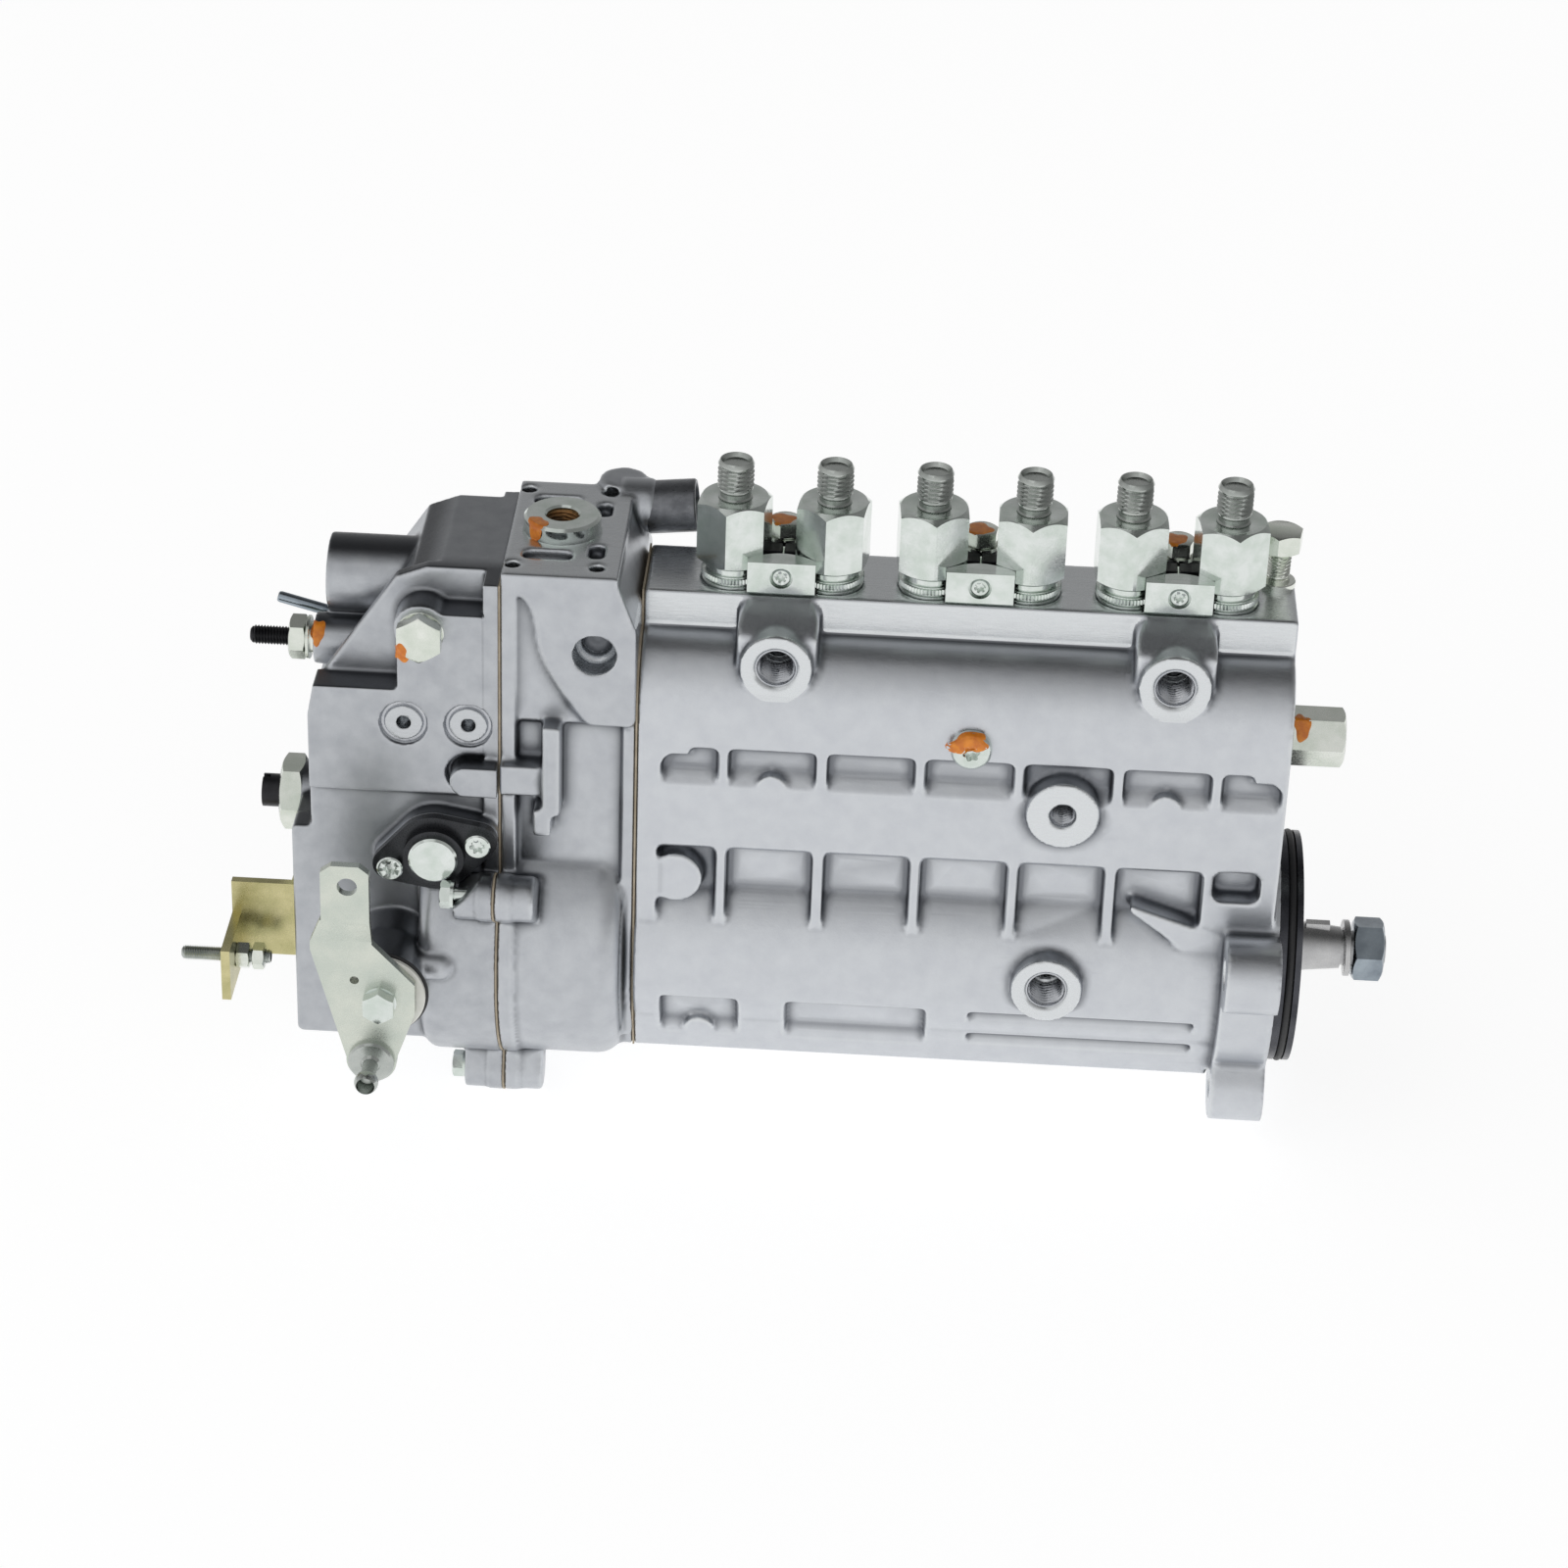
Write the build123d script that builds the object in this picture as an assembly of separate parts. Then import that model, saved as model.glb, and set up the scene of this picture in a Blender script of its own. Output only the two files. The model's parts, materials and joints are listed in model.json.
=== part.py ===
from build123d import *
import math
import os

# Six-element in-line diesel injection pump with a mechanical speed governor.
# Millimetres.  +X runs along the camshaft to the drive end, -Y is the side with the
# fuel ports, +Z is up.  The origin is where the camshaft axis meets the flange face.

# ---------------------------------------------------------------- driving dimensions
ELEMENTS = 6
PITCH = 32.0              # spacing of the pumping elements along the camshaft
FIRST_X = -25.0           # element 1, nearest the drive flange
GOVERNOR_MARGIN = 28.0    # element 6 to the governor joint face

RUN = 0.05                # radial clearance of a shaft or piston in its bore
GAP = 0.3                 # free gap between pieces that move past each other
SEAT = 0.1                # axial gap where a moving piece bears on another

# camshaft, cams, tappets
CAM_BASE_R = 14.0
CAM_LIFT = 8.0
CAM_NOSE_R = 6.0
CAM_WIDTH = 10.6
SHAFT_R = 8.5
CORE_R = 10.0
REST_TURN = 30.0          # rest angle of cam 1 past the top, degrees
FIRING_ORDER = (1, 5, 3, 6, 2, 4)
TAPER_START = 10.0
TAPER_END = 24.0
TAPER_END_R = 7.1
THREAD_R = 5.95
SHAFT_END = 39.2
ROLLER_R = 8.5
ROLLER_WIDTH = 10.8
ROLLER_PIN_R = 3.5
TAPPET_R = 12.5
TAPPET_SKIRT = 5.0        # below the roller centre
TAPPET_CROWN = 17.0       # above the roller centre
ADJUSTER_R = 6.5
ADJUSTER_HEIGHT = 3.0

# plungers, barrels, springs, control sleeves
PLUNGER_R = 4.5
PLUNGER_TOP = 110.0
FOOT_R = 5.5
FOOT_HEIGHT = 2.3
VANE_REACH = 7.4
VANE_WIDTH = 4.0
VANE_Z = 65.5
SPRING_R = 9.4
SPRING_WIRE_R = 1.2
SPRING_TURNS = 4.5
LOWER_SEAT_R = 11.6
LOWER_SEAT_HEIGHT = 4.2
UPPER_SEAT_HEIGHT = 2.0
BARREL_SKIRT_R = 6.4
BARREL_SKIRT_Z = 72.0
BARREL_HEAD_R = 9.0
BARREL_TOP_Z = 112.0
SLEEVE_R = 8.2
SLEEVE_BOTTOM_Z = 57.0
SLEEVE_TOP_Z = 94.5
GEAR_PITCH_R = 12.0
GEAR_TEETH = 24           # on a full circle; each sleeve carries a sector of it
SECTOR_TEETH = 11
SECTOR_Z = 86.0
SECTOR_HEIGHT = 6.0
RACK_R = 5.0
RACK_Z = 89.5
RACK_TRAVEL = 21.0

# delivery side
VALVE_FLANGE = 4.0
HOLDER_SHANK_R = 10.0
HOLDER_FOOT_Z = 116.0
COLLAR_R = 10.2
COLLAR_TOP_Z = 137.0
HOLDER_FLATS = 22.0
HEX_TOP_Z = 159.0
STUD_R = 6.0
STUD_TOP_Z = 172.0
OUTLET_R = 1.5
CONE_R = 3.6

# pump housing
TOP_Z = 130.0
STRIP_Y = -13.0
BACK_TOP_Y = 20.0
STRIP_FOOT_Z = 117.0
DOME_Y = -15.0
DOME_Z = 92.0
FRONT_Y = -34.0
BACK_Y = 32.0
SOLE_Z = -38.0
BULGE_R = 38.0
RIB_WIDTH = 3.5
ROW_LOW, ROW_HIGH = 70.0, 84.0
ROW_DEPTH = 4.0
ROW_SLOPE = 5.5           # height of the sloping lower wall of an upper pocket
ROW_STEP = 3.0            # the end pockets are this much lower at their outer end
BAY_LOW, BAY_HIGH = 13.0, 47.0
BAY_DEPTH = 8.0
BAY_RIM = 1.5             # shallow step under the upper edge of a lower bay
BAY_START = 7.0           # first lower bay beyond the governor joint
END_BAY_RIGHT, END_BAY_LOW = -8.0, 36.0
END_MARGIN = 8.0          # plain strip beside the governor joint
CAM_CHAMBER_R = 25.0
SPRING_CHAMBER_Y = 13.0
SPRING_CHAMBER_Z = (54.0, 82.0)
GEAR_CHAMBER_Z = (85.0, 96.0)
GEAR_CHAMBER_Y = 13.5
SHOULDER_Z = 99.0
GALLERY_Z = (103.0, 119.0)
GALLERY_Y = 11.5
PORT_BORE_R = 6.3
PORT_DEPTH = 17.5         # threaded length of a fuel port, its mouth included
PORT_PASSAGE_R = 4.5      # drilled on into the fuel gallery
PORT_MOUTH = 1.6          # countersink of the threaded ports
PORT_RING_R = 11.75
PORT_FACE_Y = -31.5
PORT_Z = 113.0
TOWER_HALF = 13.0         # half width of the block that carries a fuel port
TOWER_CORNER_R = 5.0
TOWER_FOOT_Z = 104.0
PORT_REACH = 24.0         # fuel port axis beyond the nearest element pair centre
OIL_PORT_X, OIL_PORT_Z = -75.6, 2.8
OIL_FACE_Y = -42.0
OIL_DEPTH = 15.0
OIL_PASSAGE_R = 4.0
BOSS_X, BOSS_Z = -74.2, 67.7
BOSS_FACE_Y = -38.0
BOSS_R = 12.0
BOSS_BORE_R = 4.25
BOSS_BORE_DEPTH = 17.0
GUIDE_X = -105.0

# mounting flange and pilot
FLANGE_T = 18.0
FLANGE_R = 43.0
EAR_R = 12.5
EAR_HOLE_R = 5.5
EAR_UPPER = (45.0, 15.0)
EAR_LOWER = (26.0, -40.0)
PILOT_R = 39.0
PILOT_LENGTH = 8.0
PILOT_LAND = 3.0
PLATE_RIM = 0.5           # step of the end plate's seat beyond the pilot
PLATE_SEAT = 2.0          # depth to which the end plate is let into the flange
O_RING_R = 1.5
SPIGOT_R = 29.5
SPIGOT_LENGTH = 12.0
BEARING_R = 20.0
BEARING_WIDTH = 11.5
OUTER_TRACK_R = 16.5
INNER_TRACK_R = 12.0
ROLLERS = 10
ROLLER_INSET = 1.5
END_CLEARANCE = 1.0
END_SCREW_RING = 33.0
END_SCREW_R = 2.0
END_SCREW_HEAD_R = 3.8
END_SCREW_DEPTH = 9.0
SEAL_R = 14.0

# inspection cover on the back
COVER_Z = (52.0, 100.0)
COVER_T = 3.0

# governor housing
GASKET_T = 0.6
GOV_LENGTH = 43.6
GOV_TOP_Z = 145.0
GOV_FRONT_Y = -36.0
GOV_BACK_Y = 32.0
GOV_WALL = 5.0
BOWL_R = 50.0
BOWL_CAVITY_R = 44.0
BLOCK_Z = 91.0
CORNER_Z = 126.0          # foot of the block's bevelled upper corner

# governor cover
COVER_LEFT_X = -320.0
COVER_LOW_LEFT_X = -326.5
COVER_TOP_Z = 140.5
COVER_STEP_Z = 63.0
COVER_SOLE_Z = -34.0
RECESS_Y = -25.0
COVER_PLATE_T = 5.0       # front plate of the cover, wider than the body behind it
COVER_INSET = 4.5
SLIT = 1.0                # groove between the cover's face and its joint flange
SLIT_DEPTH = 3.5
TONGUE_X, TONGUE_Z = -267.8, 71.0
TONGUE_R = 5.5
BOSS_RECESS_R = 7.8
BOSS_RECESS_DEPTH = 4.5
LEVER_X, LEVER_Z = -293.5, 2.2
LEVER_BOSS_R = 12.0
LEVER_BOSS_Y = -62.0
LEVER_SHAFT_R = 5.0
DISC_T = 1.8
LEVER_T = 3.0

# ------------------------------------------------------------------ derived positions
ELEMENT_X = [FIRST_X - i * PITCH for i in range(ELEMENTS)]
JOINT_X = ELEMENT_X[-1] - GOVERNOR_MARGIN
GOV_RIGHT = JOINT_X - GASKET_T
GOV_LEFT = GOV_RIGHT - GOV_LENGTH
COVER_RIGHT = GOV_LEFT - GASKET_T
ROLLER_Z = CAM_BASE_R + CAM_LIFT + ROLLER_R + GAP
TAPPET_TOP_Z = ROLLER_Z + TAPPET_CROWN
FOOT_Z = TAPPET_TOP_Z + ADJUSTER_HEIGHT + SEAT
LOWER_SEAT_Z = FOOT_Z + SEAT
RACK_Y = -(GEAR_PITCH_R + 2.5)
MODULE = 2 * GEAR_PITCH_R / GEAR_TEETH
JAW_X = [(ELEMENT_X[i] + ELEMENT_X[i + 1]) / 2 for i in range(0, ELEMENTS, 2)]
PORT_X = [JAW_X[0], JAW_X[-1]]
LOW, MID, HIGH = Align.MIN, Align.CENTER, Align.MAX

# ---------------------------------------------------------------------- smaller sizes
SCREW_R = 2.5
SCREW_HEAD_R = 4.3
SCREW_HEAD_T = 3.2
JAW_SCREW_R = 2.0
JAW_SCREW_HEAD_R = 3.3
JAW_SCREW_HEAD_T = 2.6
JAW_SEAT = 3.2            # depth of the screw seat in the front jaw
JAW_WIDTH = 22.0
JAW_SPLIT = 0.5           # half the gap between a front jaw and its rear jaw
JAW_REAR_Y = 6.5
JAW_TOP_Z = TOP_Z + 12.0
JAW_SCREW_Z = TOP_Z + 6.3
JAW_REAR_TOP_Z = TOP_Z + 9.5
JAW_ARCH_R = JAW_WIDTH * 0.75
JAW_FIT = 0.15            # gap between a jaw and the collars that it grips
PLUG_SHANK_R = 4.0
PLUG_FLATS = 10.0
PLUG_Y = 13.5
PLUG_WASHER_R = 6.0
PLUG_WASHER_T = 1.5
VALVE_X = -8.0
GUIDE_SHANK_R = 3.0
VANE_HEIGHT = 4.0
VALVE_BODY_R = 6.5
VALVE_STEM_R = 3.0
BARREL_NECK_R = 7.5
ADDENDUM = 0.8
DEDENDUM = 1.2
BACKLASH = 0.1
FLANK = math.tan(math.radians(20))
TOOTH_PITCH = math.pi * MODULE
RACK_TEETH = 63
RACK_PHASE_X = ELEMENT_X[0] + 10 * TOOTH_PITCH
RACK_NECK_R = 3.0
CAP_SHANK_R = 7.0
RACK_CAP_X = -2.0
RACK_RIGHT = RACK_CAP_X + 16.5
LINK_PIN_R = 2.0
PIVOT_PIN_R = 3.0
BOWL_BOLTS = ((-51.0, 34.0), (-20.0, -53.0), (20.0, -53.0), (51.0, 34.0))
TOP_BOLT = (38.0, 110.0)
JOINT_BOLTS = BOWL_BOLTS + (TOP_BOLT,)
BOLT_R = 2.5
BOLT_FLATS = 8.0
BOLT_HEAD = 4.0
LUG_R = 8.0
LUG_LENGTH = 13.0
LUG_STEP = 0.5            # the thick part of a lug is turned down by this much
CAVITY_Y = 20.0
CAVITY_TOP_Z = 128.0
WASHER_X = (24.6, 28.0)
NUT_X = (28.2, 38.4)
SHAFT_STUB_R = 6.0
CARRIER_X = (-227.5, -218.5)
WEIGHT_PIVOT_X = -225.0
WEIGHT_PIVOT_R = 22.0
WEIGHT_HALF = 9.5
TOE_REACH = 11.0
SLEEVE_FLANGE_X = WEIGHT_PIVOT_X - 1 - 2.2 - GAP
SLEEVE_NOSE_X = SLEEVE_FLANGE_X - 37.0
SLEEVE_NOSE_R = 4.0
SLEEVE_TRAVEL = RACK_TRAVEL / 4
GUIDE_LEVER_X = SLEEVE_NOSE_X - 4.0
GUIDE_PIVOT_Z = 104.0
FLOAT_PIVOT_Z = -22.0
FLOAT_Y = (-9.5, -6.5)
FLOAT_ARM = RACK_Z - FLOAT_PIVOT_Z
FLOAT_TILT = math.degrees(RACK_TRAVEL / 2 / FLOAT_ARM)
GUIDE_SLOPE = SLEEVE_TRAVEL / RACK_TRAVEL / (GUIDE_PIVOT_Z - SLEEVE_NOSE_R)
FLOAT_SLOPE = 1 / FLOAT_ARM
LINK_Z = (GUIDE_SLOPE * GUIDE_PIVOT_Z + FLOAT_SLOPE * FLOAT_PIVOT_Z) / (GUIDE_SLOPE + FLOAT_SLOPE)
FLOAT_X = GUIDE_LEVER_X - (LINK_Z - FLOAT_PIVOT_Z) * math.tan(math.radians(FLOAT_TILT))
RACK_PIN_X = FLOAT_X + FLOAT_ARM * math.tan(math.radians(FLOAT_TILT))
RACK_LEFT = RACK_PIN_X + 8.0
SPOUT_R = 7.9
SPOUT_BORE_R = 5.5
SPOUT_COLLAR = 1.0        # step of the boss that carries the spout
SPOUT_Y, SPOUT_Z = 30.0, 139.0
SPOUT_END_X = -200.0
SIDE_HOLE_X, SIDE_HOLE_Z = -227.0, 117.0
TOP_RING_X, TOP_RING_Y = GOV_LEFT + 16.6, -1.0
TOP_RING_R = 12.5
TOP_RING_SEAT = 1.0       # depth to which the ring is let into the top plate
TOP_RING_STAND = 5.0
TOP_BORE_R = 9.0
TOP_RING_BORE_R = 5.8
TOP_HOLE_R = 2.5
TOP_HOLE_DX, TOP_HOLE_DY = 13.5, 27.0
TOP_POCKET_DEPTH = 4.0
PIPE_R = 13.0
PIPE_Y, PIPE_Z = 3.0, 122.5
COVER_PLUG_X, COVER_PLUG_Z = -282.6, 123.0
COVER_PLUG_SHANK_R = 5.0
CAPSULE_X, CAPSULE_Z = -278.2, 44.5
CAPSULE_Y = -40.0
CAPSULE_R = 13.5
CAPSULE_SCREW = (14.4, 5.0)
CAPSULE_T = 3.0
CAPSULE_COLLAR_R = 10.0
CAPSULE_PLUG_R = 8.1
PLUG_BORE_R = 6.0
BOSS_PLACES = ((-288.7, 88.7), (-267.7, 88.8))
TEAT_R = 5.2
TEAT_X = (-285.5, -276.0)
TEAT_Y, TEAT_Z = -47.5, 4.5
IDLE_LUG_R = 11.0
STOP_SCREW_R = 3.2
STOP_SCREW_Y, STOP_SCREW_Z = -6.0, 102.5
STOP_PIN_R = 1.7
STOP_PIN_LENGTH = 30.0
IDLE_SCREW_R = 4.0
IDLE_LUG_X = -334.0
IDLE_Y, IDLE_Z = 0.0, 40.0
LEVER_Y = LEVER_BOSS_Y - 1.2 - DISC_T - GAP
LEVER_STEP = 4.0
BALL_X, BALL_Z = -296.6, -21.0
BALL_R = 4.0
BALL_REACH = 13.0
BALL_SHANK_R = 2.5
TAB_HOLE_X, TAB_HOLE_Z = -302.8, 48.0
TAB_HOLE_R = 3.25
SWIVEL_REACH = 30.0
SPRING_PIN_R = 1.8
SPRING_PIN_Z = 66.0
SPRING_PIN_STAND = 4.0
GOV_SPRING_R = 6.0
GOV_SPRING_WIRE_R = 0.9
GOV_SPRING_TURNS = 5.0
GOV_SPRING_HOOK = 6.0
BRACKET_SCREW_Y, BRACKET_SCREW_Z = -32.0, -6.0


# ------------------------------------------------------------------------ small tools
def rod_x(radius, x0, x1, y=0.0, z=0.0):
    """Round bar along X."""
    return Location((x0, y, z), (0, 90, 0)) * Cylinder(radius, x1 - x0, align=(MID, MID, LOW))


def rod_y(radius, y0, y1, x=0.0, z=0.0):
    """Round bar along Y."""
    return Location((x, y0, z), (-90, 0, 0)) * Cylinder(radius, y1 - y0, align=(MID, MID, LOW))


def rod_z(radius, z0, z1, x=0.0, y=0.0):
    """Round bar along Z."""
    return Location((x, y, z0)) * Cylinder(radius, z1 - z0, align=(MID, MID, LOW))


def cone_x(r0, r1, x0, x1, y=0.0, z=0.0):
    """Taper along X, from radius r0 at x0 to r1 at x1."""
    return Location((x0, y, z), (0, 90, 0)) * Cone(r0, r1, x1 - x0, align=(MID, MID, LOW))


def cone_y(r0, r1, y0, y1, x=0.0, z=0.0):
    """Taper along Y, from radius r0 at y0 to r1 at y1."""
    return Location((x, y0, z), (-90, 0, 0)) * Cone(r0, r1, y1 - y0, align=(MID, MID, LOW))


def cone_z(r0, r1, z0, z1, x=0.0, y=0.0):
    """Taper along Z, from radius r0 at z0 to r1 at z1."""
    return Location((x, y, z0)) * Cone(r0, r1, z1 - z0, align=(MID, MID, LOW))


def block(x0, x1, y0, y1, z0, z1):
    """Rectangular block between two corners."""
    return Location((x0, y0, z0)) * Box(x1 - x0, y1 - y0, z1 - z0, align=(LOW, LOW, LOW))


def hexagon(flats, height, turn=0.0):
    """Upright hexagonal prism with the given width across flats."""
    return extrude(RegularPolygon(flats / math.sqrt(3), 6, rotation=turn), height)


def hex_z(flats, z0, z1, x=0.0, y=0.0, turn=0.0):
    """Hexagonal prism along Z, its top corners turned off like a real nut."""
    prism = hexagon(flats, z1 - z0, turn)
    trim = Cone(flats * 0.5 + z1 - z0, flats * 0.5, z1 - z0, align=(MID, MID, LOW))
    return Location((x, y, z0)) * (prism & trim)


def hex_x(flats, x0, x1, y=0.0, z=0.0, turn=0.0):
    """Hexagonal prism along X."""
    return Location((x0, y, z), (0, 90, 0)) * hexagon(flats, x1 - x0, turn)


def hex_y(flats, y0, y1, x=0.0, z=0.0, turn=0.0):
    """Hexagonal prism along Y."""
    return Location((x, y0, z), (-90, 0, 0)) * hexagon(flats, y1 - y0, turn)


def prism_x(face, x0, x1):
    """Extrude a face drawn in (Y, Z) from x0 to x1."""
    return extrude(Plane.YZ.offset(x0) * face, x1 - x0)


def prism_y(face, y0, y1):
    """Extrude a face drawn in (X, Z) from y0 to y1."""
    return extrude(Plane.XZ.offset(-y1) * face, y1 - y0)


def outline(*points):
    """Face bounded by straight lines."""
    return make_face(Polyline(*points, close=True))


def group(*shapes):
    """Several separate solids kept together in one node."""
    solids = [s for shape in shapes for s in shape.solids()]
    return Compound(solids)


# ----------------------------------------------------------------------- pump housing
def housing_outline():
    """Cross-section of the pump body: flat head, rounded shoulder, straight sides."""
    front = [
        Polyline((STRIP_Y, TOP_Z), (STRIP_Y, STRIP_FOOT_Z), (DOME_Y, STRIP_FOOT_Z)),
        EllipticalCenterArc(
            (DOME_Y, DOME_Z), DOME_Y - FRONT_Y, STRIP_FOOT_Z - DOME_Z, 90, arc_size=90
        ),
        Polyline(
            (FRONT_Y, DOME_Z),
            (FRONT_Y, -10),
            (-31, -24),
            (-25, SOLE_Z),
            (25, SOLE_Z),
            (BACK_Y - 2, -22),
            (BACK_Y, -8),
            (BACK_Y, COVER_Z[1] + 5),
            (BACK_TOP_Y, STRIP_FOOT_Z),
            (BACK_TOP_Y, TOP_Z),
            (STRIP_Y, TOP_Z),
        ),
    ]
    return make_face(front)


def row_pocket(x0, x1, high, radius):
    """Pocket with a crisp upper edge, a flat floor and a lower wall that slopes out."""
    floor = FRONT_Y + ROW_DEPTH
    low = ROW_LOW - ROW_SLOPE / ROW_DEPTH
    face = outline((FRONT_Y - 1, high), (floor, high), (floor, ROW_LOW + ROW_SLOPE), (FRONT_Y - 1, low))
    ends = block(x0, x1, FRONT_Y - 2, floor + 1, low - 1, high)
    return prism_x(face, x0, x1) & fillet(ends.edges().filter_by(Axis.Y), radius)


def row_pockets():
    """Pockets of the upper row, one between each two ribs and a stepped one at each end."""
    left, right = JOINT_X + END_MARGIN, -4.0
    half = RIB_WIDTH / 2
    pockets = []
    for x0, x1 in zip(ELEMENT_X[::-1], ELEMENT_X[-2::-1]):
        pockets.append(row_pocket(x0 + half, x1 - half, ROW_HIGH, ROW_DEPTH / 2))
    for x0, x1 in ((left, ELEMENT_X[-1] - half), (ELEMENT_X[0] + half, right)):
        pockets.append(row_pocket(x0, x1, ROW_HIGH - ROW_STEP, ROW_DEPTH))
    step = END_MARGIN + 1
    pockets.append(row_pocket(left + step, ELEMENT_X[-1] - half, ROW_HIGH, ROW_DEPTH / 2))
    pockets.append(row_pocket(ELEMENT_X[0] + half, right - step, ROW_HIGH, ROW_DEPTH / 2))
    bumps = [rod_y(5.0, FRONT_Y - 2, FRONT_Y + ROW_DEPTH + 1, x, ROW_LOW) for x in PORT_X]
    return [pocket - bumps for pocket in pockets]


def rib_bays():
    """Recesses between the gusset ribs, which run down into the cam chamber bulge."""
    half = RIB_WIDTH / 2
    floor_y = FRONT_Y + BAY_DEPTH
    deep_top = BAY_HIGH - BAY_RIM
    edges = [JOINT_X + BAY_START - half] + ELEMENT_X[::-1]
    bays = []
    for left, right in zip(edges, edges[1:]):
        x0, x1 = left + half, right - half
        bay = block(x0, x1, FRONT_Y - 6, floor_y, BAY_LOW, deep_top)
        bays.append(fillet(bay.edges().filter_by(Axis.Y), BAY_RIM))
        bays.append(block(x0, x1, FRONT_Y - 6, FRONT_Y + BAY_RIM, deep_top - BAY_RIM, BAY_HIGH))
    small = block(ELEMENT_X[0] + half, END_BAY_RIGHT, FRONT_Y - 6, floor_y, END_BAY_LOW, BAY_HIGH)
    bays.append(fillet(small.edges().filter_by(Axis.Y), BAY_RIM * 2))
    return bays


def sole_pockets():
    """Relief along the foot of the front face: two pockets and two long grooves."""
    pocket = outline((-45, -10.5), (-32.5, -10.5), (-27.5, -24), (-28.5, -29.5), (-45, -29.5))
    upper = outline((-45, -11), (-32.5, -11), (-34.2, -16.5), (-45, -16.5))
    lower = outline((-45, -22.5), (-27, -22.5), (-29.8, -28), (-45, -28))
    first = prism_x(pocket, -204, -178) - rod_y(5.0, -46, 0, -191, -27)
    second = prism_x(pocket, -162, -115)
    return [first, second, prism_x(upper, -101, -25.5), prism_x(lower, -101, -25.5)]


def flange():
    """Flange plate with four ears, two on each side."""
    plate = rod_x(FLANGE_R, -FLANGE_T, 0)
    ears = []
    for y, z in (EAR_UPPER, EAR_LOWER):
        for side in (-1, 1):
            reach = math.hypot(y, z)
            turn = math.degrees(math.atan2(z, side * y))
            web = Box(FLANGE_T, reach, 2 * EAR_R, align=(HIGH, LOW, MID))
            ears.append(Location((0, 0, 0), (turn, 0, 0)) * web)
            ears.append(rod_x(EAR_R, -FLANGE_T, 0, side * y, z))
    return plate + ears


def flange_holes():
    """Bolt holes of the four ears."""
    holes = []
    for y, z in (EAR_UPPER, EAR_LOWER):
        for side in (-1, 1):
            holes.append(rod_x(EAR_HOLE_R, -FLANGE_T - 1, 1, side * y, z))
    return holes


def port_tower(x):
    """Block that carries a fuel port, its top sloping down to the front."""
    face = outline(
        (0, TOP_Z - 1),
        (STRIP_Y - 1, TOP_Z - 1),
        (STRIP_Y - 7, TOP_Z - 3.5),
        (PORT_FACE_Y + 5.5, TOP_Z - 6.5),
        (PORT_FACE_Y + 3.5, TOP_Z - 8),
        (PORT_FACE_Y + 3.5, TOWER_FOOT_Z),
        (0, TOWER_FOOT_Z),
    )
    left, right = x - TOWER_HALF, x + TOWER_HALF
    sides = block(left, right, PORT_FACE_Y - 1, 0, TOWER_FOOT_Z - 1, TOP_Z - 1)
    return prism_x(face, left, right) & fillet(sides.edges().filter_by(Axis.Y), TOWER_CORNER_R)


def housing_bosses():
    """Raised rings round the fuel ports, the oil port and the bracket hole."""
    bosses = []
    for x in PORT_X:
        bosses.append(rod_y(PORT_RING_R, PORT_FACE_Y, 0, x, PORT_Z))
        bosses.append(port_tower(x))
    bosses.append(rod_y(PORT_RING_R, OIL_FACE_Y, FRONT_Y + 4, OIL_PORT_X, OIL_PORT_Z))
    bosses.append(rod_y(BOSS_R, BOSS_FACE_Y, FRONT_Y + 6, BOSS_X, BOSS_Z))
    floor = FRONT_Y + BAY_DEPTH + 1
    bosses.append(rod_y(9.0, FRONT_Y + 0.5, floor, JOINT_X + 13.1, 34))
    bosses.append(block(JOINT_X + 6, JOINT_X + 13.1, FRONT_Y + 2, floor, 25.5, 30))
    gusset = outline((-50, 33), (-FLANGE_T + 1, 22), (-FLANGE_T + 1, 6), (-50, 30.5))
    bosses.append(prism_y(gusset, FRONT_Y - 0.5, FRONT_Y + BAY_DEPTH + 4))
    return bosses


def port_bore(face_y, depth, passage_r, end_y, x, z):
    """Countersunk threaded port with the smaller passage behind it."""
    thread = rod_y(PORT_BORE_R, face_y - 1, face_y + depth, x, z)
    mouth = cone_y(PORT_BORE_R + PORT_MOUTH, PORT_BORE_R, face_y, face_y + PORT_MOUTH, x, z)
    return [thread, mouth, rod_y(passage_r, face_y + depth - 1, end_y, x, z)]


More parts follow.
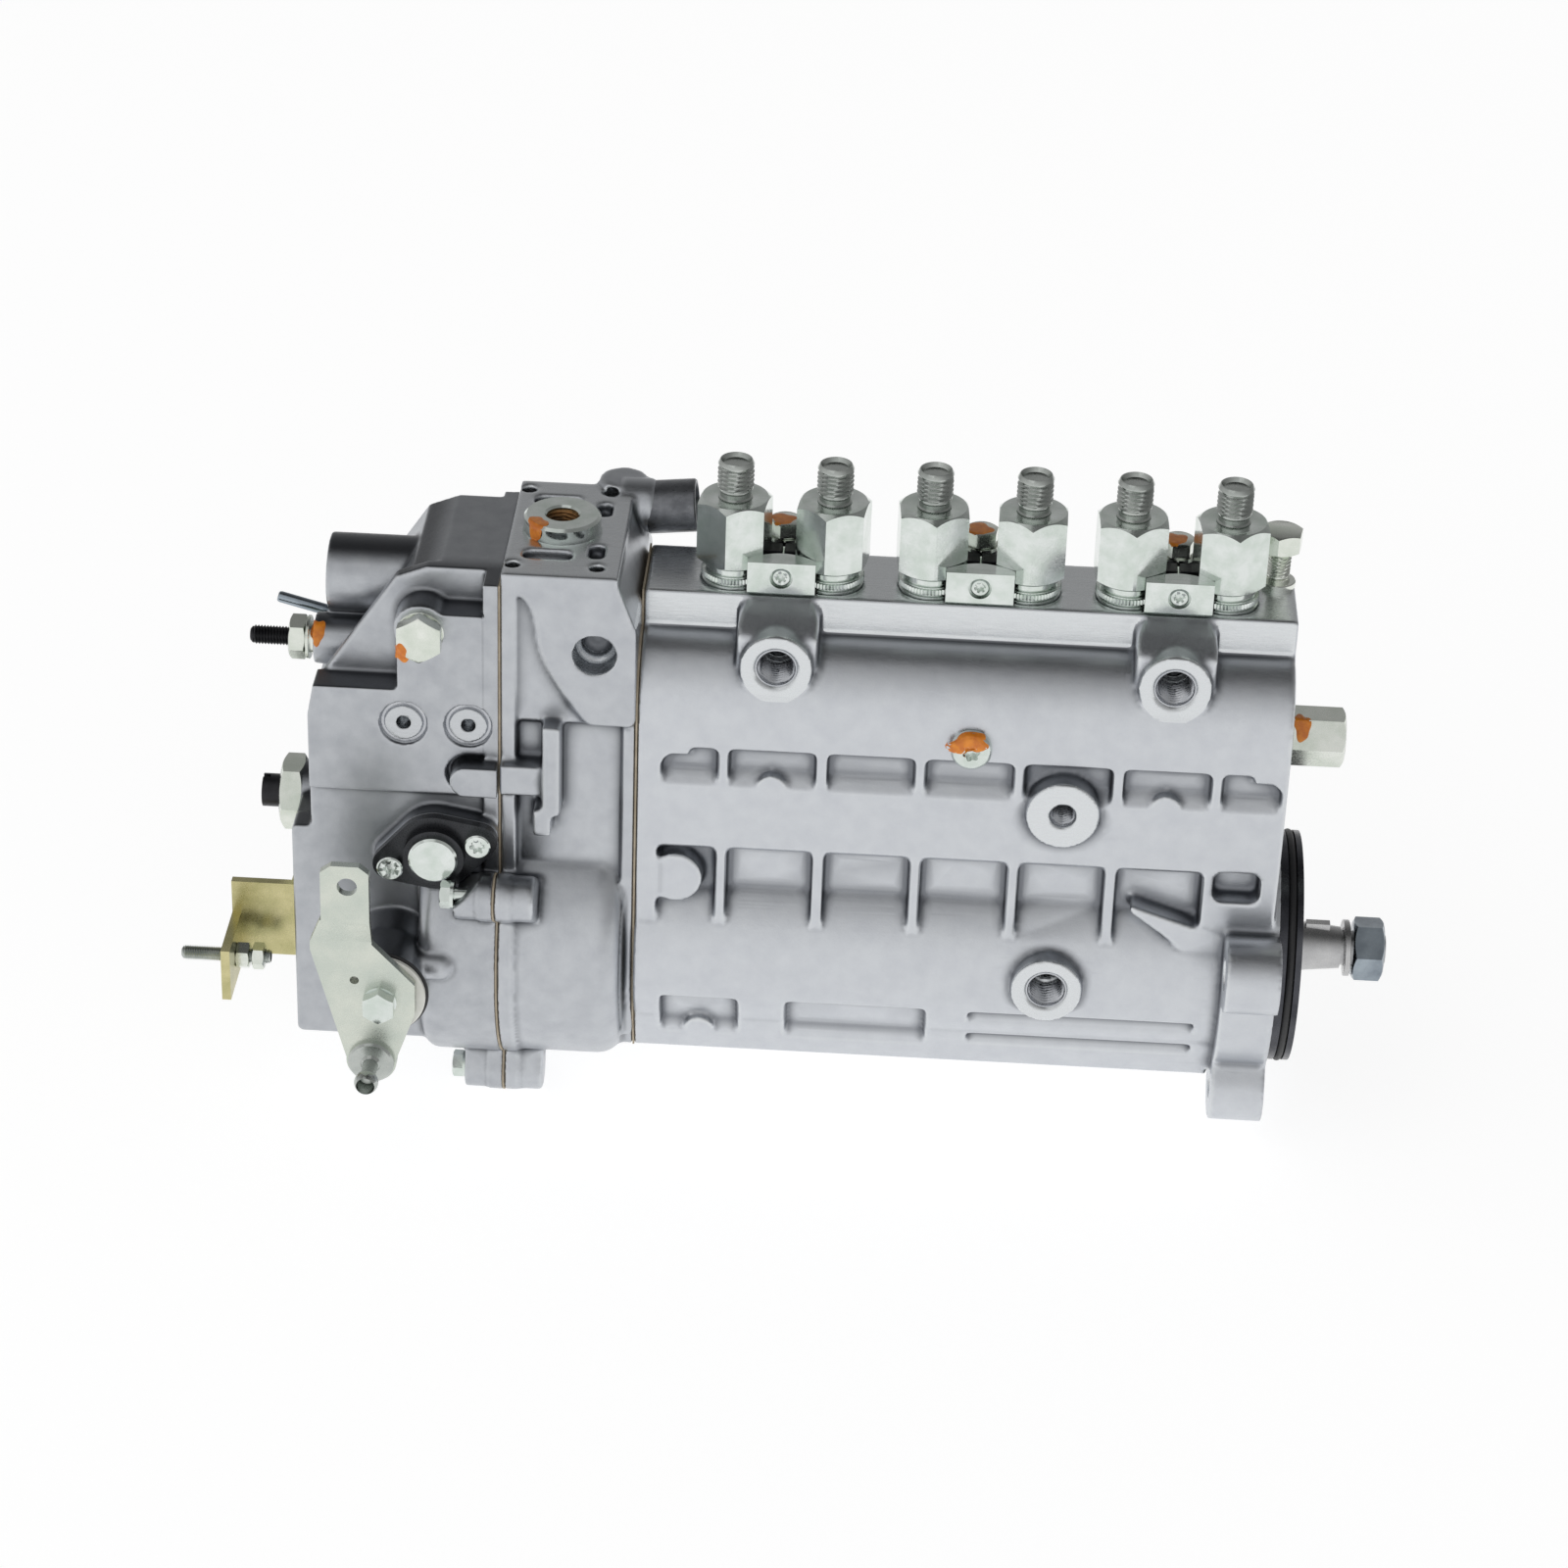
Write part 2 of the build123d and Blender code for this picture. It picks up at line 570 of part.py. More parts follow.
def housing_bores():
    """Everything bored or cored out of the casting."""
    cuts = [rod_x(CAM_CHAMBER_R, JOINT_X + BEARING_WIDTH + 1, -SPIGOT_LENGTH)]
    cuts.append(rod_x(BEARING_R, JOINT_X - 1, JOINT_X + BEARING_WIDTH + 2))
    cuts.append(rod_x(SPIGOT_R, -SPIGOT_LENGTH, 1))
    cuts.append(rod_x(PILOT_R + PLATE_RIM + RUN, -PLATE_SEAT, 1))
    cuts += [end_plate_screw(y, z) for y, z in end_plate_screw_places()]
    left = ELEMENT_X[-1] - LOWER_SEAT_R - 2
    right = ELEMENT_X[0] + LOWER_SEAT_R + 2
    low, high = SPRING_CHAMBER_Z
    cuts.append(block(left, right, -SPRING_CHAMBER_Y, BACK_Y + 1, low, high))
    low, high = GEAR_CHAMBER_Z
    cuts.append(block(left, right, -GEAR_CHAMBER_Y, BACK_Y + 1, low, high))
    low, high = GALLERY_Z
    cuts.append(block(left + 2, right - 2, -GALLERY_Y, GALLERY_Y, low, high))
    cuts.append(rod_x(RACK_R + RUN, JOINT_X - 1, 1, RACK_Y, RACK_Z))
    cuts.append(rod_x(CAP_SHANK_R, RACK_CAP_X - 6, 1, RACK_Y, RACK_Z))
    for x in ELEMENT_X:
        cuts.append(rod_z(TAPPET_R + RUN, CAM_BASE_R, SPRING_CHAMBER_Z[0] + 1, x))
        cuts.append(rod_z(SLEEVE_R + GAP, SPRING_CHAMBER_Z[1] - 1, GEAR_CHAMBER_Z[0] + 1, x))
        cuts.append(rod_z(BARREL_HEAD_R - 1.5, GEAR_CHAMBER_Z[1] - 1, SHOULDER_Z, x))
        cuts.append(rod_z(BARREL_HEAD_R, SHOULDER_Z, GALLERY_Z[0] + 1, x))
        cuts.append(rod_z(HOLDER_SHANK_R, GALLERY_Z[1] - 1, TOP_Z + 1, x))
    for x in PORT_X:
        cuts += port_bore(PORT_FACE_Y, PORT_DEPTH, PORT_PASSAGE_R, 0, x, PORT_Z)
    oil_end = -CAM_CHAMBER_R + 5
    cuts += port_bore(OIL_FACE_Y, OIL_DEPTH, OIL_PASSAGE_R, oil_end, OIL_PORT_X, OIL_PORT_Z)
    depth = BOSS_FACE_Y + BOSS_BORE_DEPTH
    cuts.append(rod_y(BOSS_BORE_R, BOSS_FACE_Y - 1, depth, BOSS_X, BOSS_Z))
    cuts.append(rod_y(GUIDE_SHANK_R, FRONT_Y - 1, RACK_Y, GUIDE_X, RACK_Z))
    for x in JAW_X:
        cuts.append(rod_z(PLUG_SHANK_R, TOP_Z - 9, TOP_Z + 1, x, PLUG_Y))
    cuts.append(rod_z(PLUG_SHANK_R, TOP_Z - 9, TOP_Z + 1, VALVE_X, PLUG_Y))
    for x, z in cover_screw_places():
        cuts.append(rod_y(SCREW_R, BACK_Y - 8, BACK_Y + 1, x, z))
    return cuts


def pump_housing():
    """The main casting."""
    body = prism_x(housing_outline(), JOINT_X, RACK_CAP_X)
    body -= row_pockets() + rib_bays()
    body += rod_x(BULGE_R, JOINT_X, -FLANGE_T)
    body -= sole_pockets()
    body += [flange()] + housing_bosses()
    body -= flange_holes() + housing_bores()
    return body


# ------------------------------------------------------------- covers and end closures
def cover_screw_places():
    """Screw centres of the inspection cover, in (X, Z)."""
    left = ELEMENT_X[-1] - 17
    right = ELEMENT_X[0] + 17
    low, high = COVER_Z[0] + 3, COVER_Z[1] - 3
    middle = (left + right) / 2
    return [(x, z) for x in (left, middle, right) for z in (low - 5.5, high + 5.5)]


def inspection_cover():
    """Pressed plate over the spring and gear chambers at the back."""
    places = cover_screw_places()
    left, right = places[0][0] - 6, places[-1][0] + 6
    low, high = places[0][1] - 6, places[-1][1] + 6
    plate = block(left, right, BACK_Y, BACK_Y + COVER_T, low, high)
    plate = fillet(plate.edges().filter_by(Axis.Y), 6)
    field = block(left + 12, right - 12, BACK_Y, BACK_Y + 2 * COVER_T, low + 12, high - 12)
    field = fillet(field.edges().filter_by(Axis.Y), 5)
    plate += fillet(field.faces().sort_by(Axis.Y)[-1].edges(), 2)
    return plate - [rod_y(SCREW_R, BACK_Y - 1, BACK_Y + COVER_T + 1, x, z) for x, z in places]


def end_plate_screw_places():
    """Screw centres of the bearing end plate, in (Y, Z)."""
    turns = [math.radians(45 + 90 * i) for i in range(4)]
    return [(END_SCREW_RING * math.cos(t), END_SCREW_RING * math.sin(t)) for t in turns]


def end_plate_screw(y, z, clearance=0.0):
    """Countersunk screw of the bearing end plate, or its hole."""
    shank = END_SCREW_R + clearance
    head = END_SCREW_HEAD_R + clearance
    depth = head - shank
    screw = rod_x(shank, -END_SCREW_DEPTH, PILOT_LENGTH, y, z)
    return screw + cone_x(shank, head, PILOT_LENGTH - depth, PILOT_LENGTH, y, z)


def bearing_end_plate():
    """Pilot plate that closes the drive end and holds the bearing and the lip seal."""
    plate = rod_x(PILOT_R, 0, PILOT_LENGTH) + rod_x(SPIGOT_R, -SPIGOT_LENGTH, -PLATE_SEAT)
    plate += rod_x(PILOT_R + PLATE_RIM, -PLATE_SEAT, 0)
    groove = rod_x(PILOT_R + 1, PILOT_LAND, PILOT_LAND + 2 * O_RING_R)
    groove -= rod_x(PILOT_R - 2 * O_RING_R - 2 * RUN, PILOT_LAND, PILOT_LAND + 2 * O_RING_R)
    plate -= groove
    plate -= rod_x(BEARING_R, -SPIGOT_LENGTH - 1, -SPIGOT_LENGTH + END_CLEARANCE + BEARING_WIDTH)
    plate -= rod_x(SEAL_R, -SPIGOT_LENGTH, PILOT_LENGTH + 1)
    return plate - [end_plate_screw(y, z) for y, z in end_plate_screw_places()]


def oil_seals():
    """Pilot O-ring and the lip seal on the camshaft."""
    middle = PILOT_LAND + O_RING_R
    ring = Location((middle, 0, 0), (0, 90, 0)) * Torus(PILOT_R - O_RING_R - RUN, O_RING_R)
    seal = rod_x(SEAL_R, 1, 7) - rod_x(SHAFT_R + RUN, 0, 8)
    seal -= rod_x(SEAL_R - 2, 4, 8) - rod_x(SHAFT_R + 1.5, 4, 8)
    return group(ring, seal)


def bearing_places():
    """Left end of each camshaft bearing."""
    return (JOINT_X + END_CLEARANCE, -SPIGOT_LENGTH + END_CLEARANCE)


def bearing_outer_races():
    """Outer rings of the two roller bearings."""
    rings = []
    for x in bearing_places():
        end = x + BEARING_WIDTH
        ring = rod_x(BEARING_R, x, end) - rod_x(OUTER_TRACK_R, x - 1, end + 1)
        rings.append(ring)
    return group(*rings)


def bearing_inner_races():
    """Inner rings with their rollers."""
    roller_ring = (OUTER_TRACK_R + INNER_TRACK_R) / 2
    roller_r = (OUTER_TRACK_R - INNER_TRACK_R) / 2 - RUN
    pieces = []
    for x in bearing_places():
        end = x + BEARING_WIDTH
        pieces.append(rod_x(INNER_TRACK_R, x, end) - rod_x(SHAFT_R, x - 1, end + 1))
        for i in range(ROLLERS):
            turn = math.tau * i / ROLLERS
            y = roller_ring * math.cos(turn)
            z = roller_ring * math.sin(turn)
            pieces.append(rod_x(roller_r, x + ROLLER_INSET, end - ROLLER_INSET, y, z))
    return group(*pieces)


# ------------------------------------------------------------------- rotating assembly
def cam_angle(element):
    """Angle of a cam's nose past the top at rest, in degrees, for element 1 to 6."""
    return (REST_TURN + 60 * FIRING_ORDER.index(element)) % 360


def cam(element):
    """Tangential cam: base circle and nose joined by straight flanks."""
    base = Circle(CAM_BASE_R)
    nose = Pos(0, CAM_BASE_R + CAM_LIFT - CAM_NOSE_R) * Circle(CAM_NOSE_R)
    profile = make_hull(base.edges() + nose.edges())
    x = ELEMENT_X[element - 1]
    lobe = prism_x(profile, x - CAM_WIDTH / 2, x + CAM_WIDTH / 2)
    return Location((0, 0, 0), (cam_angle(element), 0, 0)) * lobe


def camshaft():
    """Forged camshaft with six cams, taper, thread and the drive key."""
    left_bearing = bearing_places()[0]
    shaft = rod_x(SHAFT_R, CARRIER_X[1], TAPER_START)
    shaft += rod_x(CORE_R, left_bearing + BEARING_WIDTH, bearing_places()[1] - 0.5)
    shaft += [cam(i + 1) for i in range(ELEMENTS)]
    shaft += cone_x(SHAFT_R, TAPER_END_R, TAPER_START, TAPER_END)
    shaft += rod_x(THREAD_R, TAPER_END, SHAFT_END - 1) + rod_x(5.0, TAPER_END, SHAFT_END)
    shaft += rod_x(SHAFT_STUB_R, SLEEVE_FLANGE_X - 18, CARRIER_X[1])
    key = block(12, 20, -1.5, 1.5, 5.5, 9.6)
    return group(shaft - key, key)


def lock_washer():
    """Split spring washer under the shaft nut."""
    ring = rod_x(10.0, *WASHER_X) - rod_x(7.3, WASHER_X[0] - 1, WASHER_X[1] + 1)
    return ring - block(20, 30, -0.8, 0.8, 5, 12)


def shaft_nut():
    """Hexagon nut, 19 mm across flats."""
    nut = hex_x(19.0, *NUT_X, turn=0)
    trim = cone_x(9.9, 9.9 + 10.2, NUT_X[0], NUT_X[1]) & cone_x(20.1, 9.9, NUT_X[0], NUT_X[1])
    return (nut & trim) - rod_x(THREAD_R, NUT_X[0] - 1, NUT_X[1] + 1)


# -------------------------------------------------------------------- pumping elements
def tappet(element):
    """Roller tappet: guided body, roller, pin, adjusting screw and lower spring seat."""
    x = ELEMENT_X[element - 1]
    body = rod_z(TAPPET_R, ROLLER_Z - TAPPET_SKIRT, TAPPET_TOP_Z, x)
    slot = block(
        x - ROLLER_WIDTH / 2 - 0.4,
        x + ROLLER_WIDTH / 2 + 0.4,
        -TAPPET_R - 1,
        TAPPET_R + 1,
        0,
        ROLLER_Z + ROLLER_R + 0.6,
    )
    body -= slot
    body -= rod_x(ROLLER_PIN_R, x - 11, x + 11, 0, ROLLER_Z)
    roller = rod_x(ROLLER_R, x - ROLLER_WIDTH / 2, x + ROLLER_WIDTH / 2, 0, ROLLER_Z)
    roller -= rod_x(ROLLER_PIN_R, x - 11, x + 11, 0, ROLLER_Z)
    pin = rod_x(ROLLER_PIN_R, x - 10.5, x + 10.5, 0, ROLLER_Z)
    screw = hex_z(2 * ADJUSTER_R, TAPPET_TOP_Z, TAPPET_TOP_Z + ADJUSTER_HEIGHT, x)
    seat_top = LOWER_SEAT_Z + LOWER_SEAT_HEIGHT
    seat = rod_z(LOWER_SEAT_R, LOWER_SEAT_Z + 1.2, seat_top, x)
    seat += rod_z(SPRING_R - SPRING_WIRE_R - 0.2, seat_top, seat_top + 0.8, x)
    recess_top = FOOT_Z + FOOT_HEIGHT + SEAT
    seat += rod_z(FOOT_R + 1.5, LOWER_SEAT_Z - 0.1, seat_top, x)
    seat -= rod_z(FOOT_R + GAP, LOWER_SEAT_Z - 1, recess_top, x)
    seat -= rod_z(PLUNGER_R + GAP, recess_top - 1, seat_top + 2, x)
    return group(body, roller, pin, screw, seat)


def plunger(element):
    """Plunger with foot, control vane, annular groove and the slanted spill edge."""
    x = ELEMENT_X[element - 1]
    body = rod_z(PLUNGER_R, FOOT_Z + FOOT_HEIGHT, PLUNGER_TOP, x)
    body += rod_z(FOOT_R, FOOT_Z, FOOT_Z + FOOT_HEIGHT, x)
    vane = Box(2 * VANE_REACH, VANE_WIDTH, 4.0, align=(MID, MID, LOW))
    body += Location((x, 0, VANE_Z)) * vane
    groove = rod_z(PLUNGER_R + 1, PLUNGER_TOP - 16, PLUNGER_TOP - 12, x)
    body -= groove - rod_z(PLUNGER_R - 1.2, PLUNGER_TOP - 17, PLUNGER_TOP - 11, x)
    spill = Location((x, -PLUNGER_R, PLUNGER_TOP - 9), (0, 35, 0)) * Box(12, 2.4, 5)
    return body - [spill, block(x - 0.8, x + 0.8, -5, -2.6, PLUNGER_TOP - 14, PLUNGER_TOP + 1)]


def gear_tooth():
    """One tooth of the control sleeve's toothed sector, pointing along +Y."""
    tip = GEAR_PITCH_R + ADDENDUM * MODULE
    root = GEAR_PITCH_R - DEDENDUM * MODULE - 0.1
    half = math.pi * MODULE / 4 - BACKLASH
    tip_half = half - (tip - GEAR_PITCH_R) * FLANK
    root_half = half + (GEAR_PITCH_R - root) * FLANK / 2
    return outline((-root_half, root), (-tip_half, tip), (tip_half, tip), (root_half, root))


def mesh_offset(x):
    """Distance along X from a sleeve's axis to the nearest gap between rack teeth."""
    return (RACK_PHASE_X - x + TOOTH_PITCH / 2) % TOOTH_PITCH - TOOTH_PITCH / 2


def control_sleeve(element):
    """Control sleeve with the slots for the plunger vane and its clamped toothed sector."""
    x = ELEMENT_X[element - 1]
    sleeve = rod_z(SLEEVE_R, SLEEVE_BOTTOM_Z, SLEEVE_TOP_Z)
    sleeve -= rod_z(BARREL_SKIRT_R + RUN, SLEEVE_BOTTOM_Z - 1, SLEEVE_TOP_Z + 1)
    slot_half = VANE_WIDTH / 2 + RUN
    slot_top = VANE_Z + VANE_HEIGHT + 1
    sleeve -= block(-SLEEVE_R, SLEEVE_R, -slot_half, slot_half, SLEEVE_BOTTOM_Z - 1, slot_top)
    step = 360 / GEAR_TEETH
    phase = math.degrees(mesh_offset(x) / GEAR_PITCH_R)
    teeth = [Rot(0, 0, 180 + phase + step * i) * gear_tooth() for i in range(-1, SECTOR_TEETH - 1)]
    ring = Circle(GEAR_PITCH_R - DEDENDUM * MODULE)
    sector = extrude(ring + teeth, SECTOR_HEIGHT)
    sector -= Cylinder(SLEEVE_R, 3 * SECTOR_HEIGHT)
    sector -= Rot(0, 0, 60) * block(-0.5, 0.5, 0, GEAR_PITCH_R + 2, -1, SECTOR_HEIGHT + 1)
    return Location((x, 0, 0)) * group(sleeve, Location((0, 0, SECTOR_Z)) * sector)


def rack_outline():
    """Side of the rack seen from above, with its row of teeth on the sleeve side."""
    tip = -GEAR_PITCH_R + ADDENDUM * MODULE
    root = -GEAR_PITCH_R - DEDENDUM * MODULE
    outer = RACK_Y - 2 * RACK_R
    inner = RACK_Y + 2 * RACK_R
    gap_tip = math.pi * MODULE / 4 + BACKLASH + ADDENDUM * MODULE * FLANK
    gap_root = math.pi * MODULE / 4 + BACKLASH - DEDENDUM * MODULE * FLANK
    left = RACK_PHASE_X - TOOTH_PITCH * RACK_TEETH
    right = RACK_PHASE_X + TOOTH_PITCH / 2
    points = [(RACK_LEFT, outer), (RACK_LEFT, inner), (left - TOOTH_PITCH / 2, inner)]
    points.append((left - TOOTH_PITCH / 2, tip))
    for i in range(RACK_TEETH + 1):
        x = left + TOOTH_PITCH * i
        points += [(x - gap_tip, tip), (x - gap_root, root), (x + gap_root, root)]
        points.append((x + gap_tip, tip))
    points += [(right, tip), (right, inner), (RACK_RIGHT, inner), (RACK_RIGHT, outer)]
    return outline(*points)


def control_rack():
    """Round control rack, toothed towards the control sleeves, with its drive pin."""
    height = 4 * RACK_R
    toothed = extrude(Plane.XY.offset(RACK_Z - height / 2) * rack_outline(), height)
    rack = toothed & rod_x(RACK_R, RACK_LEFT, RACK_RIGHT, RACK_Y, RACK_Z)
    rack += rod_x(RACK_NECK_R, RACK_PIN_X - 3, RACK_LEFT + 1, RACK_Y, RACK_Z)
    rack += rod_y(LINK_PIN_R, RACK_Y, FLOAT_Y[1] + 1, RACK_PIN_X, RACK_Z)
    return rack


def plunger_barrels():
    """Barrels with their fuel ports and seating shoulders."""
    barrels = []
    for x in ELEMENT_X:
        barrel = rod_z(BARREL_SKIRT_R, BARREL_SKIRT_Z, GEAR_CHAMBER_Z[1], x)
        barrel += rod_z(BARREL_NECK_R, GEAR_CHAMBER_Z[1], SHOULDER_Z, x)
        barrel += rod_z(BARREL_HEAD_R, SHOULDER_Z, BARREL_TOP_Z, x)
        barrel -= rod_z(PLUNGER_R + RUN / 2, BARREL_SKIRT_Z - 1, BARREL_TOP_Z + 1, x)
        port_z = PLUNGER_TOP - 5
        barrel -= rod_y(1.5, -BARREL_HEAD_R - 1, BARREL_HEAD_R + 1, x, port_z)
        barrels.append(barrel)
    return group(*barrels)


def upper_spring_seats():
    """Upper plates of the plunger springs, held against the web of the casting."""
    seats = []
    top = SPRING_CHAMBER_Z[1]
    for x in ELEMENT_X:
        seat = rod_z(LOWER_SEAT_R, top - UPPER_SEAT_HEIGHT, top, x)
        seats.append(seat - rod_z(SLEEVE_R + GAP, top - 5, top + 1, x))
    return group(*seats)


def plunger_springs():
    """Plunger springs, shown compressed between their seats."""
    bottom = LOWER_SEAT_Z + LOWER_SEAT_HEIGHT + SPRING_WIRE_R + SEAT
    top = SPRING_CHAMBER_Z[1] - UPPER_SEAT_HEIGHT - SPRING_WIRE_R - SEAT
    length = top - bottom
    path = Helix(length / SPRING_TURNS, length, SPRING_R)
    wire = Plane(origin=path @ 0, z_dir=path % 0) * RegularPolygon(SPRING_WIRE_R, 6)
    spring = sweep(wire, path)
    return group(*[Location((x, 0, bottom)) * spring for x in ELEMENT_X])


# ----------------------------------------------------------------------- delivery side
def delivery_valves():
    """Delivery valve seats on the barrels, each with its valve and its spring."""
    pieces = []
    for x in ELEMENT_X:
        base = BARREL_TOP_Z
        seat = rod_z(BARREL_HEAD_R, base, base + VALVE_FLANGE, x)
        seat += rod_z(VALVE_BODY_R, base + VALVE_FLANGE, base + 12, x)
        seat -= rod_z(VALVE_STEM_R, base - 1, base + 13, x)
        seat -= cone_z(VALVE_STEM_R, VALVE_STEM_R + 1.5, base + 10.5, base + 12, x)
        pieces.append(seat)
        valve = rod_z(VALVE_STEM_R - RUN, base + 3, base + 10, x)
        valve += cone_z(VALVE_STEM_R - RUN, VALVE_STEM_R + 1.4, base + 10.5, base + 12, x)
        valve += rod_z(VALVE_STEM_R - RUN, base + 9, base + 11, x)
        valve += rod_z(VALVE_STEM_R - 0.8, base + 12, base + 16, x)
        pieces.append(valve)
    return group(*pieces)


def delivery_valve_holder(x, turn):
    """Holder: threaded shank, two splined collars, hexagon and union stud."""
    holder = rod_z(HOLDER_SHANK_R, HOLDER_FOOT_Z, TOP_Z, x)
    holder += rod_z(COLLAR_R, TOP_Z, TOP_Z + 3, x)
    holder += rod_z(COLLAR_R - 0.9, TOP_Z + 3, TOP_Z + 4, x)
    holder += rod_z(COLLAR_R, TOP_Z + 4, COLLAR_TOP_Z, x)
    holder += hex_z(HOLDER_FLATS, COLLAR_TOP_Z, HEX_TOP_Z, x, 0, turn)
    holder += rod_z(STUD_R - 0.8, HEX_TOP_Z, HEX_TOP_Z + 2.2, x)
    holder += rod_z(STUD_R, HEX_TOP_Z + 2.2, STUD_TOP_Z - 1, x)
    holder += cone_z(STUD_R, STUD_R - 1, STUD_TOP_Z - 1, STUD_TOP_Z, x)
    holder -= rod_z(VALVE_BODY_R + 0.1, HOLDER_FOOT_Z - 1, COLLAR_TOP_Z + 4, x)
    holder -= rod_z(OUTLET_R, COLLAR_TOP_Z, STUD_TOP_Z, x)
    holder -= cone_z(OUTLET_R, CONE_R, STUD_TOP_Z - 4.2, STUD_TOP_Z, x)
    return holder


def delivery_valve_holders():
    """The row of six holders, each tightened to its own angle."""
    turns = (12, 25, 3, 17, 8, 21)
    places = zip(ELEMENT_X, turns[:ELEMENTS])
    return group(*[delivery_valve_holder(x, turn) for x, turn in places])


def clamp_jaws():
    """Pairs of jaws, front and rear, drawn together to lock the splined collars."""
    jaws = []
    corner = HOLDER_FLATS / math.sqrt(3)
    for x in JAW_X:
        left, right = x - JAW_WIDTH / 2, x + JAW_WIDTH / 2
        grips = []
        for holder_x in (x - PITCH / 2, x + PITCH / 2):
            grips.append(rod_z(COLLAR_R + JAW_FIT, TOP_Z - 1, JAW_TOP_Z + 1, holder_x))
            grips.append(rod_z(corner + JAW_FIT, COLLAR_TOP_Z, JAW_TOP_Z + 1, holder_x))
        front = block(left, right, STRIP_Y, -JAW_SPLIT, TOP_Z, JAW_TOP_Z)
        front = front & rod_y(JAW_ARCH_R, STRIP_Y - 1, 0, x, JAW_TOP_Z - JAW_ARCH_R + 2.1)
        front -= rod_y(JAW_SCREW_R + RUN, STRIP_Y - 1, 0, x, JAW_SCREW_Z)
        seat = STRIP_Y + JAW_SEAT
        front -= rod_y(JAW_SCREW_HEAD_R + GAP, STRIP_Y - 1, seat, x, JAW_SCREW_Z)
        rear = block(left + 3, right - 3, JAW_SPLIT, JAW_REAR_Y, TOP_Z, JAW_REAR_TOP_Z)
        rear -= rod_y(JAW_SCREW_R, 0, JAW_REAR_Y + 1, x, JAW_SCREW_Z)
        jaws += [front - grips, rear - grips]
    return group(*jaws)


def screw_plugs():
    """Hex plugs with washers along the back of the head, and the overflow valve."""
    pieces = []
    for x in JAW_X:
        under = TOP_Z + PLUG_WASHER_T
        plug = rod_z(PLUG_SHANK_R, TOP_Z - 8, under, x, PLUG_Y)
        plug += hex_z(PLUG_FLATS, under, under + 7, x, PLUG_Y, 10)
        washer = rod_z(PLUG_WASHER_R, TOP_Z, under, x, PLUG_Y)
        pieces += [plug, washer - rod_z(PLUG_SHANK_R, TOP_Z - 1, TOP_Z + 2, x, PLUG_Y)]
    valve = rod_z(PLUG_SHANK_R, TOP_Z - 8, TOP_Z + 16, VALVE_X, PLUG_Y)
    valve += rod_z(6.0, TOP_Z, TOP_Z + 2, VALVE_X, PLUG_Y)
    valve += hex_z(13.0, TOP_Z + 13, TOP_Z + 20, VALVE_X, PLUG_Y, 20)
    pieces.append(valve)
    x, z = COVER_PLUG_X, COVER_PLUG_Z
    plug = rod_y(COVER_PLUG_SHANK_R, GOV_FRONT_Y - 1.5, GOV_FRONT_Y + 12, x, z)
    plug += hex_y(14.0, GOV_FRONT_Y - 7.5, GOV_FRONT_Y - 1.5, x, z, 0)
    pieces.append(plug)
    return group(*pieces)


def rack_cap():
    """Closed hexagon cap that covers the end of the rack."""
    cap = rod_x(CAP_SHANK_R, RACK_CAP_X - 6, RACK_CAP_X, RACK_Y, RACK_Z)
    cap += hex_x(19.0, RACK_CAP_X, RACK_CAP_X + 18, RACK_Y, RACK_Z, 0)
    return cap - rod_x(RACK_R + GAP, RACK_CAP_X - 7, RACK_CAP_X + 17, RACK_Y, RACK_Z)


def rack_guide_screw():
    """Round-headed screw whose tip keeps the rack from turning."""
    screw = rod_y(GUIDE_SHANK_R, FRONT_Y, RACK_Y - RACK_R - GAP, GUIDE_X, RACK_Z)
    head = rod_y(6.7, FRONT_Y - 4.0, FRONT_Y, GUIDE_X, RACK_Z)
    head = chamfer(head.faces().sort_by(Axis.Y)[0].edges(), 1.6)
    recess = rod_y(2.8, FRONT_Y - 5, FRONT_Y - 1.8, GUIDE_X, RACK_Z)
    return screw + head - recess


# ------------------------------------------------------------------- governor castings
def governor_gaskets():
    """Paper gaskets at the two governor joints."""
    first = prism_x(housing_outline(), GOV_RIGHT, JOINT_X)
    first -= rod_x(BEARING_R, GOV_RIGHT - 1, JOINT_X + 1)
    first -= rod_x(RACK_R + GAP, GOV_RIGHT - 1, JOINT_X + 1, RACK_Y, RACK_Z)
    second = governor_flange(COVER_RIGHT, GOV_LEFT)
    second -= governor_cavity(COVER_RIGHT - 1, GOV_LEFT + 1)
    second -= [rod_x(BOLT_R, COVER_RIGHT - 1, GOV_LEFT + 1, y, z) for y, z in JOINT_BOLTS]
    return group(first, second)


def bolt_lug(x0, x1, radius, y, z):
    """Round lug for a joint bolt and the web that joins it to the bowl."""
    turn = math.degrees(math.atan2(z, y))
    web = Box(x1 - x0, math.hypot(y, z), 2 * radius, align=(LOW, LOW, MID))
    return [rod_x(radius, x0, x1, y, z), Location((x0, 0, 0), (turn, 0, 0)) * web]


def governor_flange(x0, x1):
    """Joint flange shared by the governor housing and its cover."""
    wall = block(x0, x1, GOV_FRONT_Y, GOV_BACK_Y, -20, COVER_TOP_Z)
    bowl = rod_x(BOWL_R, x0, x1)
    lugs = []
    for y, z in BOWL_BOLTS:
        lugs += bolt_lug(x0, x1, LUG_R, y, z)
    y, z = TOP_BOLT
    lugs += [rod_x(LUG_R, x0, x1, y, z), block(x0, x1, 0, y, z - LUG_R, z + LUG_R)]
    return wall + [bowl] + lugs


def governor_cavity(x0, x1):
    """Space for the flyweights, the rack and the levers, between x0 and x1."""
    bowl = rod_x(BOWL_CAVITY_R, x0, x1)
    well = block(x0, x1, -CAVITY_Y, CAVITY_Y, 0, CAVITY_TOP_Z)
    return bowl + well


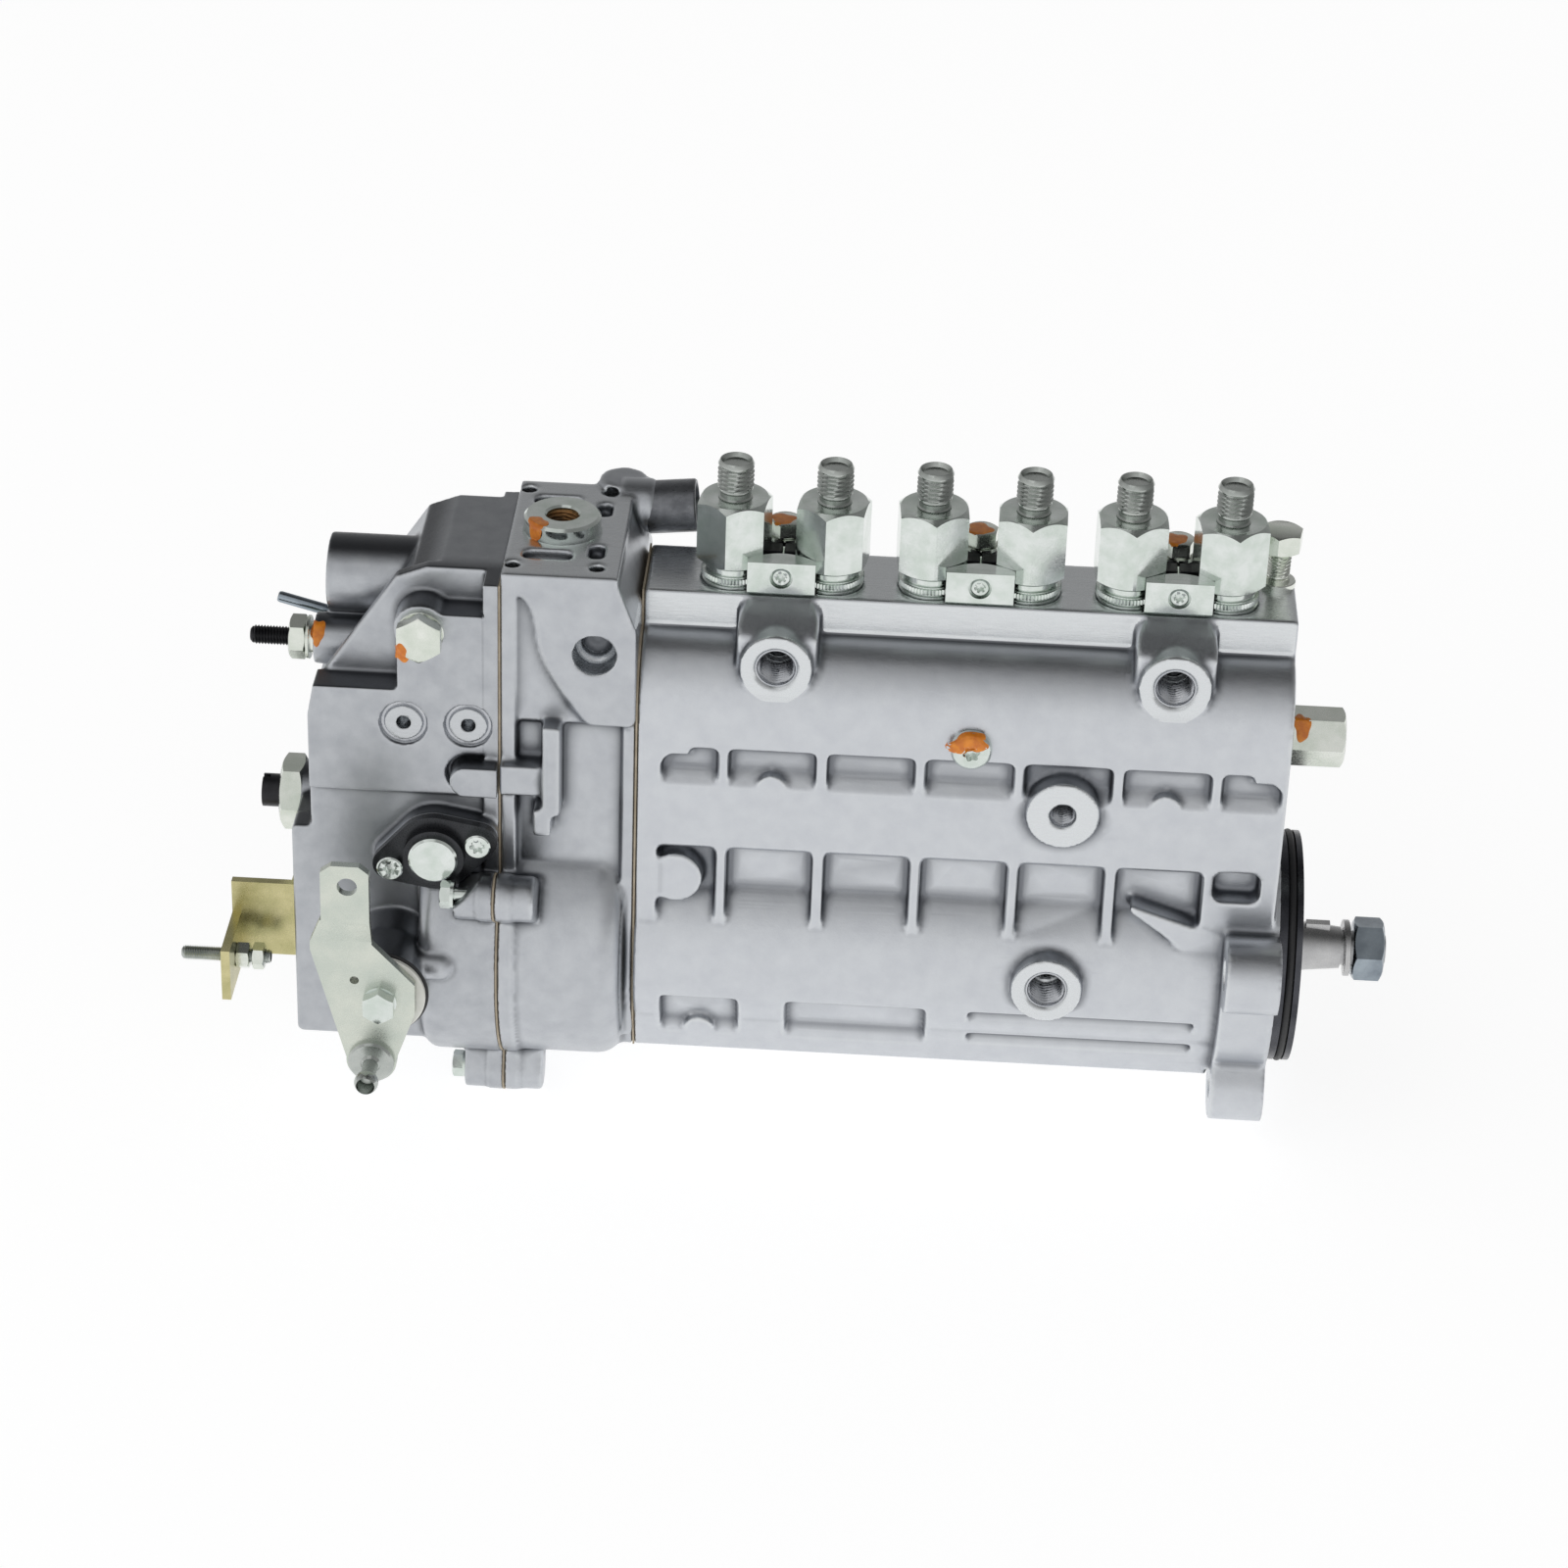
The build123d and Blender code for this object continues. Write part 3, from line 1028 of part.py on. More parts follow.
def governor_housing():
    """Middle casting: top block, neck, flyweight bowl and joint flanges."""
    body = governor_flange(GOV_LEFT, GOV_LEFT + GOV_WALL)
    bowl = rod_x(BOWL_R - 1, GOV_LEFT, GOV_RIGHT - 3)
    bowl = fillet(bowl.faces().sort_by(Axis.X)[-1].edges(), 9)
    body += bowl
    joint = block(GOV_RIGHT - 4, GOV_RIGHT, -BOWL_R, BOWL_R, SOLE_Z, CORNER_Z)
    body += prism_x(housing_outline(), GOV_RIGHT - 4, GOV_RIGHT) & joint
    body += block(GOV_LEFT, GOV_RIGHT, FRONT_Y + 2, GOV_BACK_Y - 4, -30, BLOCK_Z + 5)
    left, right = GOV_LEFT, GOV_RIGHT
    face = outline(
        (left, BLOCK_Z),
        (right - 2, BLOCK_Z),
        (right, BLOCK_Z + 2),
        (right, CORNER_Z),
        (right - 6.0, GOV_TOP_Z - 3),
        (right - 6.0, GOV_TOP_Z),
        (left, GOV_TOP_Z),
    )
    body += prism_y(face, GOV_FRONT_Y, GOV_BACK_Y)
    foot = BLOCK_Z - 1
    edge = Polyline((left + 30, foot), (left + 4.7, foot), (left + 4.7, 138.0))
    curve = Spline(
        (left + 4.7, 138.0),
        (left + 8.5, 135.0),
        (left + 12.5, 119.0),
        (left + 18.0, 106.0),
        (left + 30.0, foot),
    )
    panel = make_face([edge, curve])
    body -= prism_y(panel, GOV_FRONT_Y - 1, GOV_FRONT_Y + 1.5)
    body += governor_lugs()
    spout_start = right - 10
    body += rod_x(SPOUT_R, spout_start, SPOUT_END_X, SPOUT_Y, SPOUT_Z)
    body += rod_x(SPOUT_R + SPOUT_COLLAR, spout_start, GOV_RIGHT, SPOUT_Y, SPOUT_Z)
    body += rod_z(8.0, 125, GOV_TOP_Z + 2, right - 10, GOV_BACK_Y + 2)
    body -= governor_cavity(GOV_LEFT - 1, GOV_RIGHT - 4)
    body -= rod_x(BEARING_R - 6, GOV_RIGHT - 5, GOV_RIGHT + 1)
    body -= rod_x(RACK_R + GAP, GOV_LEFT, GOV_RIGHT + 1, RACK_Y, RACK_Z)
    body -= rod_x(SPOUT_BORE_R, SPOUT_END_X - 14, SPOUT_END_X + 1, SPOUT_Y, SPOUT_Z)
    body -= rod_y(7.0, GOV_FRONT_Y - 1, GOV_FRONT_Y + 9, SIDE_HOLE_X, SIDE_HOLE_Z)
    body -= rod_y(5.0, GOV_FRONT_Y - 1, GOV_FRONT_Y + 13, SIDE_HOLE_X, SIDE_HOLE_Z)
    body -= top_plate_cuts()
    body -= [rod_x(BOLT_R, GOV_LEFT - 1, GOV_LEFT + 12, y, z) for y, z in JOINT_BOLTS]
    return body


def governor_lugs():
    """Cast lugs on the front of the governor housing."""
    left = GOV_LEFT
    front = GOV_FRONT_Y
    bar = block(left, left + 14, front - 4, front + 6, 66, 77)
    upright = block(left + 14, left + 20, front - 6, front + 6, 60, 93)
    foot = block(left + 11, left + 17, front - 6, front + 6, 52, 62)
    lugs = [bar, upright, foot]
    for y, z in BOWL_BOLTS:
        lugs += bolt_lug(left, left + LUG_LENGTH, LUG_R - LUG_STEP, y, z)
    return lugs


def top_plate_cuts():
    """Corner holes, relief pockets and the central seat of the governor's top plate."""
    cx, cy = TOP_RING_X, TOP_RING_Y
    cuts = [rod_z(TOP_BORE_R, GOV_TOP_Z - 25, GOV_TOP_Z + 1, cx, cy)]
    cuts.append(rod_z(TOP_RING_R + RUN, GOV_TOP_Z - TOP_RING_SEAT, GOV_TOP_Z + 1, cx, cy))
    for dx in (-TOP_HOLE_DX, TOP_HOLE_DX):
        for dy in (-TOP_HOLE_DY, TOP_HOLE_DY):
            cuts.append(rod_z(TOP_HOLE_R, GOV_TOP_Z - 12, GOV_TOP_Z + 1, cx + dx, cy + dy))
    floor, above = GOV_TOP_Z - TOP_POCKET_DEPTH, GOV_TOP_Z + 1
    for side in (-1, 1):
        y = cy + side * 19.5
        pocket = block(cx - 11, cx + 5, y - 3, y + 3, floor, above)
        cuts.append(fillet(pocket.edges().filter_by(Axis.Z), 2.5))
        y = cy + side * 15
        small = block(cx + 10, cx + 15, y - 5.5, y + 4, floor, above)
        cuts.append(fillet(small.edges().filter_by(Axis.Z), 2))
    return cuts


def top_ring_insert():
    """Threaded ring in the top plate with its stepped bore."""
    seat, top = GOV_TOP_Z - TOP_RING_SEAT, GOV_TOP_Z + TOP_RING_STAND
    ring = rod_z(TOP_RING_R, seat, top, TOP_RING_X, TOP_RING_Y)
    ring = chamfer(ring.faces().sort_by(Axis.Z)[-1].edges(), 0.8)
    ring += rod_z(TOP_BORE_R, GOV_TOP_Z - 10, seat, TOP_RING_X, TOP_RING_Y)
    return ring - rod_z(TOP_RING_BORE_R, GOV_TOP_Z - 11, top + 1, TOP_RING_X, TOP_RING_Y)


def cover_outline(inset=0.0):
    """Side view of the cover in (X, Z), its upper left corner cut off and drawn in by inset."""
    return outline(
        (COVER_RIGHT, COVER_TOP_Z),
        (COVER_RIGHT - 24 + inset, COVER_TOP_Z),
        (COVER_RIGHT - 34 + inset, COVER_TOP_Z - 4),
        (COVER_LEFT_X + 2.5 + inset, 98.0),
        (COVER_LEFT_X, 90.0),
        (COVER_LEFT_X, COVER_STEP_Z - 16),
        (COVER_LOW_LEFT_X, COVER_STEP_Z - 18),
        (COVER_LOW_LEFT_X, COVER_SOLE_Z),
        (COVER_RIGHT, COVER_SOLE_Z),
    )


def cover_face_outline():
    """Raised field on the front of the cover, below and right of its recessed corner."""
    return outline(
        (COVER_RIGHT, 129.0),
        (COVER_RIGHT - 30, 129.0),
        (COVER_RIGHT - 33, 126.0),
        (COVER_RIGHT - 33, 101.0),
        (COVER_LEFT_X + 2.0, 101.0),
        (COVER_LEFT_X, 90.0),
        (COVER_LEFT_X, COVER_STEP_Z),
        (COVER_RIGHT, COVER_STEP_Z),
    )


def governor_cover():
    """End casting that carries the lever shaft, the stops and the pipe socket."""
    plate_back = RECESS_Y + COVER_PLATE_T
    body = prism_y(cover_outline(), RECESS_Y, plate_back)
    body += prism_y(cover_outline(COVER_INSET), plate_back, GOV_BACK_Y - 4)
    body += prism_y(cover_face_outline(), GOV_FRONT_Y, RECESS_Y + 1)
    low_top = COVER_STEP_Z - 16
    low = block(COVER_LOW_LEFT_X, COVER_RIGHT, FRONT_Y, RECESS_Y + 1, COVER_SOLE_Z, low_top)
    body += fillet(low.edges().filter_by(Axis.Y), 2.0)
    body += block(COVER_LEFT_X, COVER_RIGHT, FRONT_Y, RECESS_Y + 1, 30, COVER_STEP_Z + 1)
    bowl = rod_x(BOWL_R, COVER_RIGHT - 26, COVER_RIGHT)
    body += fillet(bowl.faces().sort_by(Axis.X)[0].edges(), 5)
    body += governor_flange(COVER_RIGHT - GOV_WALL, COVER_RIGHT)
    body += rod_x(PIPE_R, COVER_LEFT_X + 3, COVER_RIGHT - 20, PIPE_Y, PIPE_Z)
    body += rod_y(LEVER_BOSS_R, LEVER_BOSS_Y, FRONT_Y + 2, LEVER_X, LEVER_Z)
    body += cone_y(LEVER_BOSS_R, LEVER_BOSS_R + 4, FRONT_Y - 8, FRONT_Y + 1, LEVER_X, LEVER_Z)
    body += rod_y(9.0, GOV_FRONT_Y, RECESS_Y + 1, COVER_PLUG_X, COVER_PLUG_Z)
    body -= cover_slits()
    body += cover_lugs()
    body -= prism_y(capsule_outline(GAP), LEVER_BOSS_Y, CAPSULE_Y)
    body += prism_y(capsule_outline(), CAPSULE_Y, FRONT_Y + 2)
    cavity = outline(
        (COVER_RIGHT + 1, CAVITY_TOP_Z),
        (COVER_RIGHT - 28, CAVITY_TOP_Z),
        (COVER_LEFT_X + 8, 92.0),
        (COVER_LEFT_X + 8, COVER_SOLE_Z + 6),
        (COVER_RIGHT + 1, COVER_SOLE_Z + 6),
    )
    body -= prism_y(cavity, -CAVITY_Y, CAVITY_Y)
    body -= rod_x(BOWL_CAVITY_R, COVER_RIGHT - 20, COVER_RIGHT + 1)
    body -= rod_y(LEVER_SHAFT_R + RUN, LEVER_BOSS_Y - 1, GOV_BACK_Y - 8, LEVER_X, LEVER_Z)
    body -= rod_x(PIPE_R - 3, COVER_LEFT_X, COVER_LEFT_X + 22, PIPE_Y, PIPE_Z)
    body -= rod_y(PIVOT_PIN_R + RUN, -CAVITY_Y - 6, CAVITY_Y + 4, GUIDE_LEVER_X, GUIDE_PIVOT_Z)
    body -= rod_y(PIVOT_PIN_R + RUN, -CAVITY_Y - 6, -CAVITY_Y + 1, FLOAT_X, FLOAT_PIVOT_Z)
    body -= rod_y(COVER_PLUG_SHANK_R, GOV_FRONT_Y - 1, GOV_FRONT_Y + 12, COVER_PLUG_X, COVER_PLUG_Z)
    for x, z in BOSS_PLACES:
        floor = GOV_FRONT_Y + BOSS_RECESS_DEPTH
        body -= rod_y(BOSS_RECESS_R, GOV_FRONT_Y - 1, floor, x, z)
        body += rod_y(BOSS_RECESS_R - 1.6, GOV_FRONT_Y + 0.5, floor + 1, x, z)
        body -= rod_y(2.3, GOV_FRONT_Y - 1, GOV_FRONT_Y + 11, x, z)
    for x, z in capsule_screw_places():
        body -= rod_y(SCREW_R, CAPSULE_Y - 1, CAPSULE_Y + 12, x, z)
    reach = LUG_LENGTH + 1
    body -= [rod_x(BOLT_R, COVER_RIGHT - reach, COVER_RIGHT + 1, y, z) for y, z in JOINT_BOLTS]
    head_x = COVER_RIGHT - LUG_LENGTH
    for y, z in BOWL_BOLTS:
        body -= hex_x(BOLT_FLATS + 2 * GAP, head_x - BOLT_HEAD - GAP, head_x, y, z, 30)
    body -= rod_x(STOP_SCREW_R, COVER_LEFT_X - 8, COVER_LEFT_X + 24, STOP_SCREW_Y, STOP_SCREW_Z)
    body -= rod_x(IDLE_SCREW_R, IDLE_LUG_X - 1, COVER_LEFT_X + 2, IDLE_Y, IDLE_Z)
    body -= stop_pin()
    return body


def cover_slits():
    """Narrow groove along the joint flange and round the tongue on the cover's face."""
    floor = GOV_FRONT_Y + SLIT_DEPTH
    left = COVER_RIGHT - GOV_WALL - SLIT / 2
    slit = block(left, left + SLIT, GOV_FRONT_Y - 1, floor, TONGUE_Z, 130)
    reach = TONGUE_R + 1.7
    moat = rod_y(reach, GOV_FRONT_Y - 1, floor, TONGUE_X, TONGUE_Z)
    moat += block(TONGUE_X, left + SLIT, GOV_FRONT_Y - 1, floor, TONGUE_Z - reach, TONGUE_Z + reach)
    return [slit, moat]


def cover_lugs():
    """Bolt lugs, the rounded tongue and the stop screw bosses of the cover."""
    right = COVER_RIGHT
    front = GOV_FRONT_Y
    low, high = TONGUE_Z - TONGUE_R, TONGUE_Z + TONGUE_R
    tongue = block(TONGUE_X, right, front - 6, front + 4, low, high)
    nose = rod_y(TONGUE_R, front - 6, front + 4, TONGUE_X, TONGUE_Z)
    pieces = [tongue, nose]
    for y, z in BOWL_BOLTS:
        pieces += bolt_lug(right - LUG_LENGTH, right, LUG_R - LUG_STEP, y, z)
    stop_boss = rod_x(8.5, COVER_LEFT_X - 1, COVER_LEFT_X + 20, STOP_SCREW_Y, STOP_SCREW_Z)
    idle_lug = rod_x(IDLE_LUG_R, IDLE_LUG_X, COVER_LEFT_X + 2, IDLE_Y, IDLE_Z)
    teat = rod_x(TEAT_R, TEAT_X[0], TEAT_X[1], TEAT_Y, TEAT_Z)
    teat += Location((TEAT_X[1], TEAT_Y, TEAT_Z)) * Sphere(TEAT_R)
    return pieces + [stop_boss, idle_lug, teat]


def capsule_screw_places():
    """Centres of the two screws of the black cover plate, in (X, Z)."""
    dx, dz = CAPSULE_SCREW
    return ((CAPSULE_X - dx, CAPSULE_Z - dz), (CAPSULE_X + dx, CAPSULE_Z + dz))


def capsule_outline(extra=0.0):
    """Oval outline of the black plate and of the pad under it, in (X, Z)."""
    edges = (Pos(CAPSULE_X, CAPSULE_Z) * Circle(CAPSULE_R + extra)).edges()
    for x, z in capsule_screw_places():
        edges += (Pos(x, z) * Circle(6.0 + extra)).edges()
    return make_hull(edges)


def stop_plate():
    """Oval black plate with a stepped collar."""
    top = CAPSULE_Y - CAPSULE_T
    plate = prism_y(capsule_outline(), top, CAPSULE_Y)
    plate += rod_y(CAPSULE_COLLAR_R, top - CAPSULE_T, top, CAPSULE_X, CAPSULE_Z)
    plate -= rod_y(PLUG_BORE_R, top - 10, CAPSULE_Y + 1, CAPSULE_X, CAPSULE_Z)
    return plate - [rod_y(SCREW_R, top - 1, CAPSULE_Y + 1, x, z) for x, z in capsule_screw_places()]


def stop_plate_plug():
    """Flat zinc plug seated in the collar of the black plate."""
    seat = CAPSULE_Y - 2 * CAPSULE_T
    plug = rod_y(CAPSULE_PLUG_R, seat - 2.0, seat, CAPSULE_X, CAPSULE_Z)
    plug = chamfer(plug.faces().sort_by(Axis.Y)[0].edges(), 0.8)
    return plug + rod_y(PLUG_BORE_R, seat, CAPSULE_Y, CAPSULE_X, CAPSULE_Z)


def socket_screws():
    """Socket screws of the clamp jaws, the black plate, the back cover and the end plate."""
    pieces = []
    for x in JAW_X:
        under = STRIP_Y + JAW_SEAT
        screw = rod_y(JAW_SCREW_R, under, JAW_REAR_Y, x, JAW_SCREW_Z)
        screw += rod_y(JAW_SCREW_HEAD_R, under - JAW_SCREW_HEAD_T, under, x, JAW_SCREW_Z)
        pieces.append(screw - rod_y(1.6, under - 5, under - 1, x, JAW_SCREW_Z))
    for x, z in capsule_screw_places():
        under = CAPSULE_Y - CAPSULE_T
        screw = rod_y(SCREW_R, under, CAPSULE_Y + 9, x, z)
        screw += rod_y(SCREW_HEAD_R, under - SCREW_HEAD_T, under, x, z)
        pieces.append(screw - rod_y(1.9, under - 5, under - 1.6, x, z))
    for x, z in cover_screw_places():
        under = BACK_Y + COVER_T
        screw = rod_y(SCREW_R, BACK_Y - 7, under, x, z)
        screw += rod_y(SCREW_HEAD_R, under, under + SCREW_HEAD_T, x, z)
        pieces.append(screw - rod_y(1.9, under + 1.6, under + 5, x, z))
    for y, z in end_plate_screw_places():
        socket = hex_x(2.5, PILOT_LENGTH - 1.5, PILOT_LENGTH + 1, y, z)
        pieces.append(end_plate_screw(y, z) - socket)
    return group(*pieces)


def joint_bolts():
    """Hex bolts through the lugs of the governor joint."""
    pieces = []
    for y, z in JOINT_BOLTS:
        head_x = COVER_RIGHT - (GOV_WALL if (y, z) == TOP_BOLT else LUG_LENGTH)
        bolt = rod_x(BOLT_R, head_x, GOV_LEFT + 11, y, z)
        bolt += hex_x(BOLT_FLATS, head_x - BOLT_HEAD, head_x, y, z, 30)
        pieces.append(bolt)
    return group(*pieces)


# ------------------------------------------------------------------ levers and linkage
def lever_spacer():
    """Plastic disc and rubber ring between the lever boss and the lever."""
    face = LEVER_BOSS_Y
    ring = rod_y(15.4, face - 1.2, face, LEVER_X, LEVER_Z)
    disc = rod_y(14.5, face - 1.2 - DISC_T, face - 1.2, LEVER_X, LEVER_Z)
    bore = rod_y(LEVER_SHAFT_R + GAP, face - 6, face + 1, LEVER_X, LEVER_Z)
    return group(ring - bore, disc - bore)


def lever_outline():
    """Front view of the flat lower part of the control lever, in (X, Z)."""
    lower = outline(
        (-316.0, 26.0),
        (-316.0, 21.0),
        (-304.9, -20.0),
        (-288.3, -20.0),
        (-282.0, -2.0),
        (-282.0, 9.0),
        (-295.8, 24.0),
        (-295.8, 26.0),
    )
    return lower + Pos(BALL_X, BALL_Z) * Circle(8.3) + Pos(LEVER_X, LEVER_Z) * Circle(11.4)


def control_lever():
    """Bent sheet lever: lower arm, joggle and upper tab with its cable hole."""
    back = LEVER_Y
    lower = prism_y(lever_outline(), back - LEVER_T, back)
    step = Plane.YZ.offset(-316.0) * outline(
        (back, 25.0),
        (back - LEVER_T, 25.0),
        (back - LEVER_T - LEVER_STEP, 35.0),
        (back - LEVER_STEP, 35.0),
    )
    joggle = extrude(step, 20.2)
    tab_face = outline(
        (-311.5, 34.5),
        (-295.8, 34.5),
        (-295.8, 53.0),
        (-299.0, 55.6),
        (-308.0, 55.6),
        (-311.5, 53.0),
    )
    front = back - LEVER_T - LEVER_STEP
    tab = prism_y(tab_face, front, back - LEVER_STEP)
    trim = outline((-318.0, 36.5), (-311.5, 36.5), (-316.0, 24.0), (-318.0, 24.0))
    lever = lower + joggle + tab - prism_y(trim, front - 1, back + 1)
    for radius, x, z in (
        (TAB_HOLE_R, TAB_HOLE_X, TAB_HOLE_Z),
        (1.5, -301.7, 10.0),
        (LEVER_SHAFT_R - 1, LEVER_X, LEVER_Z),
        (BALL_SHANK_R, BALL_X, BALL_Z),
    ):
        lever -= rod_y(radius, front - 1, back + 1, x, z)
    return lever


def lever_fittings():
    """Hex bolt with washer at the lever's pivot and the ball stud at its foot."""
    face = LEVER_Y - LEVER_T
    washer = rod_y(6.0, face - 1.4, face, LEVER_X, LEVER_Z)
    bolt = hex_y(10.0, face - 7.4, face - 1.4, LEVER_X, LEVER_Z, 15)
    bolt += rod_y(LEVER_SHAFT_R - 1, face - 2, face + 4, LEVER_X, LEVER_Z)
    washer -= rod_y(LEVER_SHAFT_R - 1, face - 3, face + 1, LEVER_X, LEVER_Z)
    stud = rod_y(BALL_SHANK_R, face, LEVER_Y, BALL_X, BALL_Z)
    stud += rod_y(7.0, face - 1.6, face, BALL_X, BALL_Z)
    stud += rod_y(3.6, face - 4, face, BALL_X, BALL_Z)
    stud += rod_y(2.4, face - 11, face - 3, BALL_X, BALL_Z)
    stud += Location((BALL_X, face - BALL_REACH, BALL_Z)) * Sphere(BALL_R)
    return group(washer, bolt, stud)


def lever_shaft():
    """Shaft of the control lever with the swivel arm that loads the governor spring."""
    face = LEVER_Y - LEVER_T
    shaft = rod_y(LEVER_SHAFT_R, LEVER_Y + 0.02, GOV_BACK_Y - 9, LEVER_X, LEVER_Z)
    shaft -= rod_y(LEVER_SHAFT_R - 1, LEVER_Y - 1, face + 4, LEVER_X, LEVER_Z)
    arm_y = (3.0, 7.0)
    arm = block(-4.0, 4.0, arm_y[0], arm_y[1], 0, SWIVEL_REACH)
    arm += rod_y(8.0, arm_y[0], arm_y[1]) + rod_y(4.0, arm_y[0], arm_y[1], 0, SWIVEL_REACH)
    arm += rod_y(SPRING_PIN_R, -4, arm_y[1], 0, SWIVEL_REACH)
    return shaft + Location((LEVER_X, 0, LEVER_Z)) * arm


def governor_spring():
    """Governor spring, slanting from the swivel arm's pin up to the guide lever's pin."""
    foot = Vector(LEVER_X, 0, LEVER_Z + SWIVEL_REACH)
    head = Vector(GUIDE_LEVER_X - 3.6 - SPRING_PIN_STAND, 0, SPRING_PIN_Z)
    reach = (head - foot).length
    tilt = math.degrees(math.atan2(head.X - foot.X, head.Z - foot.Z))
    hook = SPRING_PIN_R + GOV_SPRING_WIRE_R
    length = reach - 2 * GOV_SPRING_HOOK
    path = Helix(length / GOV_SPRING_TURNS, length, GOV_SPRING_R)
    wire = Plane(origin=path @ 0, z_dir=path % 0) * RegularPolygon(GOV_SPRING_WIRE_R, 6)
    coil = Location((0, 0, GOV_SPRING_HOOK)) * sweep(wire, path)
    low = rod_x(GOV_SPRING_WIRE_R, 0, GOV_SPRING_R, 0, GOV_SPRING_HOOK)
    low += rod_z(GOV_SPRING_WIRE_R, hook, GOV_SPRING_HOOK + GOV_SPRING_WIRE_R)
    high = rod_x(GOV_SPRING_WIRE_R, 0, GOV_SPRING_R, 0, reach - GOV_SPRING_HOOK)
    high += rod_z(GOV_SPRING_WIRE_R, reach - GOV_SPRING_HOOK - GOV_SPRING_WIRE_R, reach - hook)
    spring = coil + low + high
    return Location(foot, (0, tilt, 0)) * spring


def flyweight_carrier():
    """Carrier keyed to the camshaft, with the two pairs of pivot lugs."""
    right = CARRIER_X[1]
    left = CARRIER_X[0]
    body = rod_x(9.0, left, right) + rod_x(27.0, right - 2.2, right)
    for side in (-1, 1):
        for y in (WEIGHT_HALF + GAP, -WEIGHT_HALF - GAP - 3):
            z0, z1 = sorted((side * 11, side * 26))
            body += block(WEIGHT_PIVOT_X - 4, right, y, y + 3, z0, z1)
        reach = WEIGHT_HALF + GAP + 3
        body += rod_y(2.0, -reach, reach, WEIGHT_PIVOT_X, side * WEIGHT_PIVOT_R)
    return body - rod_x(SHAFT_STUB_R, left - 1, right + 1)


def flyweight(side):
    """Flyweight: curved mass, pivot bore and the toe that pushes the governor sleeve."""
    px, pz = WEIGHT_PIVOT_X, WEIGHT_PIVOT_R
    mass = rod_x(33.0, px - 21, px - 2) - rod_x(14.5, px - 22, px)
    mass = mass & block(px - 21, px - 2, -WEIGHT_HALF, WEIGHT_HALF, 10, 40)
    eye = rod_y(4.2, -WEIGHT_HALF, WEIGHT_HALF, px, pz)
    neck = block(px - 4, px, -WEIGHT_HALF, WEIGHT_HALF, pz - 4, pz + 4)
    toe = block(px - 3.2, px + 1.2, -4.0, 4.0, pz - TOE_REACH, pz)
    tip = rod_y(2.2, -4.0, 4.0, px - 1, pz - TOE_REACH + 0.5)
    weight = mass + [eye, neck, toe, tip]
    weight -= rod_y(2.0 + RUN, -WEIGHT_HALF - 1, WEIGHT_HALF + 1, px, pz)
    return weight if side > 0 else Location((0, 0, 0), (180, 0, 0)) * weight


def governor_sleeve():
    """Sliding sleeve on the end of the camshaft, with a flange for the flyweight toes."""
    right = SLEEVE_FLANGE_X
    body = rod_x(13.0, right - 3, right) + rod_x(9.0, right - 30, right)
    body += rod_x(SLEEVE_NOSE_R, SLEEVE_NOSE_X, right - 29)
    return body - rod_x(SHAFT_STUB_R + RUN, right - 25, right + 1)


def guide_lever():
    """Guide lever hung from its pivot pin, pushed at its foot by the sleeve."""
    x, top = GUIDE_LEVER_X, GUIDE_PIVOT_Z
    foot = SLEEVE_NOSE_X - SEAT
    lever = block(x - 3.6, foot, -4, 4, -6, top) + rod_y(6.0, -4, 4, x, top)
    lever -= rod_y(PIVOT_PIN_R, -5, 5, x, top)
    link = rod_y(LINK_PIN_R, FLOAT_Y[0] - 1, -4, x, LINK_Z)
    eye_x = x - 3.6 - SPRING_PIN_STAND
    for y in (-4.0, 2.5):
        link += block(eye_x - 3, x - 3.5, y, y + 1.5, SPRING_PIN_Z - 3, SPRING_PIN_Z + 3)
    link += rod_y(SPRING_PIN_R, -4, 4, eye_x, SPRING_PIN_Z)
    pin = rod_y(PIVOT_PIN_R, -CAVITY_Y - 5, CAVITY_Y + 3, x, top)
    return group(lever + link, pin)


def floating_lever():
    """Floating lever between its lower pivot pin and the rack's drive pin."""
    height = RACK_Z + 8 - FLOAT_PIVOT_Z
    y0, y1 = FLOAT_Y
    arm = block(-4.0, 4.0, y0, y1, 0, height) + rod_y(5.5, y0, y1)
    arm -= rod_y(PIVOT_PIN_R, y0 - 1, y1 + 1)
    slot = LINK_PIN_R + GAP
    for z in (LINK_Z, RACK_Z):
        reach = (z - FLOAT_PIVOT_Z) / math.cos(math.radians(FLOAT_TILT))
        arm -= block(-slot, slot, y0 - 1, y1 + 1, reach - 4, reach + 4)
    pin = rod_y(PIVOT_PIN_R, -CAVITY_Y - 5, y1)
    tilt = Location((FLOAT_X, 0, FLOAT_PIVOT_Z), (0, FLOAT_TILT, 0))
    return tilt * group(arm, pin)


# --------------------------------------------------------------- stops and the bracket
def stop_pin():
    """Small guide pin set at a slant in the cover, above the stop stud."""
    foot = Location((COVER_LEFT_X + 13, STOP_SCREW_Y + 14, STOP_SCREW_Z + 2.5), (0, -75, 0))
    return foot * Cylinder(STOP_PIN_R, STOP_PIN_LENGTH, align=(MID, MID, LOW))


def full_load_stop_screw():
    """Full-load stop stud with its lock nut, and the small guide pin above it."""
    y, z = STOP_SCREW_Y, STOP_SCREW_Z
    face = COVER_LEFT_X - 1
    stud = rod_x(STOP_SCREW_R, face - 21.5, face + 20, y, z)
    nut = hex_x(13.0, face - 9.5, face, y, z, 20)
    nut -= rod_x(STOP_SCREW_R, face - 11, face + 1, y, z)
    return group(stud, nut, stop_pin())


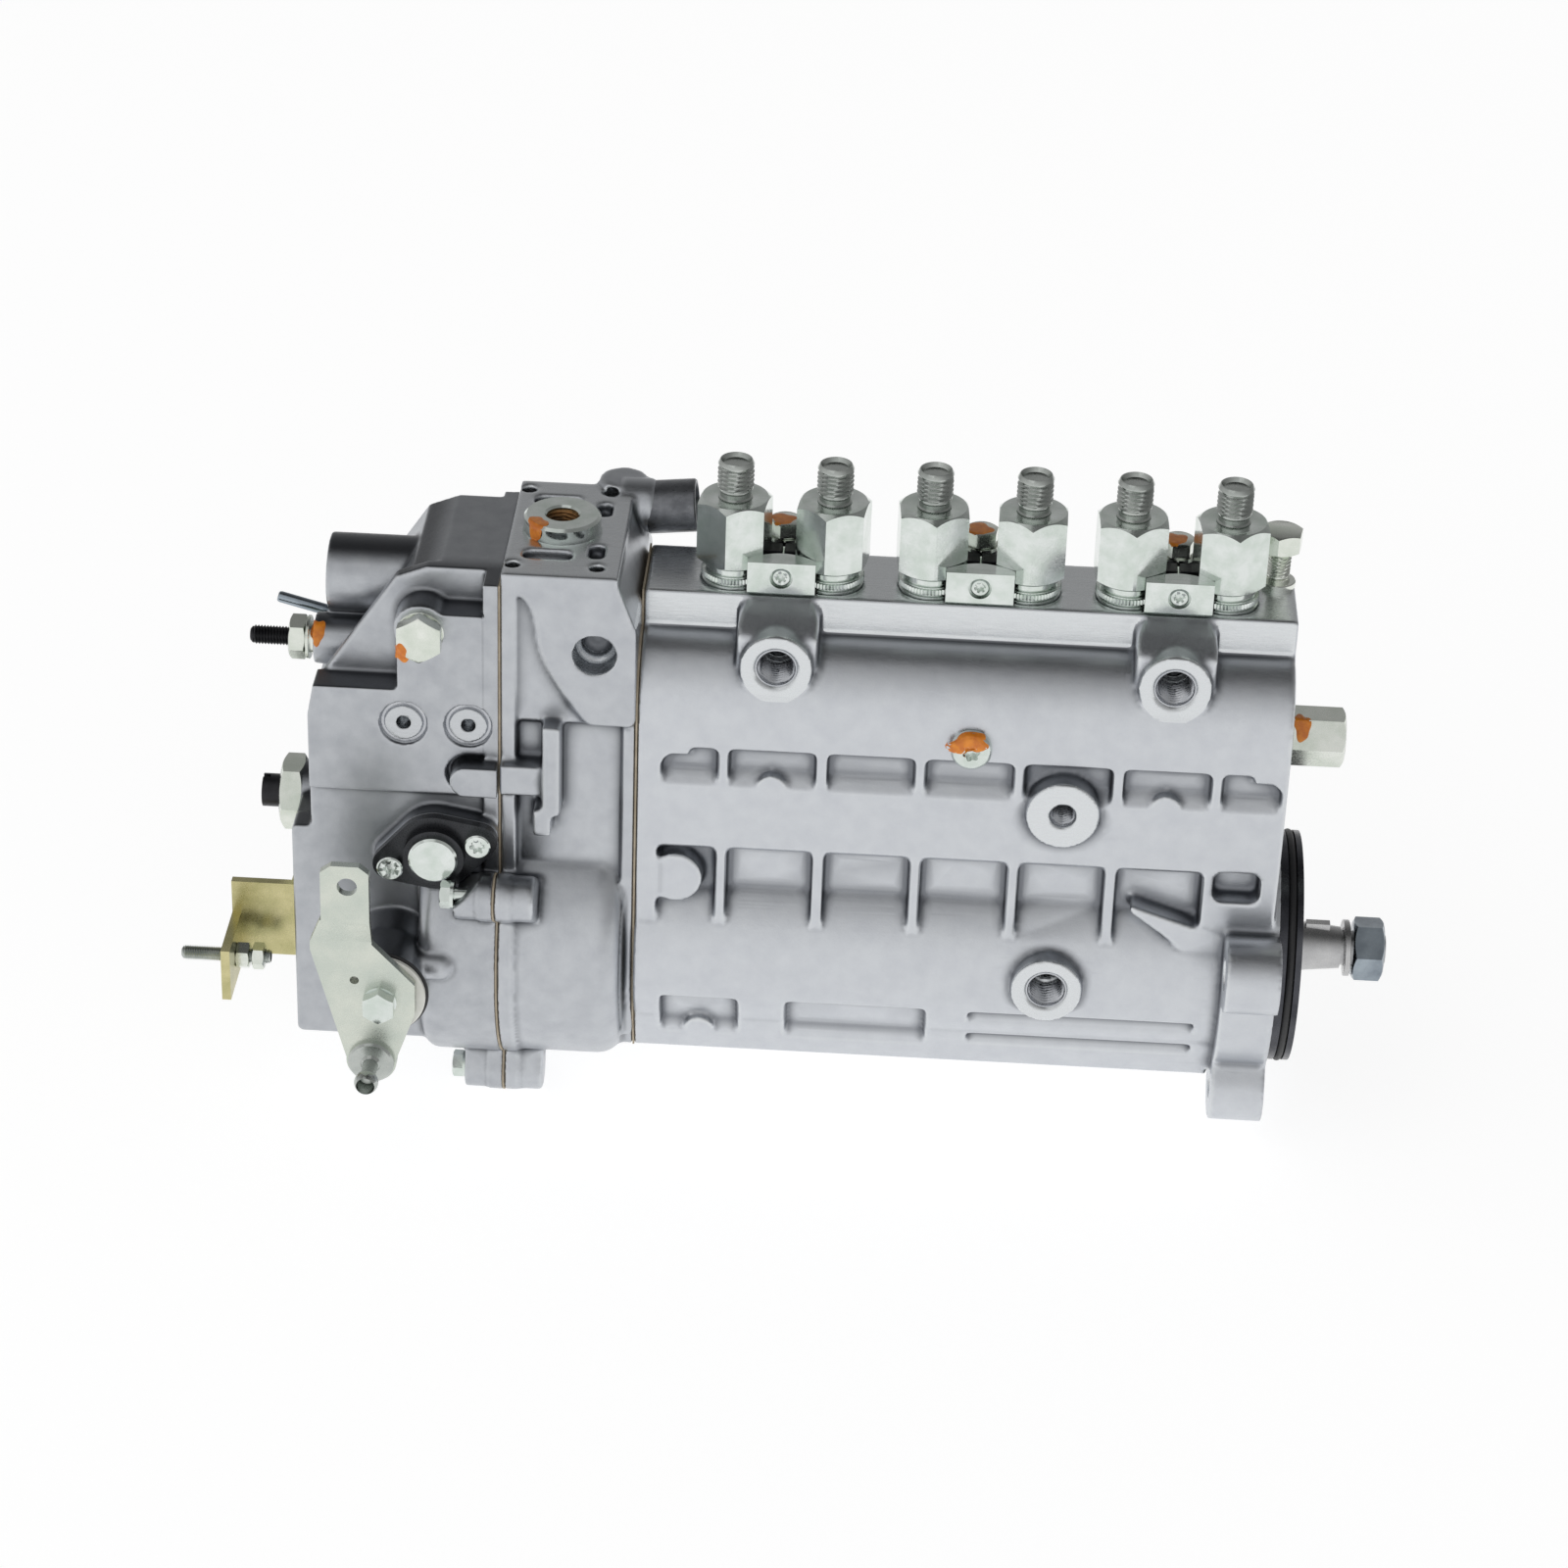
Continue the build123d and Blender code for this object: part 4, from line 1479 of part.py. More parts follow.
def idle_stop_screw():
    """Slotted black screw in the lug on the end of the cover."""
    left = IDLE_LUG_X
    screw = rod_x(IDLE_SCREW_R, left, COVER_LEFT_X, IDLE_Y, IDLE_Z)
    screw += rod_x(IDLE_SCREW_R + 2.5, left - 7, left, IDLE_Y, IDLE_Z)
    return screw - block(left - 9, left - 4.5, IDLE_Y - 0.9, IDLE_Y + 0.9, IDLE_Z - 10, IDLE_Z + 10)


def cable_bracket():
    """Bent sheet bracket on the end of the cover, with the tab for the cable stop."""
    wall = COVER_LOW_LEFT_X
    arm = block(wall - 3, wall, -14, 6, -10, IDLE_Z - IDLE_LUG_R - GAP)
    plate = block(wall - 23, wall, -21, -18, -12, 16)
    tab = block(wall - 23, wall - 20, -46, -18, -15, 4)
    root = block(wall - 3, wall, -21, -13, -10, 16)
    bracket = arm + plate + tab + root
    bracket -= rod_x(2.6, wall - 30, wall - 10, BRACKET_SCREW_Y, BRACKET_SCREW_Z)
    return bracket


def bracket_screw():
    """Cable stop screw in the bracket's tab with two nuts."""
    y, z = BRACKET_SCREW_Y, BRACKET_SCREW_Z
    wall = COVER_LOW_LEFT_X
    stud = rod_x(2.5, wall - 38.5, wall - 8.5, y, z)
    bore = rod_x(2.5, wall - 40, wall, y, z)
    places = ((wall - 20, wall - 15.5, 10), (wall - 14.5, wall - 10.5, 25))
    nuts = [hex_x(8.0, left, right, y, z, turn) for left, right, turn in places]
    return group(stud, *[nut - bore for nut in nuts])


# ------------------------------------------------------------------------------ export
def all_parts():
    """Every sub-part by name."""
    parts = {
        "pump_housing": pump_housing(),
        "inspection_cover": inspection_cover(),
        "bearing_end_plate": bearing_end_plate(),
        "oil_seals": oil_seals(),
        "bearing_outer_races": bearing_outer_races(),
        "bearing_inner_races": bearing_inner_races(),
        "camshaft": camshaft(),
        "lock_washer": lock_washer(),
        "shaft_nut": shaft_nut(),
        "plunger_barrels": plunger_barrels(),
        "upper_spring_seats": upper_spring_seats(),
        "plunger_springs": plunger_springs(),
        "control_rack": control_rack(),
        "delivery_valves": delivery_valves(),
        "delivery_valve_holders": delivery_valve_holders(),
        "clamp_jaws": clamp_jaws(),
        "socket_screws": socket_screws(),
        "screw_plugs": screw_plugs(),
        "rack_cap": rack_cap(),
        "rack_guide_screw": rack_guide_screw(),
        "governor_gaskets": governor_gaskets(),
        "governor_housing": governor_housing(),
        "top_ring_insert": top_ring_insert(),
        "governor_cover": governor_cover(),
        "joint_bolts": joint_bolts(),
        "stop_plate": stop_plate(),
        "stop_plate_plug": stop_plate_plug(),
        "lever_spacer": lever_spacer(),
        "control_lever": control_lever(),
        "lever_fittings": lever_fittings(),
        "lever_shaft": lever_shaft(),
        "governor_spring": governor_spring(),
        "flyweight_carrier": flyweight_carrier(),
        "flyweight_1": flyweight(1),
        "flyweight_2": flyweight(-1),
        "governor_sleeve": governor_sleeve(),
        "guide_lever": guide_lever(),
        "floating_lever": floating_lever(),
        "full_load_stop_screw": full_load_stop_screw(),
        "idle_stop_screw": idle_stop_screw(),
        "cable_bracket": cable_bracket(),
        "bracket_screw": bracket_screw(),
    }
    for element in range(1, ELEMENTS + 1):
        parts[f"tappet_{element}"] = tappet(element)
        parts[f"plunger_{element}"] = plunger(element)
        parts[f"control_sleeve_{element}"] = control_sleeve(element)
    return parts


os.makedirs("parts", exist_ok=True)
for name, shape in all_parts().items():
    export_step(shape, f"parts/{name}.step")
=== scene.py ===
import json
import logging
import math
from dataclasses import dataclass
from enum import Enum
from typing import Callable, Optional, Sequence, Union

import bmesh
import bpy
import numpy as np
from mathutils import Matrix, Vector
from mathutils.bvhtree import BVHTree
from mathutils.geometry import tessellate_polygon

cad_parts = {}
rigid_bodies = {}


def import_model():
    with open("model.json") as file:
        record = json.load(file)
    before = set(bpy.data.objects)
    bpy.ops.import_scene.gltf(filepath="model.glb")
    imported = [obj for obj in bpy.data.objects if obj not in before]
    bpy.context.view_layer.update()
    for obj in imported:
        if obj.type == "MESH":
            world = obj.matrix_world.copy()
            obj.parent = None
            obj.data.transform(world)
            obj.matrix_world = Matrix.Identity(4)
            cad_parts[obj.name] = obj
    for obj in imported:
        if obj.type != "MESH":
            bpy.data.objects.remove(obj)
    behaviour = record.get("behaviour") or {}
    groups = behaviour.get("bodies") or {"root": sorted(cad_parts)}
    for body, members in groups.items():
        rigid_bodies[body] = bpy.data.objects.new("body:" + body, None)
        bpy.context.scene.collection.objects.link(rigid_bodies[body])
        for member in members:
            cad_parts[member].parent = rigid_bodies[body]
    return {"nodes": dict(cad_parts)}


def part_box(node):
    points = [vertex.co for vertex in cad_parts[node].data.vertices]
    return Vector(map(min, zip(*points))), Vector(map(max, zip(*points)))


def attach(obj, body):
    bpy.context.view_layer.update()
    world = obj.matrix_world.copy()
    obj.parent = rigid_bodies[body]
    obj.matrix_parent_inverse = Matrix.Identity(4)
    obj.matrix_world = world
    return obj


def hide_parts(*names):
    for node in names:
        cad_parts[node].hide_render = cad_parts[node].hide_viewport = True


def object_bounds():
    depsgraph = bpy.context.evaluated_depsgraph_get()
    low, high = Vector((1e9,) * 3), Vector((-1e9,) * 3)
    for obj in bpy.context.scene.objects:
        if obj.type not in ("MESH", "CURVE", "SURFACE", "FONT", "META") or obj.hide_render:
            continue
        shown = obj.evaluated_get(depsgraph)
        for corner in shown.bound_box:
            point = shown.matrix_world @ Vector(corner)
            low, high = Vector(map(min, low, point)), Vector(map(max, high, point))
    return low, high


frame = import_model()
CAD_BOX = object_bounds()

LOG = logging.getLogger("injection_pump")
MM = 0.001
FACE_ON = ((1, 0, 0, 0), (0, 0, -1, 0), (0, 1, 0, 0), (0, 0, 0, 1))
TURN = 2.0 * math.pi

Colour = tuple[float, float, float]
Point = tuple[float, float, float]
Profile = Union[float, Callable[[np.ndarray], np.ndarray]]


def tone(red: int, green: int, blue: int) -> Colour:
    """Linear colour of a screen colour.

    Args:
        red: Red from 0 to 255.
        green: Green from 0 to 255.
        blue: Blue from 0 to 255.

    Returns:
        The three linear channels.
    """
    def channel(value: int) -> float:
        """One linear channel."""
        share = value / 255.0
        return share / 12.92 if share <= 0.04045 else ((share + 0.055) / 1.055) ** 2.4
    return channel(red), channel(green), channel(blue)


# ------------------------------------------------------------------------- finishes
class Graph:
    """A node material under construction."""

    def __init__(self, name: str) -> None:
        """Starts a material with its Principled shader.

        Args:
            name: Name of the material.
        """
        self.material = bpy.data.materials.new(name)
        self.material.use_nodes = True
        self.tree = self.material.node_tree
        self.shader = self.tree.nodes["Principled BSDF"]
        self.place = self.add("ShaderNodeTexCoord").outputs["Object"]

    def add(self, kind: str, inputs: Optional[dict] = None, **settings: object) -> bpy.types.Node:
        """Adds a node.

        Args:
            kind: Type of the node.
            inputs: Value or source socket of each named input.
            settings: Properties of the node.

        Returns:
            The node.
        """
        node = self.tree.nodes.new(kind)
        for key, value in settings.items():
            setattr(node, key, value)
        for key, value in (inputs or {}).items():
            if isinstance(value, bpy.types.NodeSocket):
                self.tree.links.new(value, node.inputs[key])
            else:
                node.inputs[key].default_value = value
        return node

    def noise(self, size_mm: float, detail: float = 3.0, stretch: Point = (1.0, 1.0, 1.0),
              roughness: float = 0.55) -> bpy.types.NodeSocket:
        """Noise over the surface.

        Args:
            size_mm: Size of its patches in millimetres.
            detail: Number of finer layers.
            stretch: How many times finer it is along each axis.
            roughness: Weight of the finer layers.

        Returns:
            Its value from 0 to 1.
        """
        scaled = self.add("ShaderNodeVectorMath", {0: self.place, 1: stretch}, operation="MULTIPLY")
        sockets = {"Vector": scaled.outputs[0], "Scale": 1.0 / (size_mm * MM)}
        sockets.update({"Detail": detail, "Roughness": roughness})
        return self.add("ShaderNodeTexNoise", sockets).outputs[0]

    def spread(self, value: bpy.types.NodeSocket, low: float, high: float,
               to_low: float = 0.0, to_high: float = 1.0) -> bpy.types.NodeSocket:
        """Stretches a value from one range to another, clamped.

        Args:
            value: The value.
            low: Start of its range.
            high: End of its range.
            to_low: What the start becomes.
            to_high: What the end becomes.

        Returns:
            The new value.
        """
        sockets = {"Value": value, "From Min": low, "From Max": high, "To Min": to_low, "To Max": to_high}
        return self.add("ShaderNodeMapRange", sockets).outputs[0]

    def mix(self, share: bpy.types.NodeSocket, first: object, second: object,
            blend: str = "MIX") -> bpy.types.NodeSocket:
        """Mixes two colours.

        Args:
            share: How much of the second shows.
            first: Colour or socket.
            second: Colour or socket.
            blend: How the two are laid over each other.

        Returns:
            The mixed colour.
        """
        node = self.add("ShaderNodeMix", data_type="RGBA", blend_type=blend)
        self.tree.links.new(share, node.inputs[0])
        for index, colour in ((6, first), (7, second)):
            if isinstance(colour, bpy.types.NodeSocket):
                self.tree.links.new(colour, node.inputs[index])
            else:
                node.inputs[index].default_value = (*colour, 1.0)
        return node.outputs[2]

    def blend(self, share: bpy.types.NodeSocket, first: object, second: object) -> bpy.types.NodeSocket:
        """Mixes two numbers.

        Args:
            share: How much of the second shows.
            first: Number or socket.
            second: Number or socket.

        Returns:
            The mixed number.
        """
        node = self.add("ShaderNodeMix", data_type="FLOAT")
        self.tree.links.new(share, node.inputs[0])
        for index, number in ((2, first), (3, second)):
            if isinstance(number, bpy.types.NodeSocket):
                self.tree.links.new(number, node.inputs[index])
            else:
                node.inputs[index].default_value = number
        return node.outputs[0]

    def bump(self, height: bpy.types.NodeSocket, depth_mm: float, share: float = 1.0,
             below: Optional[bpy.types.NodeSocket] = None) -> bpy.types.NodeSocket:
        """Turns a height into a normal.

        Args:
            height: The height, from 0 to 1.
            depth_mm: Its depth in millimetres.
            share: How strongly it shows.
            below: Normal that it lies on, if any.

        Returns:
            The normal.
        """
        sockets = {"Height": height, "Strength": share, "Distance": depth_mm * MM}
        if below is not None:
            sockets["Normal"] = below
        return self.add("ShaderNodeBump", sockets).outputs[0]

    def wire(self, **sockets: object) -> None:
        """Sets or links inputs of the shader.

        Args:
            sockets: Value or source of each input, with underscores for spaces in its name.
        """
        for key, value in sockets.items():
            target = self.shader.inputs[key.replace("_", " ")]
            if isinstance(value, bpy.types.NodeSocket):
                self.tree.links.new(value, target)
            else:
                target.default_value = value


@dataclass(frozen=True)
class Finish:
    """A metal, plastic or paint surface with its own grain and colour drift."""

    name: str
    colour: Colour
    drift: Colour
    slot: Optional[str] = None
    metallic: float = 1.0
    roughness: float = 0.3
    unevenness: float = 0.08
    patch_mm: float = 9.0
    grain_mm: float = 0.5
    grain_depth_mm: float = 0.006
    stretch: Point = (1.0, 1.0, 1.0)
    coat: float = 0.0

    def material(self) -> bpy.types.Material:
        """Makes the finish's material on first use.

        Returns:
            The material.
        """
        if self.name in bpy.data.materials:
            return bpy.data.materials[self.name]
        graph = Graph(self.name)
        patches = graph.spread(graph.noise(self.patch_mm, 4.0), 0.35, 0.65)
        grain = graph.noise(self.grain_mm, 2.0, self.stretch)
        graph.wire(Base_Color=graph.mix(patches, self.colour, self.drift), Metallic=self.metallic)
        smooth, coarse = self.roughness - self.unevenness, self.roughness + self.unevenness
        rough = graph.spread(grain, 0.3, 0.7, smooth, coarse)
        graph.wire(Roughness=rough, Normal=graph.bump(grain, self.grain_depth_mm))
        if self.coat:
            graph.wire(Coat_Weight=self.coat, Coat_Roughness=0.15)
        return graph.material


@dataclass(frozen=True)
class CastFinish:
    """Die-cast aluminium whose machined faces are brighter and smoother, with painted shade in its hollows
    and on upward faces and painted highlights on its edges.
    """

    name: str
    colour: Colour = tone(204, 207, 211)
    drift: Colour = tone(197, 200, 205)
    # Colour of the painted shade laid into creases, broad recesses and upward faces.
    painted_shade: Colour = tone(92, 95, 101)
    machined: Colour = tone(214, 217, 219)
    slot: str = "cast_aluminium"
    roughness: float = 0.35
    machined_roughness: float = 0.27
    patch_mm: float = 7.0
    grain_mm: float = 0.5
    grain_depth_mm: float = 0.03
    ripple_mm: float = 2.2
    ripple_depth_mm: float = 0.03
    # Strength of the painted shade on upward faces.
    up_face_shade: float = 0.12

    def material(self) -> bpy.types.Material:
        """Makes the casting's material on first use.

        Returns:
            The material.
        """
        if self.name in bpy.data.materials:
            return bpy.data.materials[self.name]
        graph = Graph(self.name)
        machined, curve, broad, upward = (
            graph.add("ShaderNodeAttribute", attribute_name=title).outputs["Fac"]
            for title in ("machined", "curve", "broad", "upward"))
        cut = graph.spread(machined, 0.45, 0.55)
        patches = graph.spread(graph.noise(self.patch_mm, 5.0), 0.35, 0.7)
        skin = graph.mix(patches, self.colour, self.drift)
        # Painted shade in broad recesses.
        skin = graph.mix(graph.spread(broad, 0.54, 0.85, 0.0, 0.75), skin, self.painted_shade)
        # Painted shade in creases and inner corners.
        skin = graph.mix(graph.spread(curve, 0.5, 0.1, 0.0, 0.7), skin, self.painted_shade)
        # Painted highlight on convex edges, in the machined colour.
        skin = graph.mix(graph.spread(curve, 0.55, 0.85, 0.0, 0.9), skin, self.machined)
        # Painted shade on upward faces, standing in for the dark reflection from above.
        skin = graph.mix(graph.spread(upward, 0.0, 1.0, 0.0, self.up_face_shade), skin, self.painted_shade)
        graph.wire(Base_Color=graph.mix(cut, skin, self.machined), Metallic=1.0)
        grain = graph.noise(self.grain_mm, 3.0)
        lines = graph.noise(0.35, 1.0, (0.05, 1.0, 1.0))
        cast_rough = graph.spread(grain, 0.3, 0.7, self.roughness - 0.07, self.roughness + 0.1)
        smooth, coarse = self.machined_roughness - 0.05, self.machined_roughness + 0.07
        cut_rough = graph.spread(lines, 0.3, 0.7, smooth, coarse)
        graph.wire(Roughness=graph.blend(cut, cast_rough, cut_rough))
        ripple = graph.bump(graph.noise(self.ripple_mm, 2.0), self.ripple_depth_mm)
        height = graph.blend(cut, grain, graph.spread(lines, 0.0, 1.0, 0.4, 0.6))
        graph.wire(Normal=graph.bump(height, self.grain_depth_mm, 1.0, ripple))
        return graph.material


CAST = CastFinish("cast aluminium")
# Darker copies of the cast finish, with the same roughness and a stronger painted shade on upward faces.
DARKER_CAST = CastFinish("darker cast aluminium", tone(192, 195, 199), tone(181, 184, 189), tone(74, 77, 82),
                        tone(202, 205, 208), up_face_shade=0.5)
DARKEST_CAST = CastFinish("darkest cast aluminium", tone(186, 189, 193), tone(172, 175, 180), tone(60, 62, 66),
                       tone(196, 199, 202), up_face_shade=0.85)
ZINC = Finish("zinc plate", tone(226, 229, 222), tone(206, 213, 202), "zinc_plate", roughness=0.2)
BRIGHT_ZINC = Finish("bright zinc plate", tone(222, 227, 224), tone(204, 213, 206), "zinc_plate",
                     roughness=0.17, patch_mm=6.0)
STUD_ZINC = Finish("grey zinc plate", tone(190, 194, 190), tone(170, 175, 171), "zinc_plate", roughness=0.22)
BLUED = Finish("blued steel plate", tone(84, 85, 90), tone(66, 67, 72), "machined_steel", roughness=0.3)
DARK_STEEL = Finish("blue-grey steel", tone(158, 168, 176), tone(128, 137, 146), "machined_steel",
                    roughness=0.19)
BORED = Finish("bored aluminium", tone(196, 198, 202), tone(178, 181, 186), "cast_aluminium", roughness=0.3)
CREAM_ZINC = Finish("cream zinc", tone(210, 214, 204), tone(196, 203, 194), "zinc_plate", roughness=0.3,
                    unevenness=0.06, patch_mm=12.0)
YELLOW_ZINC = Finish("yellow zinc", tone(204, 196, 150), tone(182, 177, 130), "yellow_zinc", roughness=0.3,
                     patch_mm=7.0)
BLACK_STEEL = Finish("black steel", tone(52, 52, 55), tone(40, 40, 43), "black_steel", metallic=0.7,
                     roughness=0.36)
BLACK_SATIN = Finish("black passivated plate", tone(58, 60, 63), tone(44, 45, 48), "black_steel",
                     metallic=0.6, roughness=0.3)
RUBBER = Finish("black rubber", tone(36, 36, 38), tone(28, 28, 30), "black_rubber", metallic=0.0,
                roughness=0.5, grain_depth_mm=0.015)
NYLON = Finish("white nylon", tone(232, 232, 226), tone(222, 222, 214), "white_nylon", metallic=0.0,
               roughness=0.4)
PAPER = Finish("gasket paper", tone(178, 166, 146), tone(156, 144, 124), "gasket_paper", metallic=0.0,
               roughness=0.85, patch_mm=5.0, grain_depth_mm=0.03)
TURNED = Finish("turned steel", tone(196, 196, 196), tone(176, 176, 177), "machined_steel", roughness=0.26,
                stretch=(6.0, 0.6, 0.6))
HARD = Finish("hardened steel", tone(182, 183, 186), tone(160, 161, 166), "hardened_steel", roughness=0.2)
SPRING = Finish("spring steel", tone(120, 120, 124), tone(96, 96, 100), "spring_steel", roughness=0.32)
SLEEVE = Finish("dull steel tube", tone(128, 130, 134), tone(104, 106, 110), metallic=0.9, roughness=0.34,
                stretch=(0.3, 1.0, 1.0), patch_mm=5.0)
STAINED = Finish("oil-stained bore", tone(150, 108, 62), tone(96, 74, 50), metallic=0.6, roughness=0.4,
                 patch_mm=3.0)
PAINT = Finish("orange paint", tone(232, 140, 22), tone(205, 110, 12), metallic=0.0, roughness=0.38,
               patch_mm=2.5, grain_mm=0.8, grain_depth_mm=0.05, coat=0.3)

NODE_FINISH = {
    "camshaft": TURNED, "bearing_end_plate": BLUED, "oil_seals": RUBBER, "bearing_outer_races": HARD,
    "bearing_inner_races": HARD, "lock_washer": ZINC, "shaft_nut": ZINC, "plunger_barrels": HARD,
    "upper_spring_seats": HARD, "plunger_springs": SPRING, "control_rack": TURNED,
    "delivery_valves": HARD, "delivery_valve_holders": ZINC, "clamp_jaws": ZINC, "socket_screws": ZINC,
    "screw_plugs": ZINC, "rack_cap": ZINC, "rack_guide_screw": ZINC, "governor_gaskets": PAPER,
    "top_ring_insert": ZINC, "joint_bolts": ZINC, "stop_plate": BLACK_SATIN, "stop_plate_plug": ZINC,
    "lever_spacer": NYLON, "control_lever": CREAM_ZINC, "lever_fittings": ZINC, "lever_shaft": TURNED,
    "governor_spring": SPRING, "flyweight_carrier": TURNED, "flyweight_1": TURNED, "flyweight_2": TURNED,
    "governor_sleeve": TURNED, "guide_lever": ZINC, "floating_lever": ZINC,
    "full_load_stop_screw": BLACK_STEEL, "idle_stop_screw": BLACK_STEEL, "cable_bracket": YELLOW_ZINC,
    "bracket_screw": ZINC, "inspection_cover": CREAM_ZINC,
}


# ---------------------------------------------------------------------------- places
@dataclass(frozen=True)
class Extent:
    """Box of a CAD node in millimetres."""

    low: Vector
    high: Vector

    @classmethod
    def of(cls, node: str) -> "Extent":
        """Returns the box of a CAD node."""
        low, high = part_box(node)
        return cls(low / MM, high / MM)


class Axis(Enum):
    """Direction that a turned piece's own axis takes."""

    RIGHT = "right"
    LEFT = "left"
    BACK = "back"
    FRONT = "front"
    UP = "up"
    DOWN = "down"

    def frame(self) -> Matrix:
        """Works out how a piece is laid along this direction.

        Returns:
            Rotation that takes +Z to the direction and keeps the piece upright.
        """
        turns = {
            Axis.RIGHT: Matrix(((0, 0, 1), (0, 1, 0), (-1, 0, 0))),
            Axis.LEFT: Matrix(((0, 0, -1), (0, 1, 0), (1, 0, 0))),
            Axis.BACK: Matrix(((1, 0, 0), (0, 0, 1), (0, -1, 0))),
            Axis.FRONT: Matrix(((1, 0, 0), (0, 0, -1), (0, 1, 0))),
            Axis.UP: Matrix(((1, 0, 0), (0, 1, 0), (0, 0, 1))),
            Axis.DOWN: Matrix(((1, 0, 0), (0, -1, 0), (0, 0, -1))),
        }
        return turns[self]


def placed(axis: Axis, origin: Sequence[float], turn: float = 0.0) -> Matrix:
    """Frame of a turned piece.

    Args:
        axis: Where its own Z axis points.
        origin: Its foot, in millimetres.
        turn: Its turn about its axis, in degrees.

    Returns:
        The frame.
    """
    spin = Matrix.Rotation(math.radians(turn), 4, "Z")
    return Matrix.Translation(Vector(origin)) @ axis.frame().to_4x4() @ spin


# ------------------------------------------------------------------------- profiles
def hexagon(flats: float) -> Profile:
    """Outline of a hexagon with a corner at angle 0.

    Args:
        flats: Width across flats.

    Returns:
        Its radius at each angle.
    """
    def radius(angle: np.ndarray) -> np.ndarray:
        """Distance from the axis."""
        return flats / 2 / np.cos((angle % (TURN / 6)) - TURN / 12)
    return radius


def lobed(mean: float, depth: float, lobes: int) -> Profile:
    """Outline with rounded lobes.

    Args:
        mean: Mean radius.
        depth: How far the lobes stand out from it.
        lobes: Number of lobes.

    Returns:
        Its radius at each angle.
    """
    def radius(angle: np.ndarray) -> np.ndarray:
        """Distance from the axis."""
        return mean + depth * np.cos(lobes * angle)
    return radius


def splined(outer: float, depth: float, teeth: int) -> Profile:
    """Outline with fine pointed teeth.

    Args:
        outer: Radius over the teeth.
        depth: Depth of the teeth.
        teeth: Number of teeth.

    Returns:
        Its radius at each angle.
    """
    def radius(angle: np.ndarray) -> np.ndarray:
        """Distance from the axis."""
        share = (angle * teeth / TURN) % 1.0
        return outer - depth * np.abs(2 * share - 1)
    return radius


def sloped(outline: Profile, start: float, top: float, steep: float) -> Profile:
    """Height along a chamfer cone.

    Args:
        outline: Outline that the chamfer cuts.
        start: Radius at which the cone starts.
        top: Height at which it starts.
        steep: Fall over each millimetre outwards.

    Returns:
        The height at each angle.
    """
    def height(angle: np.ndarray) -> np.ndarray:
        """Height above the foot."""
        return top - (outline(angle) - start) * steep
    return height


def values(profile: Profile, angle: np.ndarray) -> np.ndarray:
    """A profile's value at each angle, for a number or a function."""
    return profile(angle) if callable(profile) else np.full(len(angle), float(profile))


